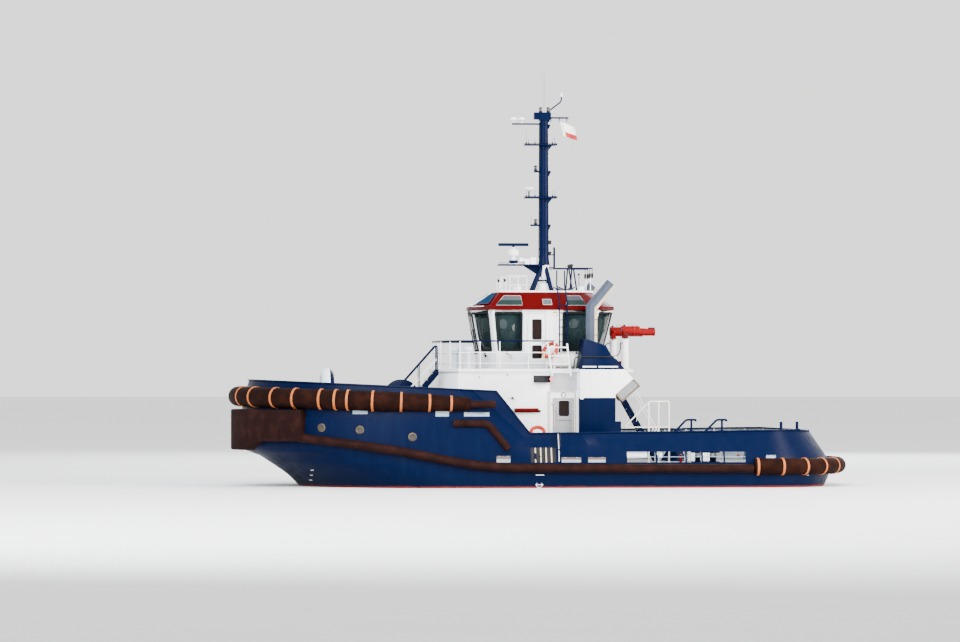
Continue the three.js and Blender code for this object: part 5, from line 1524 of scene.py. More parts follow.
def make_mast_gear():
    g = Piece("mast_gear")
    for x in (0.56, 0.88):
        g.tube([(x, 0, 14.34), (x, 0, 14.44)], 0.025, "white", 10)
        g.lathe([(0.0, 0.0), (0.09, 0.005), (0.13, 0.03), (0.135, 0.06), (0.11, 0.10), (0.05, 0.125),
                 (0.0, 0.13)], "white", (x, 0, 14.46), sides=24)
    for z in (13.515, 11.415):
        for x, y, h in ((0.41, 0.28, 0.62 if z > 12 else 0.2), (0.25, -0.28, 0.22), (0.06, 0.28, 0.24),
                        (-0.64, 0.28, 0.22), (-0.80, -0.28, 0.24)):
            g.tube([(x, y, z), (x, y, z + 0.08)], 0.022, "navy", 8)
            g.tube([(x, y, z + 0.06), (x, y, z + h)], 0.011, "grey", 6)
            g.ball((x, y, z + h), 0.016, "grey")
    g.tube([(0.27, 0, 11.415), (0.27, 0, 11.66)], 0.028, "navy", 10)
    g.lathe([(0.0, 0.0), (0.05, 0.0), (0.19, 0.09), (0.215, 0.13), (0.2, 0.15), (0.1, 0.165),
             (0.0, 0.17)], "white", (0.27, 0, 11.64), sides=28)
    for x, z in ((0.0, 12.465), (0.0, 10.335), (-0.2, 14.78), (-0.5, 14.78)):
        g.lathe([(0.05, 0.0), (0.075, 0.01), (0.075, 0.05), (0.06, 0.06), (0.06, 0.16), (0.075, 0.17),
                 (0.07, 0.2), (0.02, 0.22)], "black", (x, 0, z), sides=20)
        g.lathe([(0.062, 0.065), (0.064, 0.11), (0.062, 0.155)], "deadlight", (x, 0, z), sides=20)
    g.tube([(0.18, 0.03, 10.33), (0.18, 0.03, 10.72)], 0.009, "grey", 6)
    for z in (9.62, 9.18):
        g.box(-0.62, -0.50, -0.07, 0.07, z - 0.08, z + 0.08, "black")
    g.lathe([(0.0, 0.0), (0.05, 0.0), (0.06, 0.12), (0.10, 0.26), (0.105, 0.28), (0.085, 0.27),
             (0.0, 0.18)], "white", (0.38, 0.15, 8.91), (1, 0, 0.02), 24)
    g.box(0.02, 0.24, 0.06, 0.24, 8.751, 9.01, "white")
    g.box(0.27, 0.44, 0.07, 0.23, 8.751, 8.95, "white")
    g.lathe([(0.03, 0.0), (0.045, 0.02), (0.045, 0.13), (0.02, 0.15), (0.0, 0.15)], "white",
            (-1.03, 0, 15.41), sides=16)
    for x in (-0.62, -0.95, -1.24):
        g.lathe([(0.0, -0.13), (0.035, -0.12), (0.04, -0.03), (0.02, 0.0)], "grey", (x, 0, 14.54),
                sides=14)
    g.done(slot="white_paint")


def make_halyards():
    """Taut rigging from the yard to the roof."""
    lines = Piece("halyards")
    for top, foot in (((-0.94, 0.0, 14.56), (-2.1, 0.68, 8.6)), ((-1.04, 0.0, 14.56), (-2.17, 0.72, 8.6)),
                      ((-0.6, 0.1, 14.5), (-0.6, 0.16, 8.64))):
        a, b = Vector(top), Vector(foot)
        line = [a.lerp(b, t / 12) - Vector((0.05 * math.sin(math.pi * t / 12), 0, 0)) for t in range(13)]
        lines.tube(line, 0.006, "rope", 6)
    lines.done(slot="white_paint")


def make_flag():
    """A plain white flag with a red field, blown aft."""
    wide, high, thin = 0.62, 0.56, 0.0012
    across, down = 26, 22
    flag = Piece("mast_flag")
    front, back = [], []
    for r in range(down + 1):
        for c in range(across + 1):
            u, v = c / across, r / down
            wave = 0.05 * math.sin(u * 7.5 + v * 1.2) * u ** 0.6 + 0.02 * math.sin(u * 15 - v * 3) * u
            x = -0.97 - wide * 0.94 * u * math.cos(0.25 * u) - 0.14 * v
            z = 14.42 - high * v - 0.20 * u
            front.append(Vector((x, wave + thin, z)))
            back.append(Vector((x, wave - thin, z)))
    n, m = across + 1, len(front)
    groups = {"flag_white": [], "flag_red": []}
    for r in range(down):
        for c in range(across):
            quad = (r * n + c, r * n + c + 1, (r + 1) * n + c + 1, (r + 1) * n + c)
            look = "flag_red" if r >= down * 0.62 and c >= across * 0.18 else "flag_white"
            groups[look] += [quad, tuple(m + k for k in reversed(quad))]
    rim = [(r * n, (r + 1) * n) for r in range(down)] + [((r + 1) * n - 1, (r + 2) * n - 1)
                                                         for r in range(down)]
    rim += [(c, c + 1) for c in range(across)] + [(down * n + c, down * n + c + 1) for c in range(across)]
    groups["flag_white"] += [(a, b, m + b, m + a) for a, b in rim]
    flag.verts = front + back
    for look, faces in groups.items():
        flag.looks.append(look)
        flag.faces += faces
        flag.look_of += [flag.looks.index(look)] * len(faces)
    obj = flag.done(slot="white_paint", angle=80)


# Rails, stairs and ladders

RAIL_LINE = [(-0.35, 3.33), (1.8, 3.33), (3.35, 3.33), (3.96, 1.78)]
RAIL_FOOT, FRAME_FOOT = 4.572, 0.941


def make_deck_rail():
    rail = Piece("boat_deck_rail_skin")
    line = RAIL_LINE + [(x, -y) for x, y in reversed(RAIL_LINE)]
    for z, r, look in ((5.68, 0.03, "navy"), (5.23, 0.018, "white"), (4.81, 0.018, "white")):
        rail.tube(fillet([(x, y, z) for x, y in line], 0.12), r, look, 12)
    for x, y in RAIL_LINE + [(0.68, 3.33), (2.57, 3.33), (3.66, 2.54), (3.96, 0.7)]:
        for s in (1, -1):
            rail.tube([(x, s * y, RAIL_FOOT), (x, s * y, 5.67)], 0.022, "white", 10)
            rail.lathe([(0.05, 0.0), (0.05, 0.012), (0.026, 0.02)], "white", (x, s * y, RAIL_FOOT),
                       sides=14)
    rail.done(replaces=("boat_deck_rail",), slot="white_paint")


def make_fore_stair():
    stair = Piece("fore_stair_skin")
    x0, z0, x1, z1 = 5.75, 2.721, 4.11, 4.51
    for y in (1.9, 2.5):
        outline = [(x0, z0), (x0 - 0.23, z0), (x1, z1 - 0.13), (x1, z1 + 0.06), (x1 + 0.09, z1 + 0.06)]
        stair.prism("xz", outline, y - 0.012, y + 0.012, "navy")
        edge = [(x0, z0), (x1 + 0.09, z1 + 0.06)], [(x0 - 0.23, z0), (x1, z1 - 0.13)]
        for (ax, az), (bx, bz) in edge:
            stair.bar((ax, y, az), (bx, y, bz), 0.05, 0.012, "navy", up=(1, 0, 0.9))
        stair.tube(fillet([(5.56, y, 3.15), (5.56, y, 3.98), (4.16, y, 5.56), (4.16, y, z1)], 0.16),
                   0.026, "navy", 12)
        stair.tube([(5.45, y, 3.55), (4.18, y, 4.98)], 0.014, "white", 8)
        stair.tube([(4.86, y, 3.72), (4.86, y, 4.76)], 0.018, "navy", 8)
    for k in range(7):
        t = mix(0.1, 0.92, k / 6)
        x, z = mix(x0 - 0.06, x1 + 0.06, t), mix(z0, z1, t) + 0.02
        for aft, fore, low in ((-0.13, 0.11, 0.02), (-0.13, -0.12, -0.01), (0.10, 0.11, -0.01)):
            stair.box(x + aft, x + fore, 1.912, 2.488, z + low, z + 0.04, "steel")
        for j in range(5):
            stair.box(x - 0.10 + j * 0.042, x - 0.09 + j * 0.042, 1.92, 2.48, z + 0.04, z + 0.046,
                      "steel")
    stair.done(replaces=("fore_stair",), slot="navy_paint")


def make_aft_stair():
    stair = Piece("aft_stair_skin")
    x0, z0, x1, z1 = -4.95, FRAME_FOOT, -2.9, 4.45
    for y in (-0.38, 0.38):
        stair.prism("xz", [(x0, z0), (x0 + 0.22, z0), (x1 + 0.1, z1), (x1 - 0.09, z1)], y - 0.014,
                    y + 0.014, "navy")
        out = 0.05 if y > 0 else -0.05
        rail = [(x0 + 0.1, y + out, z0 + 0.25), (x0 + 0.0, y + out, z0 + 0.95),
                (x1 - 0.35, y + out, z1 + 0.55)]
        stair.tube(fillet(rail, 0.1), 0.018, "white", 10)
        for t in (0.12, 0.45, 0.8):
            foot = Vector((mix(x0 + 0.1, x1, t), y + out * 0.4, mix(z0, z1, t)))
            head = Vector((mix(x0 + 0.0, x1 - 0.35, t), y + out, mix(z0 + 0.95, z1 + 0.55, t)))
            stair.tube([foot, head], 0.014, "white", 8)
    for k in range(13):
        t = mix(0.05, 0.96, k / 12)
        x, z = mix(x0 + 0.11, x1, t), mix(z0, z1, t)
        stair.box(x - 0.12, x + 0.12, -0.366, 0.366, z - 0.004, z + 0.012, "duct")
        stair.box(x - 0.12, x - 0.108, -0.366, 0.366, z - 0.03, z + 0.012, "duct")
    stair.done(replaces=("aft_stair",), slot="dark_trim")


def make_aft_frame():
    frame_ = Piece("aft_frame_skin")
    y, foot, top, low = 3.0, FRAME_FOOT, 3.32, 2.31
    # Painted sunlight: the frame's tubes are white tinted yellowish, as if in the low sun.
    frame_.tube(fillet([(-4.1, y, foot), (-4.1, y, top), (-4.9, y, top), (-4.9, y, foot)], 0.08), 0.03,
                "sunlit_white", 12)
    frame_.tube([(-4.49, y, foot), (-4.49, y, top)], 0.028, "sunlit_white", 12)
    frame_.tube([(-4.1, y, 3.29), (-3.14, y, low + 0.01)], 0.026, "sunlit_white", 12)
    frame_.tube([(-3.13, y, low), (-4.9, y, low)], 0.02, "sunlit_white", 10)
    for x in (-4.1, -4.49, -4.9):
        frame_.lathe([(0.07, 0.0), (0.07, 0.014), (0.034, 0.025)], "white", (x, y, foot), sides=16)
    frame_.done(replaces=("aft_frame",), slot="white_paint")


def make_side_ladder():
    ladder = Piece("side_ladder_skin")
    stiles = [(Vector((top, 3.47, 5.58)), Vector((foot, 3.56, 4.3))) for top,
              foot in ((-0.06, -0.23), (-0.82, -0.96))]
    for stile in stiles:
        ladder.tube(stile, 0.034, "white", 14)
    for k in range(4):
        t = mix(0.12, 0.88, k / 3)
        ladder.tube([top.lerp(foot, t) for top, foot in stiles], 0.026, "white", 12)
    for x in (-0.19, -0.93):
        ladder.tube(fillet([(x, 3.40, 4.56), (x, 3.45, 4.66), (x, 3.54, 4.58), (x, 3.55, 4.5)], 0.05),
                    0.014, "white", 8)
        ladder.box(x - 0.02, x + 0.02, 3.411, 3.56, 4.5, 4.54, "white")
    ladder.done(replaces=("side_ladder",), slot="white_paint")


def make_roof_ladder():
    roof = Piece("roof_ladder_skin")
    y = 2.5
    for x in (-0.64, -0.95):
        roof.tube(fillet([(x, y, 5.0), (x, y, 7.15), (x, 1.65, 7.85), (x, 1.65, 8.47)], 0.12), 0.026,
                  "navy", 10)
        for z in (5.25, 6.7):
            roof.tube([(x, y, z), (x, 2.391, z)], 0.014, "navy", 8)
    for k in range(8):
        z = mix(5.12, 7.07, k / 7)
        roof.tube([(-0.64, y, z), (-0.95, y, z)], 0.018, "navy", 8)
    roof.done(replaces=("roof_ladder",), slot="navy_paint")


# Casings and exhausts

# The duct's axis, and a point on the slanted run with the run's direction aft and up
DUCT_X, DUCT_HALF, DUCT_FLAT = -1.875, 0.218, 0.093
DUCT_BEND, DUCT_AFT, DUCT_UP = (-2.27, 7.4775), 0.646, 0.763


def make_exhaust(side, s):
    """An eight-sided duct, upright and then leaning aft, open at its slanted end."""
    duct = Piece("exhaust_duct_skin_" + side)
    middle, half, flat = s * 2.74, DUCT_HALF, DUCT_FLAT
    line = [(DUCT_X, middle, 5.2), (DUCT_X, middle, 7.01), (-2.665, middle, 7.945)]
    quarter = [(half, flat), (flat, half), (-flat, half), (-half, flat)]
    section = quarter + [(-u, -v) for u, v in quarter]
    duct.sweep(line, section, "duct", up=(0, 1, 0))
    obj = duct.done(replaces=("exhaust_duct_" + side,), slot="bare_steel")
    hole = Piece("mouth")
    bore = [(a * 0.86, b * 0.86) for a, b in section]
    hole.sweep([(-2.40, middle, 7.632), (-2.75, middle, 8.046)], bore, "soot", up=(0, 1, 0))
    obj.modifiers.clear()
    carve(obj, ("DIFFERENCE", tool(hole)))
    # Painted sunlight: the faces that look aft are pale yellowish, as if lit by the low sun.
    material_by(obj, ["duct", "sunlit_cream", "soot"], lambda c, n: exhaust_sunlit_face_look(c, n, middle))
    tidy(obj.data, SHARP)
    round_edges(obj, 0.01)
    bands = Piece("exhaust_bands_" + side)
    wide = half + 0.006
    for z in (5.9, 6.5, 6.98):
        outline = [(DUCT_X + u * wide / half, middle + v * wide / half) for u, v in section]
        bands.prism("xy", outline, z, z + 0.03, "duct")
    bands.done(slot="bare_steel", bevel=0.003)


def exhaust_sunlit_face_look(centre, normal, middle):
    """Painted sunlight: the two faces that look aft are pale, as if in the low sun. Sooty within the
    mouth.
    """
    x, z = centre.x - DUCT_BEND[0], centre.z - DUCT_BEND[1]
    lean = z * DUCT_UP - x * DUCT_AFT
    across = x * DUCT_UP + z * DUCT_AFT
    faces_out = normal.y * (centre.y - middle) + (normal.x * DUCT_UP + normal.z * DUCT_AFT) * across
    if lean > 0.2 and faces_out < -0.01:
        return 2
    return 1 if normal.x < -0.5 else 0


def make_casing_trim(side, s):
    trim = Piece("casing_trim_" + side)
    for x0, x1 in ((-1.94, -1.40), (-2.78, -2.02)):
        trim.bar((x0, s * 3.762, 4.675), (x1, s * 3.762, 4.675), 0.024, 0.05, "white")
    slats = 7
    a, b = Vector((-2.70, 0, 3.64)), Vector((-3.35, 0, 4.215))
    c, d = Vector((-2.96, 0, 3.34)), Vector((-3.64, 0, 3.93))
    lift = Vector((0, s * 3.694, 0))
    loop = [a + lift, b + lift, d + lift, c + lift]
    trim.pane(loop if s < 0 else loop[::-1], "black", "louvre", 0.05, 0.04, 0.02)
    for k in range(slats):
        t = (k + 0.7) / slats
        trim.bar(a.lerp(c, t) + lift, b.lerp(d, t) + lift, 0.024, 0.03, "panel")
    trim.lathe([(0.0, 0.0), (0.09, 0.0), (0.10, 0.02), (0.10, 0.07), (0.08, 0.09), (0.0, 0.09)], "lens",
               (-1.36, s * 3.75, 3.5), (0, s, 0), 22)
    pipe = [(-1.06, 3.42, 4.6), (-1.06, 3.8, 4.64), (-1.06, 3.8, 5.06), (-2.5, 3.8, 5.06),
            (-2.86, 3.2, 5.12), (-3.05, 2.5, 5.34), (-3.10, 2.1, 5.62), (-3.22, 1.82, 5.62)]
    trim.tube(fillet([(x, s * y, z) for x, y, z in pipe], 0.2), 0.024, "black", 12)
    for x in (-1.5, -2.3):
        trim.tube([(x, s * 3.8, 5.06), (x, s * 3.74, 5.06)], 0.014, "black", 8)
    trim.done(slot="white_paint", bevel=0.004)


# Deck gear

WINCH_X, WINCH_Z, WINCH_HALF = 5.35, 3.56, 0.72


def bolt_ring(piece, centre, axis, radius, count, size, look, high=0.02):
    """Hexagonal bolt heads on a circle."""
    turn = turn_to(axis)
    for c, s in circle(count):
        at = Vector(centre) + turn @ Vector((radius * c, radius * s, 0))
        piece.lathe([(size, 0.0), (size, high), (size * 0.6, high * 1.2)], look, at, axis, 6)


def make_winch_frame():
    z = FORE_DECK + DECK_GAP
    x, half = WINCH_X, WINCH_HALF
    frame_ = Piece("winch_frame_skin")
    frame_.box(x - 0.64, x + 0.64, -half - 0.12, half + 0.12, z, z + 0.03, "white")
    for y in (-half - 0.05, half + 0.05):
        frame_.box(x - 0.64, x + 0.64, y - 0.06, y + 0.06, z + 0.03, z + 0.12, "white")
    for s in (1, -1):
        low, high = sorted((s * (half + 0.02), s * (half + 0.055)))
        leg = [(0.60, z + 0.1), (0.31, 3.80), (0.22, 3.86)]
        arch = [(x + dx, top) for dx, top in leg] + [(x - dx, top) for dx, top in leg[::-1]]
        frame_.prism("xz", arch, low, high, "white")
        rim = [(px, s * (half + 0.075), pz) for px, pz in arch]
        frame_.sweep(rim, oblong(0.045, 0.012), "white", up=(0, 1, 0))
        y = s * (half + 0.09)
        for px in (x - 0.3, x + 0.3):
            frame_.bar((px, y, z + 0.1), (x + (px - x) * 0.45, y, 3.4), 0.02, 0.07, "white", up=(0, 1, 0))
        frame_.lathe([(0.19, half + 0.05), (0.19, half + 0.11), (0.14, half + 0.13), (0.0, half + 0.13)],
                     "white", (x, 0, WINCH_Z), (0, s, 0), 32)
        bolt_ring(frame_, (x, s * (half + 0.11), WINCH_Z), (0, s, 0), 0.16, 8, 0.016, "steel")
    frame_.lathe([(0.20, half + 0.12), (0.25, half + 0.15), (0.262, half + 0.2), (0.262, half + 0.42),
                  (0.24, half + 0.46), (0.20, half + 0.48), (0.20, half + 0.58), (0.16, half + 0.61),
                  (0.0, half + 0.62)], "white", (x, 0, WINCH_Z), (0, 1, 0), 40)
    for c, s in circle(14):
        d = Vector((c, 0, s))
        fin = [Vector((x, y, WINCH_Z)) + d * 0.268 for y in (half + 0.21, half + 0.41)]
        frame_.bar(*fin, 0.014, 0.014, "white", up=tuple(d))
    frame_.box(x - 0.25, x + 0.25, half + 0.13, half + 0.6, z, z + 0.06, "white")
    stool = [(half + 0.16, z + 0.05), (half + 0.56, z + 0.05), (half + 0.48, 3.36), (half + 0.2, 3.36)]
    frame_.prism("yz", stool, x - 0.17, x + 0.17, "white")
    for out, path in ((0.5, [(0.18, 3.66), (0.36, 3.6), (0.42, 2.9), (0.6, 2.76)]),
                      (0.42, [(0.18, 3.5), (0.30, 3.42), (0.34, 2.9), (0.6, 2.76)])):
        hose = fillet([(x - back, half + out, high) for back, high in path], 0.12)
        frame_.tube(hose, 0.024, "black", 10)
    frame_.tube([(x + 0.46, -half - 0.09, 3.05), (x + 0.46, -half - 0.09, 3.9)], 0.016, "steel", 10)
    frame_.ball((x + 0.46, -half - 0.09, 3.92), 0.035, "red")
    frame_.done(replaces=("winch_frame",), slot="white_paint", bevel=0.005)


def make_winch_drum():
    """The drum with two layers of towline and a few turns of a third."""
    x, half = WINCH_X, WINCH_HALF
    drum = Piece("winch_drum_skin", "drum")
    for s in (1, -1):
        drum.lathe([(0.30, half - 0.09), (0.60, half - 0.088), (0.62, half - 0.075), (0.62, half - 0.035),
                    (0.60, half - 0.022), (0.14, half - 0.022), (0.09, half - 0.012),
                    (0.09, half - DECK_GAP)], "navy", (x, 0, WINCH_Z), (0, s, 0), 56)
        at = Vector((x, s * (half - 0.017), WINCH_Z))
        for cosine, sine in circle(8):
            d = Vector((cosine, 0, sine))
            drum.bar(at + d * 0.13, at + d * 0.585, 0.022, 0.016, "navy", up=(0, 1, 0))
    drum.lathe([(0.28, -0.66), (0.28, 0.66)], "steel", (x, 0, WINCH_Z), (0, 1, 0), 40)
    turns = 19
    for layer, radius in ((0, 0.305), (1, 0.352)):
        count = turns - layer
        for k in range(count):
            y = -0.60 + (k + 0.5 * layer + 0.15) * 1.2 / turns
            drum.ring((x, y, WINCH_Z), (0, 1, 0.012 * (-1) ** k), radius, 0.031, "rope", 40, 8)
    for k in range(6):
        drum.ring((x, 0.12 + k * 0.063, WINCH_Z), (0, 1, 0.02), 0.40, 0.031, "rope", 40, 8)
    drum.done(replaces=("winch_drum",), slot="bare_steel", bevel=0.004)


def make_staple():
    z = FORE_DECK + DECK_GAP
    x, leg = 8.3, 0.62
    port = [(leg, z + 0.04), (leg, 4.05), (0.45, 4.29), (0.2, 4.37)]
    arch = [(x, -y, high) for y, high in port] + [(x, y, high) for y, high in port[::-1]]
    piece = Piece("bow_staple_skin")
    piece.tube(fillet(arch, 0.3, 8), 0.253, "staple", 32)
    for s in (1, -1):
        piece.lathe([(0.40, 0.0), (0.40, 0.035), (0.37, 0.05), (0.26, 0.06)], "staple", (x, s * leg, z),
                    sides=36)
        for cosine, sine in circle(6, 0.5):
            foot = Vector((x, s * leg, z + 0.04))
            d, up = Vector((cosine, sine, 0)), Vector((0, 0, 0.24))
            side = Vector((-d.y, d.x, 0)) * 0.008
            gusset = [foot + d * 0.24, foot + d * 0.37, foot + d * 0.25 + up, foot + d * 0.24 + up]
            piece.loft([[p - side for p in gusset], [p + side for p in gusset]], "staple")
        piece.ring((x, s * leg, 3.5), (0, 0, 1), 0.256, 0.012, "staple", 36, 8)
    piece.done(replaces=("bow_staple",), slot="white_paint", bevel=0.003)


def bitt_forms(piece, x, y, deck):
    z = deck + DECK_GAP
    piece.box(x - 0.52, x + 0.52, y - 0.23, y + 0.23, z, z + 0.05, "navy")
    for px in (x - 0.29, x + 0.29):
        piece.lathe([(0.16, 0.04), (0.145, 0.065), (0.128, 0.09), (0.126, 0.56), (0.13, 0.59),
                     (0.128, 0.62), (0.1, 0.63), (0.0, 0.635)], "navy", (px, y, z), sides=32)
        piece.lathe([(0.129, 0.22), (0.13, 0.23), (0.13, 0.37), (0.129, 0.38)], "steel", (px, y, z),
                    sides=32)
    piece.lathe([(0.03, -0.56), (0.05, -0.55), (0.05, 0.55), (0.03, 0.56)], "navy", (x, y, z + 0.43),
                (1, 0, 0), 20)
    for px in (x - 0.54, x + 0.54):
        piece.lathe([(0.05, -0.012), (0.072, -0.008), (0.072, 0.008), (0.05, 0.012)], "navy",
                    (px, y, z + 0.43), (1, 0, 0), 20)
    for dx in (-0.46, 0.0, 0.46):
        for dy in (-0.18, 0.18):
            piece.lathe([(0.02, 0.05), (0.02, 0.07), (0.012, 0.075)], "steel", (x + dx, y + dy, z),
                        sides=6)


def make_bitts():
    for side, s in SIDES:
        fore = Piece("fore_bitts_skin_" + side)
        bitt_forms(fore, 7.0, s * 3.0, FORE_DECK)
        fore.done(replaces=("fore_bitts_" + side,), slot="navy_paint", bevel=0.004)
        aft = Piece("aft_bitts_" + side)
        bitt_forms(aft, -6.2, s * 3.9, MAIN_DECK)
        aft.done(slot="navy_paint", bevel=0.004)


def make_capstan():
    x = -9.6
    base = Piece("capstan_base")
    base.lathe([(0.42, 0.0), (0.42, 0.07), (0.39, 0.09), (0.14, 0.092), (0.12, 0.1), (0.12, 0.1495),
                (0.0, 0.1495)], "navy", (x, 0, MAIN_DECK), sides=40)
    bolt_ring(base, (x, 0, MAIN_DECK + 0.088), (0, 0, 1), 0.36, 12, 0.018, "steel")
    base.box(x - 0.7, x - 0.42, -0.14, 0.14, MAIN_DECK, MAIN_DECK + 0.06, "navy")
    base.done(slot="navy_paint", bevel=0.004)
    z = MAIN_DECK + 0.15 + JOINT_GAP
    at = Vector((x, 0, z))
    head = Piece("capstan_head_skin", "capstan")
    head.lathe([(0.0, 0.0), (0.11, 0.0), (0.11, 0.02), (0.32, 0.03), (0.33, 0.045), (0.33, 0.1),
                (0.31, 0.12), (0.25, 0.17), (0.215, 0.24), (0.2, 0.33), (0.2, 0.43), (0.225, 0.5),
                (0.285, 0.55), (0.3, 0.57), (0.3, 0.63), (0.28, 0.645), (0.12, 0.66), (0.1, 0.68),
                (0.09, 0.69), (0.0, 0.69)], "steel", (x, 0, z), sides=48)
    for c, s in circle(8):
        d = Vector((c, s, 0))
        shape = ((0.2, 0.22), (0.225, 0.25), (0.225, 0.46), (0.2, 0.49))
        whelp = [at + d * out + Vector((0, 0, high)) for out, high in shape]
        side = Vector((-d.y, d.x, 0)) * 0.018
        head.loft([[p - side - d * 0.02 for p in whelp], [p + side - d * 0.02 for p in whelp]], "steel")
        slot = at + d * 0.3 + Vector((0, 0, 0.6))
        head.bar(slot - d * 0.05, slot + d * 0.004, 0.05, 0.03, "black")
    head.done(replaces=("capstan_head",), slot="bare_steel", bevel=0.004)


def make_towing_posts():
    z, x, apart, bar_z = MAIN_DECK + DECK_GAP, -5.65, 0.43, 1.9
    posts = Piece("towing_posts_skin")
    for s in (1, -1):
        posts.lathe([(0.27, 0.0), (0.27, 0.03), (0.2, 0.045), (0.19, 0.06), (0.19, 1.27), (0.178, 1.3),
                     (0.14, 1.308), (0.0, 1.31)], "navy", (x, s * apart, z), sides=40)
        low, high = sorted((s * 0.4, s * 0.46))
        knee = [(x + 0.15, z), (x + 0.56, z), (x + 0.56, z + 0.04), (x + 0.15, 1.7)]
        posts.prism("xz", knee, low + 0.02, high - 0.02, "navy")
        posts.lathe([(0.191, 0.6), (0.193, 0.62), (0.193, 0.84), (0.191, 0.86)], "steel",
                    (x, s * apart, z), sides=40)
        collar = [(0.13, -0.02), (0.165, -0.014), (0.165, 0.014), (0.13, 0.02)]
        posts.lathe(collar, "navy", (x, s * 0.7, bar_z), (0, s, 0), 32)
    posts.lathe([(0.11, -0.7), (0.13, -0.68), (0.13, 0.68), (0.11, 0.7)], "navy", (x, 0, bar_z),
                (0, 1, 0), 36)
    posts.done(replaces=("towing_posts",), slot="navy_paint", bevel=0.004)


def make_hatch():
    x, half, top = -6.6, 0.45, 1.29
    coaming = Piece("hatch_gasket")
    rim = half - 0.06 + 0.03
    corners = [(x + a, b, top + 0.003) for a, b in oblong(rim, rim)]
    coaming.tube(corner_loop(corners, 0.06), 0.004, "gasket_and_shadow", 6, closed=True)
    for y in (-0.46, 0.46):
        for dx in (-0.25, 0.25):
            coaming.box(x + dx - 0.02, x + dx + 0.02, min(y, y * 1.06), max(y, y * 1.06), top - 0.2,
                        top - 0.02, "white")
    coaming.done(slot="dark_trim")
    lid = Piece("hatch_lid_gear", "lid")
    z = top + 0.008 + 0.06
    lid.lathe([(0.07, 0.0), (0.07, 0.012), (0.03, 0.02), (0.026, 0.09), (0.0, 0.09)], "steel", (x, 0, z),
              sides=24)
    wheel, rim = (x, 0, z + 0.08), 0.15
    lid.ring(wheel, (0, 0, 1), rim, 0.014, "steel", 32, 8)
    for c, s in circle(4, turn=0.4):
        lid.tube([wheel, (x + rim * c, rim * s, z + 0.08)], 0.010, "steel", 8)
    for y in (-0.3, 0.3):
        lid.box(x - 0.44, x + 0.3, y - 0.02, y + 0.02, z, z + 0.02, "white")
    grip = [(x - 0.36, y, z + high) for y, high in ((-0.12, 0), (-0.12, 0.07), (0.12, 0.07), (0.12, 0))]
    lid.tube(fillet(grip, 0.03), 0.012, "steel", 8)
    lid.done(slot="white_paint", bevel=0.003)


# Fire monitors, life rafts and thrusters

MON_X, MON_Y, MON_Z = -3.33, 1.75, 6.1
PEDESTAL_TOP = 5.8


def make_pedestal(side, s):
    y = s * MON_Y
    z = BOAT_DECK + DECK_GAP
    stand = Piece("monitor_pedestal_skin_" + side)
    top = PEDESTAL_TOP - z
    stand.lathe([(0.20, 0.0), (0.20, 0.045), (0.16, 0.06), (0.146, 0.075), (0.144, top - 0.13),
                 (0.17, top - 0.115), (0.17, top - 0.045), (0.12, top - 0.04), (0.075, top - 0.038),
                 (0.06, top - 0.03), (0.06, top), (0.0, top)], "white", (MON_X, y, z), sides=36)
    bolt_ring(stand, (MON_X, y, z + 0.05), (0, 0, 1), 0.178, 8, 0.012, "steel", 0.014)
    bolt_ring(stand, (MON_X, y, z + top - 0.042), (0, 0, 1), 0.148, 8, 0.010, "steel", 0.010)
    stand.ring((MON_X, y, z + 0.62), (0, 0, 1), 0.146, 0.012, "white", 36, 8)
    pipe = [(MON_X + out, y, z + high) for out, high in ((0.13, 0.3), (0.28, 0.3), (0.28, 0.02))]
    stand.tube(fillet(pipe, 0.08), 0.04, "red", 16)
    stand.done(replaces=("monitor_pedestal_" + side,), slot="white_paint", bevel=0.003)


def make_swivel(side, s):
    """The monitor's turning fork, with its handwheel outboard."""
    y = s * MON_Y
    swivel = Piece("monitor_swivel_skin_" + side, "monitor_base_" + side)
    low = PEDESTAL_TOP + JOINT_GAP
    inner, outer = 0.215, 0.265
    swivel.lathe([(0.0, 0.0), (0.125, 0.0), (0.13, 0.008), (0.13, 0.027), (0.12, 0.034), (0.0, 0.034)],
                 "signal", (MON_X, y, low), sides=32)
    swivel.box(MON_X - 0.09, MON_X + 0.09, y - outer, y + outer, low + 0.006, low + 0.034, "signal")
    for turn in (1, -1):
        a, b = sorted((y + turn * inner, y + turn * outer))
        arc = [math.pi * k / 12 for k in range(1, 12)]
        cheek = [(MON_X - 0.09, low + 0.008), (MON_X + 0.09, low + 0.008), (MON_X + 0.085, MON_Z)]
        cheek += [(MON_X + 0.088 * math.cos(t), MON_Z + 0.088 * math.sin(t)) for t in arc]
        cheek += [(MON_X - 0.085, MON_Z)]
        swivel.prism("xz", cheek, a, b, "signal")
        hub = (MON_X, y + turn * (outer - 0.0005), MON_Z)
        swivel.lathe([(0.055, 0.0), (0.055, 0.02), (0.03, 0.03), (0.0, 0.03)], "signal", hub,
                     (0, turn, 0), 24)
    wheel = Vector((MON_X - 0.02, y + s * 0.34, low + 0.13))
    swivel.tube([wheel - Vector((0, s * 0.1, 0)), wheel], 0.014, "steel", 8)
    rim = 0.09
    swivel.ring(wheel, (0, 1, 0), rim, 0.011, "black", 28, 8)
    for cosine, sine in circle(4, turn=0.5):
        swivel.tube([wheel, wheel + Vector((rim * cosine, 0, rim * sine))], 0.007, "black", 6)
    swivel.done(replaces=("monitor_swivel_" + side,), slot="red_paint", bevel=0.004)


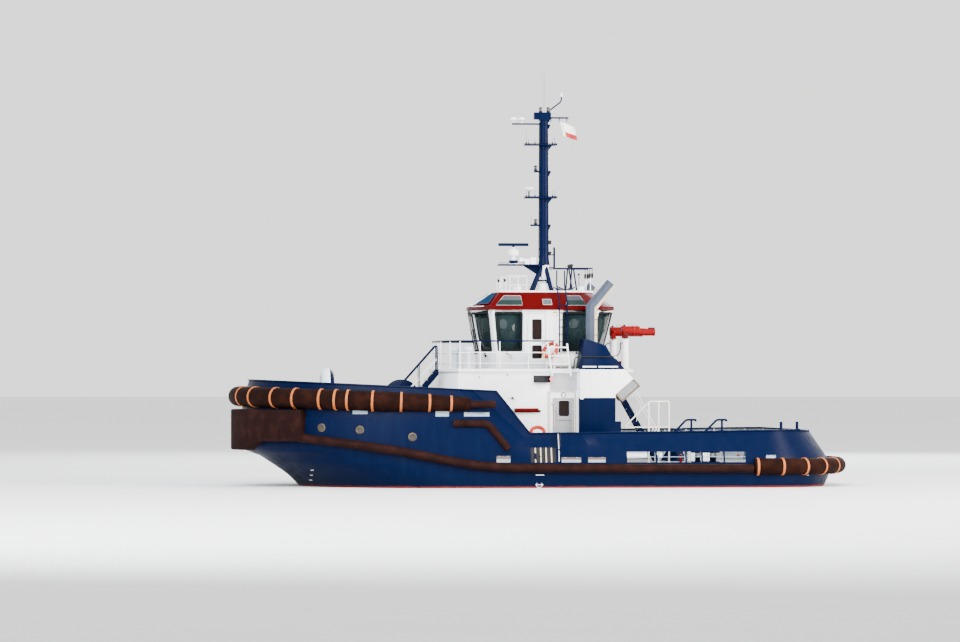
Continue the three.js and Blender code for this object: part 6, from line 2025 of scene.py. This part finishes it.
def make_gun(side, s):
    y = s * MON_Y
    gun = Piece("monitor_barrel_skin_" + side, "monitor_gun_" + side)
    c = (MON_X, y, MON_Z)
    gun.lathe([(0.0, -0.14), (0.15, -0.14), (0.186, -0.128), (0.2, -0.10), (0.2, -0.02), (0.19, -0.01),
               (0.19, 0.28), (0.2, 0.29), (0.2, 0.35), (0.19, 0.36), (0.19, 0.53), (0.178, 0.575),
               (0.15, 0.59), (0.0, 0.59)], "signal", c, (-1, 0, 0), 40)
    gun.lathe([(0.12, 0.57), (0.152, 0.58), (0.155, 0.62), (0.150, 0.78), (0.142, 1.05), (0.139, 1.10),
               (0.146, 1.11), (0.146, 1.17), (0.135, 1.19), (0.10, 1.20), (0.09, 1.19), (0.08, 1.08),
               (0.0, 1.07)], "signal", (MON_X, y, MON_Z - 0.028), (-1, 0, -0.028), 36)
    gun.lathe([(0.0, -0.2147), (0.06, -0.2147), (0.06, 0.2147), (0.0, 0.2147)], "steel", c, (0, 1, 0), 28)
    gun.box(MON_X - 1.19, MON_X - 0.92, y - 0.022, y + 0.022, MON_Z + 0.07, MON_Z + 0.13, "black")
    gun.lathe([(0.045, 0.0), (0.045, 0.05), (0.03, 0.062), (0.0, 0.062)], "black",
              (MON_X + 0.02, y, MON_Z + 0.185), sides=20)
    bolt_ring(gun, (MON_X - 0.352, y, MON_Z), (-1, 0, 0), 0.193, 10, 0.006, "steel", 0.012)
    handle_run = ((0.12, 0.18), (0.15, 0.25), (0.48, 0.25), (0.52, 0.18))
    handle = [(MON_X - out, y, MON_Z + high) for out, high in handle_run]
    gun.tube(fillet(handle, 0.04), 0.012, "steel", 8)
    gun.done(replaces=("monitor_barrel_" + side,), slot="red_paint", bevel=0.003)


def make_raft(side, s):
    y, z = s * 2.96, BOAT_DECK + DECK_GAP
    raft = Piece("life_raft_skin_" + side)
    mid_z = BOAT_DECK + 0.36
    x0, x1 = -0.10, -1.18
    shell = [(0.0, 0.0), (0.20, 0.0), (0.27, 0.012), (0.295, 0.05), (0.302, 0.10), (0.302, 0.2),
             (0.308, 0.21), (0.308, 0.235), (0.302, 0.245), (0.302, 0.5), (0.309, 0.51), (0.309, 0.57),
             (0.302, 0.58)]
    length = x0 - x1
    shell += [(r, length - h) for r, h in reversed(shell[:-4])]
    raft.lathe(shell, "canister", (x0, y, mid_z), (-1, 0, 0), 44)
    for x in (-0.35, -0.64, -0.95):
        raft.ring((x, y, mid_z), (1, 0, 0), 0.305, 0.006, "black", 44, 6)
    for x in (-0.35, -0.95):
        cradle = [(y - 0.24, z), (y + 0.24, z)]
        for k in range(9):
            t = mix(0.72, -0.72, k / 8)
            cradle.append((y + 0.312 * math.sin(t), mid_z - 0.312 * math.cos(t)))
        raft.prism("yz", cradle, x - 0.03, x + 0.03, "white")
    for dy in (-0.2, 0.2):
        raft.box(-0.96, -0.34, y + dy - 0.025, y + dy + 0.025, z, z + 0.03, "white")
    raft.lathe([(0.0, 0.0), (0.022, 0.0), (0.03, 0.05), (0.03, 0.1), (0.0, 0.12)], "steel",
               (-0.64, y + s * 0.27, z + 0.04), sides=14)
    raft.box(-0.76, -0.52, y + s * 0.29, y + s * 0.304, mid_z - 0.02, mid_z + 0.1, "reflect")
    raft.done(replaces=("life_raft_" + side,), slot="raft_shell", bevel=0.003)


NOZZLE_R, PROP_R = 1.4, 1.09
# Each blade section: radius, chord, pitch in degrees
BLADE = [(0.17, 0.42, 58.0), (0.3, 0.52, 51.0), (0.48, 0.62, 42.0), (0.64, 0.71, 35.5),
         (0.80, 0.78, 30.0), (0.95, 0.81, 26.5), (1.04, 0.79, 24.0), (PROP_R, 0.68, 23.0)]


def make_thruster(side, s):
    """The leg and its pod, with the nozzle round the propeller."""
    y = s * THR_Y
    unit = Piece("thruster_skin_" + side, "thruster_unit_" + side)
    inner = PROP_R + 0.03
    foil = [(inner, -0.54), (inner + 0.02, -0.565), (inner + 0.06, -0.58), (inner + 0.14, -0.545),
            (NOZZLE_R - 0.06, -0.44), (NOZZLE_R - 0.012, -0.36), (NOZZLE_R, -0.26), (NOZZLE_R, 0.06),
            (NOZZLE_R - 0.02, 0.2), (NOZZLE_R - 0.07, 0.38), (NOZZLE_R - 0.11, 0.50),
            (inner + 0.08, 0.54), (inner + 0.04, 0.54), (inner + 0.012, 0.4), (inner, 0.24)]
    rings = [[(THR_X - 0.48 + h, y + r * sine, THR_Z + r * cosine) for r, h in foil] for cosine,
             sine in circle(72)]
    unit.loft(rings, "hull", closed=True)
    unit.lathe([(0.62, 0.0), (0.62, -0.10), (0.58, -0.13), (0.45, -0.14), (0.43, -0.2), (0.42, -0.29),
                (0.0, -0.3)][::-1], "hull", (THR_X, y, -1.6503), sides=48)
    bolt_ring(unit, (THR_X, y, -1.775), (0, 0, -1), 0.55, 16, 0.02, "steel")
    leg = [(THR_X + 0.09 + 0.335 * c, y + 0.15 * math.copysign(abs(d) ** 0.8, d)) for c, d in circle(24)]
    unit.prism("xy", leg, THR_Z + 0.12, -1.92, "hull")
    unit.lathe([(0.0, -0.26), (0.23, -0.26), (0.25, -0.24), (0.30, -0.14), (0.33, -0.04), (0.335, 0.1),
                (0.33, 0.24), (0.28, 0.38), (0.2, 0.49), (0.1, 0.55), (0.0, 0.56)], "hull",
               (THR_X, y, THR_Z), (1, 0, 0), 48)
    low = inner + 0.05
    strut_run = ((0.22, 0.22), (-0.15, 0.22), (-0.15, low), (-0.03, low))
    strut = [(THR_X + out, THR_Z - down) for out, down in strut_run]
    unit.prism("xz", strut, y - 0.035, y + 0.035, "hull")
    unit.done(replaces=("thruster_" + side,), slot="navy_paint", bevel=0.006, angle=40)


def make_propeller(side, s):
    y = s * THR_Y
    screw = Piece("propeller_skin_" + side, "screw_" + side)
    mid = THR_X - 0.48 - 0.03
    screw.lathe([(0.0, -0.52), (0.06, -0.51), (0.12, -0.47), (0.17, -0.38), (0.2, -0.28), (0.21, -0.1),
                 (0.215, 0.17), (0.2, 0.18), (0.0, 0.18)], "bronze", (mid, y, THR_Z), (1, 0, 0), 44)
    end = THR_X - mid - 0.2603
    screw.lathe([(0.0, 0.17), (0.12, 0.17), (0.12, end), (0.0, end)], "steel", (mid, y, THR_Z), (1, 0, 0),
                28)
    profile = [(-0.5, 0.0), (-0.46, 0.011), (-0.3, 0.024), (-0.05, 0.030), (0.2, 0.025), (0.42, 0.012),
               (0.5, 0.0), (0.42, -0.010), (0.2, -0.021), (-0.05, -0.026), (-0.3, -0.020),
               (-0.46, -0.009)]
    for k in range(4):
        a = k * math.pi / 2 + 0.4
        rings = []
        for radius, chord, pitch in BLADE:
            b = math.radians(pitch)
            thin = mix(1.0, 0.4, along(radius, 0.17, PROP_R))
            ring = []
            for c, t in profile:
                t *= thin
                across = c * chord * math.cos(b) - t * math.sin(b)
                axial = c * chord * math.sin(b) + t * math.cos(b)
                turn = a + across / radius
                ring.append(Vector((mid + axial, y + math.sin(turn) * radius,
                                    THR_Z + math.cos(turn) * radius)))
            rings.append(ring)
        screw.loft(rings, "bronze")
    screw.done(replaces=("propeller_" + side,), slot="bronze", angle=40)


# Radar

RADAR_X, RADAR_FOOT, RADAR_TOP = 0.89, 8.7503, 9.42


def make_radar():
    z = RADAR_FOOT
    house = Piece("radar_housing_skin")
    house.box(RADAR_X - 0.19, RADAR_X + 0.19, -0.17, 0.17, z, z + 0.03, "white")
    house.box(RADAR_X - 0.165, RADAR_X + 0.165, -0.145, 0.145, z + 0.03, z + 0.155, "navy")
    house.lathe([(0.11, 0.15), (0.09, 0.17), (0.09, 0.31), (0.12, 0.325), (0.185, 0.335), (0.205, 0.37),
                 (0.214, 0.44), (0.214, 0.47), (0.205, 0.53), (0.185, 0.565), (0.1, 0.60), (0.07, 0.605),
                 (0.058, 0.615), (0.058, RADAR_TOP - z), (0.0, RADAR_TOP - z)], "white", (RADAR_X, 0, z),
                sides=40)
    for dx in (-0.16, 0.16):
        for dy in (-0.14, 0.14):
            house.lathe([(0.014, 0.03), (0.014, 0.045), (0.008, 0.05)], "steel", (RADAR_X + dx, dy, z),
                        sides=6)
    cable = [(RADAR_X - out, 0, z + high) for out, high in ((0.17, 0.09), (0.3, 0.08), (0.6, 0.02))]
    house.tube(fillet(cable, 0.06), 0.014, "black", 8)
    house.done(replaces=("radar_housing",), slot="scanner_plastic", bevel=0.010)


def make_scanner():
    bar = Piece("radar_scanner_skin", "radar_bar")
    z = RADAR_TOP + JOINT_GAP
    bar.lathe([(0.0, 0.0), (0.048, 0.0), (0.05, 0.01), (0.05, 0.05), (0.0, 0.055)], "navy",
              (RADAR_X, 0, z), sides=28)
    section = [(-0.068, 0.05), (0.045, 0.05), (0.066, 0.075), (0.07, 0.11), (0.06, 0.15), (0.04, 0.168),
               (-0.068, 0.168)]
    rings = []
    for x, k in ((-0.6, 0.9), (-0.592, 0.98), (-0.57, 1.0), (0.57, 1.0), (0.592, 0.98), (0.6, 0.9)):
        rings.append([Vector((RADAR_X + x, v * k, z + 0.11 + (w - 0.11) * k)) for v, w in section])
    bar.loft(rings, "navy")
    bar.done(replaces=("radar_scanner",), slot="scanner_plastic", bevel=0.004)


# Hull fittings

PORTHOLES = [(8.82, 2.32), (7.38, 2.24), (5.38, 1.97)]


def on_shell(x, z, push=0.0):
    """A point on the port shell, moved outwards by push."""
    y, out = side_at(x, z)
    return Vector((x, y, z)) + out * push


def shell_patch(x0, x1, z0, z1, push=0.0):
    """Four corners on the port shell, anticlockwise seen from outside."""
    return [on_shell(x, z, push) for x, z in ((x1, z0), (x0, z0), (x0, z1), (x1, z1))]


def make_portholes():
    ports = Piece("portholes")
    rim = [(0.0, -0.02), (0.165, -0.02), (0.165, 0.014), (0.15, 0.022), (0.118, 0.022), (0.108, 0.008),
           (0.0, 0.008)]
    for x, z in PORTHOLES:
        out = side_at(x, z)[1]
        at = on_shell(x, z)
        ports.lathe(rim, "brass", at, out, 36)
        ports.lathe([(0.0, 0.004), (0.11, 0.004), (0.11, 0.011), (0.0, 0.012)], "deadlight", at, out, 30)
        bolt_ring(ports, at + out * 0.02, out, 0.137, 8, 0.010, "brass", 0.008)
    ports.mirror().done(slot="bronze")


def make_freeing_ports():
    flaps = Piece("freeing_port_flaps")
    for x0, x1, z0, z1 in PORTS:
        low = z0 < 1.1
        flaps.slab(shell_patch(x0 - 0.01, x1 + 0.01, z0 - 0.01, z1 + 0.01, -0.034), 0.008,
                   "louvre" if low else "flap")
        if low:
            flaps.slab(shell_patch(x0 + 0.01, x1 - 0.01, z0, mix(z0, z1, 0.5), -0.026), 0.008, "flap")
        for t in (0.2, 0.8):
            at = on_shell(mix(x0, x1, t), z1 - 0.02, -0.022)
            flaps.tube([at - Vector((0.05, 0, 0)), at + Vector((0.05, 0, 0))], 0.010, "steel", 8)
    flaps.mirror().done(slot="white_paint", bevel=0.002)
    slots = Piece("slot_rails")
    for x0, x1 in SLOT_SPANS:
        steps = max(2, round((x1 - x0) / 0.4))
        line = [on_shell(mix(x0 - 0.01, x1 + 0.01, i / steps), 1.19, -0.03) for i in range(steps + 1)]
        slots.tube(line, 0.011, "flap", 8)
    grille_fore = GRILLE_AFT + GRILLE_BARS * GRILLE_PITCH
    back = shell_patch(GRILLE_AFT + 0.01, grille_fore - 0.01, GRILLE_LOW - 0.01, GRILLE_HIGH + 0.01,
                       -0.034)
    slots.slab(back, 0.01, "black")
    for i in range(1, GRILLE_BARS):
        x = GRILLE_AFT + i * GRILLE_PITCH
        # Painted sunlight: the bars are pale yellowish, as if in the low sun.
        slots.bar(on_shell(x, GRILLE_LOW, 0.002), on_shell(x, GRILLE_HIGH, 0.002), 0.012, 0.045, "sunlit_cream",
                  up=(1, 0, 0))
    slots.mirror().done(slot="white_paint", bevel=0.002)


def make_hull_marks():
    """The load line's ring, and plain bars on the hull's side and ends."""
    marks = Piece("hull_marks")
    bars = [(-0.31, -0.28, 1.50, 2.12), (-0.31, -0.28, 1.02, 1.44), (0.30, 0.61, 0.49, 0.515),
            (0.33, 0.63, 0.12, 0.14)]
    bars += [(x - 0.05, x + 0.05, z, z + 0.02) for x in (9.1, -10.1) for z in (0.25, 0.45, 0.65)]
    for mark in bars:
        marks.slab(shell_patch(*mark, 0.004), 0.006, "white")
    y, out = side_at(0.48, 0.1)
    marks.ring((0.48, y + 0.001, 0.13), tuple(out), 0.11, 0.009, "white", 36, 6)
    marks.mirror().done(slot="white_paint")


def make_guards():
    """Line guards and short posts on the bulwark's top edge."""
    guards = Piece("line_guards")
    for x in (-5.5, -6.7):
        y = side_at(x, 2.14)[0] - 0.045
        top = 2.62
        deck_edge = sheer(x) - 0.03
        path = [(x + 0.64, y, deck_edge), (x + 0.20, y, top), (x - 0.17, y, top),
                (x - 0.17, y, top - 0.07)]
        guards.tube(fillet(path, 0.08), 0.042, "navy", 16)
        guards.tube([(x, y, deck_edge), (x, y, top)], 0.042, "navy", 16)
        guards.box(x - 0.09, x + 0.09, y - 0.08, y + 0.08, sheer(x) - 0.01, sheer(x) + 0.015, "navy")
    for x in (-9.05, -9.79):
        y = side_at(x, 2.24)[0] - 0.045
        guards.lathe([(0.058, 0.0), (0.058, 0.31), (0.066, 0.32), (0.066, 0.345), (0.05, 0.355),
                      (0.0, 0.356)], "navy", (x, y, 2.185), sides=28)
        guards.box(x - 0.11, x + 0.11, y - 0.085, y + 0.085, sheer(x) - 0.01, sheer(x) + 0.014, "navy")
    guards.done(slot="navy_paint", bevel=0.004)


def lifebuoy(piece, centre, axis, radius, bands=4):
    """A ring with reflective bands and its grab line."""
    turn, at = turn_to(axis), Vector(centre)
    piece.ring(centre, axis, radius, 0.072, "orange", 48, 14)
    for k in range(bands):
        middle = math.pi / 2 * k + 0.3
        angles = [middle + t for t in (-0.04, -0.02, 0.0, 0.02, 0.04)]
        arc = [at + turn @ Vector((radius * math.cos(a), radius * math.sin(a), 0)) for a in angles]
        piece.tube(arc, 0.0745, "reflect", 14)
    line = []
    for k in range(64):
        a = 2 * math.pi * k / 64
        r = radius + 0.078 - 0.02 * abs(math.cos(2 * (a - 0.3)))
        line.append(at + turn @ Vector((r * math.cos(a), r * math.sin(a), 0)))
    piece.tube(line, 0.006, "reflect", 6, closed=True)


def flood(piece, at, way, s):
    """A floodlight of radius s pointing along way, with its bracket behind."""
    axis = Vector(way).normalized()
    piece.lathe([(0.0, -s), (0.5 * s, -0.95 * s), (0.9 * s, -0.3 * s), (s, 0.4 * s),
                 (0.94 * s, 0.55 * s)], "black", at, axis, 20)
    piece.lathe([(0.0, 0.5 * s), (0.9 * s, 0.5 * s), (0.86 * s, 0.6 * s), (0.0, 0.64 * s)], "lens", at,
                axis, 20)


def shaded_recess_panel(piece, s):
    """A grey panel abaft the sidelight: painted shade standing in for a recess."""
    piece.slab(side_patch(s, -1.23, -0.17, 3.73, 4.465, HOUSE_HALF + 0.012), 0.01, "panel")


def sidelight(piece, s, look):
    """One navigation light and its shelf."""
    y = s * max(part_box("deckhouse")[1])
    piece.lathe([(0.0, -0.02), (0.052, -0.02), (0.055, 0.0), (0.05, 0.02), (0.0, 0.035)], look,
                (-0.07, y, 4.2), (0, s, 0), 24)
    shelf = (-0.06, s * (HOUSE_HALF + 0.085), 4.275)
    piece.lathe([(0.07, 0.0), (0.07, 0.012), (0.0, 0.012)], "black", shelf, sides=24)


def make_house_fittings():
    """Fittings on the deckhouse's sides; most are on the port side."""
    house = Piece("house_fittings")
    wall = HOUSE_HALF
    shaded_recess_panel(house, 1)
    house.tube([(0.30, wall + 0.1, 2.98), (1.24, wall + 0.1, 2.98)], 0.085, "red", 20)
    house.lathe([(0.03, 0.0), (0.045, 0.0), (0.045, 0.09), (0.0, 0.1)], "black",
                (0.30, wall + 0.09, 2.95), (-1, 0, 0), 16)
    for x in (0.42, 1.12):
        house.box(x - 0.02, x + 0.02, wall - 0.001, wall + 0.12, 2.89, 2.92, "white")
    house.tube([(-0.20, wall + 0.03, 1.0), (-0.20, wall + 0.03, 3.7)], 0.018, "white", 10)
    house.box(-0.2, 3.2, wall, wall + 0.03, 4.40, 4.425, "white")
    house.tube([(1.31, wall, 3.5), (1.31, wall + 0.1, 3.5)], 0.012, "black", 8)
    flood(house, (1.31, wall + 0.1, 3.44), (0, 0.3, -1), 0.06)
    for x, z in ((2.6, 4.28), (1.5, 4.36)):
        house.tube([(x, wall, z), (x, wall + 0.05, z)], 0.025, "black", 12)
    sidelight(house, 1, "lit_red")
    house.done(slot="white_paint", bevel=0.003)
    far = Piece("house_fittings_starboard")
    sidelight(far, -1, "green")
    shaded_recess_panel(far, -1)
    far.done(slot="white_paint", bevel=0.003)


def make_wheelhouse_lamps():
    lamps = Piece("wheelhouse_lamps")
    lamps.tube([(1.29, 2.14, 5.12), (1.29, 2.25, 5.12)], 0.016, "black", 8)
    flood(lamps, (1.29, 2.28, 5.10), (0.25, 1, -0.5), 0.075)
    lamps.tube([(2.08, 1.35, 5.1), (2.16, 1.5, 5.12)], 0.016, "black", 8)
    flood(lamps, (2.19, 1.52, 5.10), (1, 0.35, -0.4), 0.07)
    lamps.box(-0.54, -0.40, 2.39, 2.50, 6.79, 6.82, "black")
    lamps.lathe([(0.0, 0.0), (0.04, 0.0), (0.045, 0.05), (0.04, 0.1), (0.0, 0.1)], "lit_warm",
                (-0.47, 2.45, 6.69), sides=18)
    lamps.mirror().done(slot="dark_trim")


def make_lifebuoys():
    """The lifebuoys with their brackets, and one floating light."""
    buoys = Piece("lifebuoys")
    lifebuoy(buoys, (-0.20, 3.2, 5.32), (0.55, 0.62, 0.5), 0.30)
    buoys.tube(fillet([(-0.32, 3.12, 4.57), (-0.32, 3.12, 5.1), (-0.24, 3.14, 5.2)], 0.1), 0.02, "white",
               8)
    buoys.tube([(-0.06, 3.12, 4.57), (-0.06, 3.15, 5.3)], 0.02, "white", 8)
    buoys.lathe([(0.03, -0.13), (0.065, -0.1), (0.07, -0.03), (0.045, 0.0), (0.05, 0.05), (0.035, 0.12),
                 (0.0, 0.13)], "yellow", (0.06, 3.22, 5.16), (0.2, 0.1, 1), 18)
    buoys.tube([(0.06, 3.22, 5.05), (-0.06, 3.14, 5.02)], 0.012, "white", 6)
    lifebuoy(buoys, (0.46, 4.55, 2.15), (0.1, 0.75, 0.7), 0.25, 0)
    for x in (0.28, 0.64):
        buoys.tube([(x, 4.55, MAIN_DECK), (x, 4.55, 2.12)], 0.02, "white", 8)
    lifebuoy(buoys, (-0.20, -3.2, 5.32), (0.55, -0.62, 0.5), 0.30)
    buoys.tube([(-0.32, -3.12, 4.57), (-0.32, -3.12, 5.2)], 0.02, "white", 8)
    buoys.done(slot="raft_shell")


def make_boat_deck():
    side, well, casing_y, casing_x = 3.41, 0.45, 2.4597, -1.2897
    nose, nose_half, shoulder, edge_z = 4.06, 1.85, 3.43, 4.55
    port = [(shoulder, side), (casing_x, side), (casing_x, casing_y), (-3.56, casing_y), (-3.56, well),
            (-2.77, well)]
    outline = [(nose, -nose_half), (nose, nose_half), *port] + [(x, -y) for x, y in reversed(port)]
    deck = Piece("boat_deck_skin")
    deck.prism("xy", outline, 4.47, 4.565, "white")
    deck.prism("xy", outline, 4.565, BOAT_DECK, "deck")
    for s in (1, -1):
        edge = [(x, s * y, edge_z) for x, y in ((casing_x, side), (shoulder, side), (nose, nose_half))]
        for a, b in zip(edge, edge[1:]):
            deck.bar(a, b, 0.03, 0.09, "white")
        deck.lathe([(0.16, 0.0), (0.16, 0.02), (0.11, 0.03), (0.11, 0.68), (0.12, 0.70), (0.17, 0.73),
                    (0.178, 0.76), (0.175, 0.83), (0.15, 0.87), (0.10, 0.90), (0.0, 0.91)], "vent",
                   (2.95, s * 2.5, BOAT_DECK), sides=32)
        deck.lathe([(0.14, 0.0), (0.15, 0.01), (0.15, 0.03), (0.14, 0.04)], "vent",
                   (2.95, s * 2.5, BOAT_DECK + 0.66), sides=32)
    deck.bar((nose, -nose_half, edge_z), (nose, nose_half, edge_z), 0.03, 0.09, "white")
    deck.done(replaces=("boat_deck",), slot="white_paint", bevel=0.004)


def make_deck_boxes():
    """Lockers, a hydrant, a hose reel and small bitts on the decks."""
    gear = Piece("deck_lockers")
    foot = BOAT_DECK + 0.001
    gear.box(3.15, 3.95, -2.9, -2.2, FORE_DECK, FORE_DECK + 0.62, "white")
    gear.box(3.12, 3.98, -2.93, -2.17, FORE_DECK + 0.62, FORE_DECK + 0.66, "white")
    gear.box(-2.72, -2.2, 1.0, 1.9, foot, 5.1, "white")
    gear.box(-2.74, -2.18, 0.98, 1.92, 5.1, 5.13, "white")
    gear.box(-3.3, -2.85, 0.98, 1.46, foot, 4.9, "red")
    gear.lathe([(0.10, 0.0), (0.10, 0.015), (0.055, 0.02), (0.055, 0.26), (0.075, 0.27), (0.075, 0.3),
                (0.03, 0.33), (0.0, 0.335)], "signal", (-5.13, 4.55, MAIN_DECK), sides=20)
    gear.tube([(-5.13, 4.55, MAIN_DECK + 0.2), (-5.13, 4.66, MAIN_DECK + 0.2)], 0.035, "signal", 12)
    gear.box(-3.1, -2.76, -1.9, -1.2, MAIN_DECK, MAIN_DECK + 1.0, "white")
    gear.box(-3.12, -2.76, -1.93, -1.17, MAIN_DECK + 1.0, MAIN_DECK + 1.04, "white")
    gear.lathe([(0.0, 0.0), (0.3, 0.0), (0.3, 0.03), (0.13, 0.04), (0.13, 0.26), (0.3, 0.27), (0.3, 0.30),
                (0.0, 0.3)], "red", (-2.76, 1.6, 2.2), (-1, 0, 0), 32)
    for k in range(5):
        gear.ring((-2.83 - k * 0.043, 1.6, 2.2), (1, 0, 0), 0.22, 0.022, "reflect", 32, 8)
    for x, y in ((9.6, 0.9), (9.6, -0.9), (-10.3, 1.6), (-10.3, -1.6)):
        z = FORE_DECK if x > 0 else MAIN_DECK
        gear.box(x - 0.26, x + 0.26, y - 0.11, y + 0.11, z, z + 0.03, "navy")
        for dx in (-0.16, 0.16):
            gear.lathe([(0.075, 0.03), (0.07, 0.06), (0.07, 0.26), (0.08, 0.27), (0.08, 0.3),
                        (0.0, 0.31)], "navy", (x + dx, y, z), sides=24)
    gear.done(slot="white_paint", bevel=0.008)


# Camera, light and floor

CAMERA = Vector((21.01, 178.78, 4.2))
AIM = Vector((2.198, -0.231, 6.50))
LENS = 170.1
# Name, place, diameter, power and colour of each light; all look at one point
LIT = Vector((0, 0, 4))
LIGHTS = [
    ("low_sun", (-46, 36, 20), 30, 95000, (1.0, 0.88, 0.76)),
    ("sky_port", (24, 60, 40), 60, 130000, (0.92, 0.95, 1.0)),
    ("sky_starboard", (-20, -60, 40), 60, 70000, (0.92, 0.95, 1.0)),
]


def point(obj, at, towards):
    """Stands a camera or a light at a place and points it."""
    obj.location = at
    obj.rotation_mode = "QUATERNION"
    obj.rotation_quaternion = (towards - at).to_track_quat("-Z", "Y")


def make_camera():
    data = bpy.data.cameras.new("camera")
    data.lens = LENS
    data.clip_start, data.clip_end = 1.0, 3000.0
    camera = add_object("camera", data)
    point(camera, CAMERA, AIM)
    bpy.context.scene.camera = camera


def area_light(name, at, size, power, color):
    data = bpy.data.lights.new(name, "AREA")
    data.shape, data.size, data.energy, data.color = "DISK", size, power, color
    point(add_object(name, data), Vector(at), LIT)


def make_stage():
    floor = Piece("floor")
    floor.lathe([(0.0, -0.02), (900.0, -0.02), (900.0, 0.0), (0.0, 0.0)], "stage", sides=96)
    mesh = floor.bare_mesh()
    face_outwards(mesh)
    mesh.materials.append(LOOKS["stage"].mat)
    add_object("floor", mesh)
    for light in LIGHTS:
        area_light(*light)
    world = bpy.data.worlds.new("studio")
    bpy.context.scene.world = world
    world.use_nodes = True
    sky = world.node_tree.nodes["Background"]
    sky.inputs["Color"].default_value = (0.93, 0.93, 0.92, 1.0)
    sky.inputs["Strength"].default_value = 1.9


# Carried-over CAD nodes

DRESS = {
    "windows_fore": "glass", "windows_aft": "glass", "helm_console": "console", "wheelhouse": "white",
    "wheelhouse_roof": "roof", "hatch_coaming": "white", "hatch_lid": "white",
    "deckhouse_door_port": "door", "deckhouse_door_starboard": "door",
    "wheelhouse_door_port": "white", "wheelhouse_door_starboard": "white",
}


def dress_faces(node, looks, choose):
    """Dresses a CAD node with several looks, picked by each face's centre and normal."""
    obj = dress(node, looks[0])
    for look in looks[1:]:
        obj.data.materials.append(LOOKS[look].mat)
    for face in obj.data.polygons:
        face.material_index = choose(face.center, face.normal)


# A point on the casing's slanted underside and its outward direction, in x and z
LOUVRE_AT, LOUVRE_OUT = (-2.69, 3.60), (-0.651, -0.759)


def in_screen(centre, _):
    """The sidelight screens stand out from the deckhouse side."""
    return int(abs(centre.y) > 3.36 and -0.17 < centre.x < 0.49 and 4.05 < centre.z < 4.35)


def in_louvre(centre, _):
    """The louvre box stands out from the casing's slanted underside."""
    beyond = (centre.x - LOUVRE_AT[0]) * LOUVRE_OUT[0] + (centre.z - LOUVRE_AT[1]) * LOUVRE_OUT[1]
    return int(beyond > 0.03 and centre.x < -2.695 and centre.z > 3.3)


def dress_nodes():
    for node, look in DRESS.items():
        dress(node, look, 0.0 if node.startswith("windows") else 0.006)
    dress_faces("deckhouse", ["white", "black"], in_screen)
    for node in pair("funnel_casing"):
        dress_faces(node, ["casing", "louvre"], in_louvre)


make_camera()
make_stage()
dress_nodes()
make_hull()
make_bulwark()
make_cap()
make_stays()
fender_tube("bow_fender_skin", BOW_TUBE, BOW_RADIUS, tube_height, BOW_BANDS, "bow_fender", 2.0, 4.5,
            tube_size)
fender_tube("stern_fender_skin", STERN_TUBE, STERN_RADIUS, lambda x: 0.81, STERN_BANDS, "stern_fender",
            -0.7, 1.7)
make_tail()
make_block()
make_cabin_windows()
make_cabin_inside()
make_console()
make_chair()
make_skylights()
make_roof_rail()
make_gantry()
make_roof_gear()
make_mast()
make_mast_gear()
make_halyards()
make_flag()
make_radar()
make_scanner()
make_deck_rail()
make_fore_stair()
make_aft_stair()
make_aft_frame()
make_side_ladder()
make_roof_ladder()
make_winch_frame()
make_winch_drum()
make_staple()
make_bitts()
make_capstan()
make_towing_posts()
make_hatch()
make_portholes()
make_freeing_ports()
make_hull_marks()
make_guards()
make_house_fittings()
make_wheelhouse_lamps()
make_lifebuoys()
make_boat_deck()
make_deck_boxes()
for side, s in SIDES:
    make_side_fender(side, s)
    make_crank_fender(side, s)
    make_doors(side, s)
    make_exhaust(side, s)
    make_casing_trim(side, s)
    make_pedestal(side, s)
    make_swivel(side, s)
    make_gun(side, s)
    make_raft(side, s)
    make_thruster(side, s)
    make_propeller(side, s)
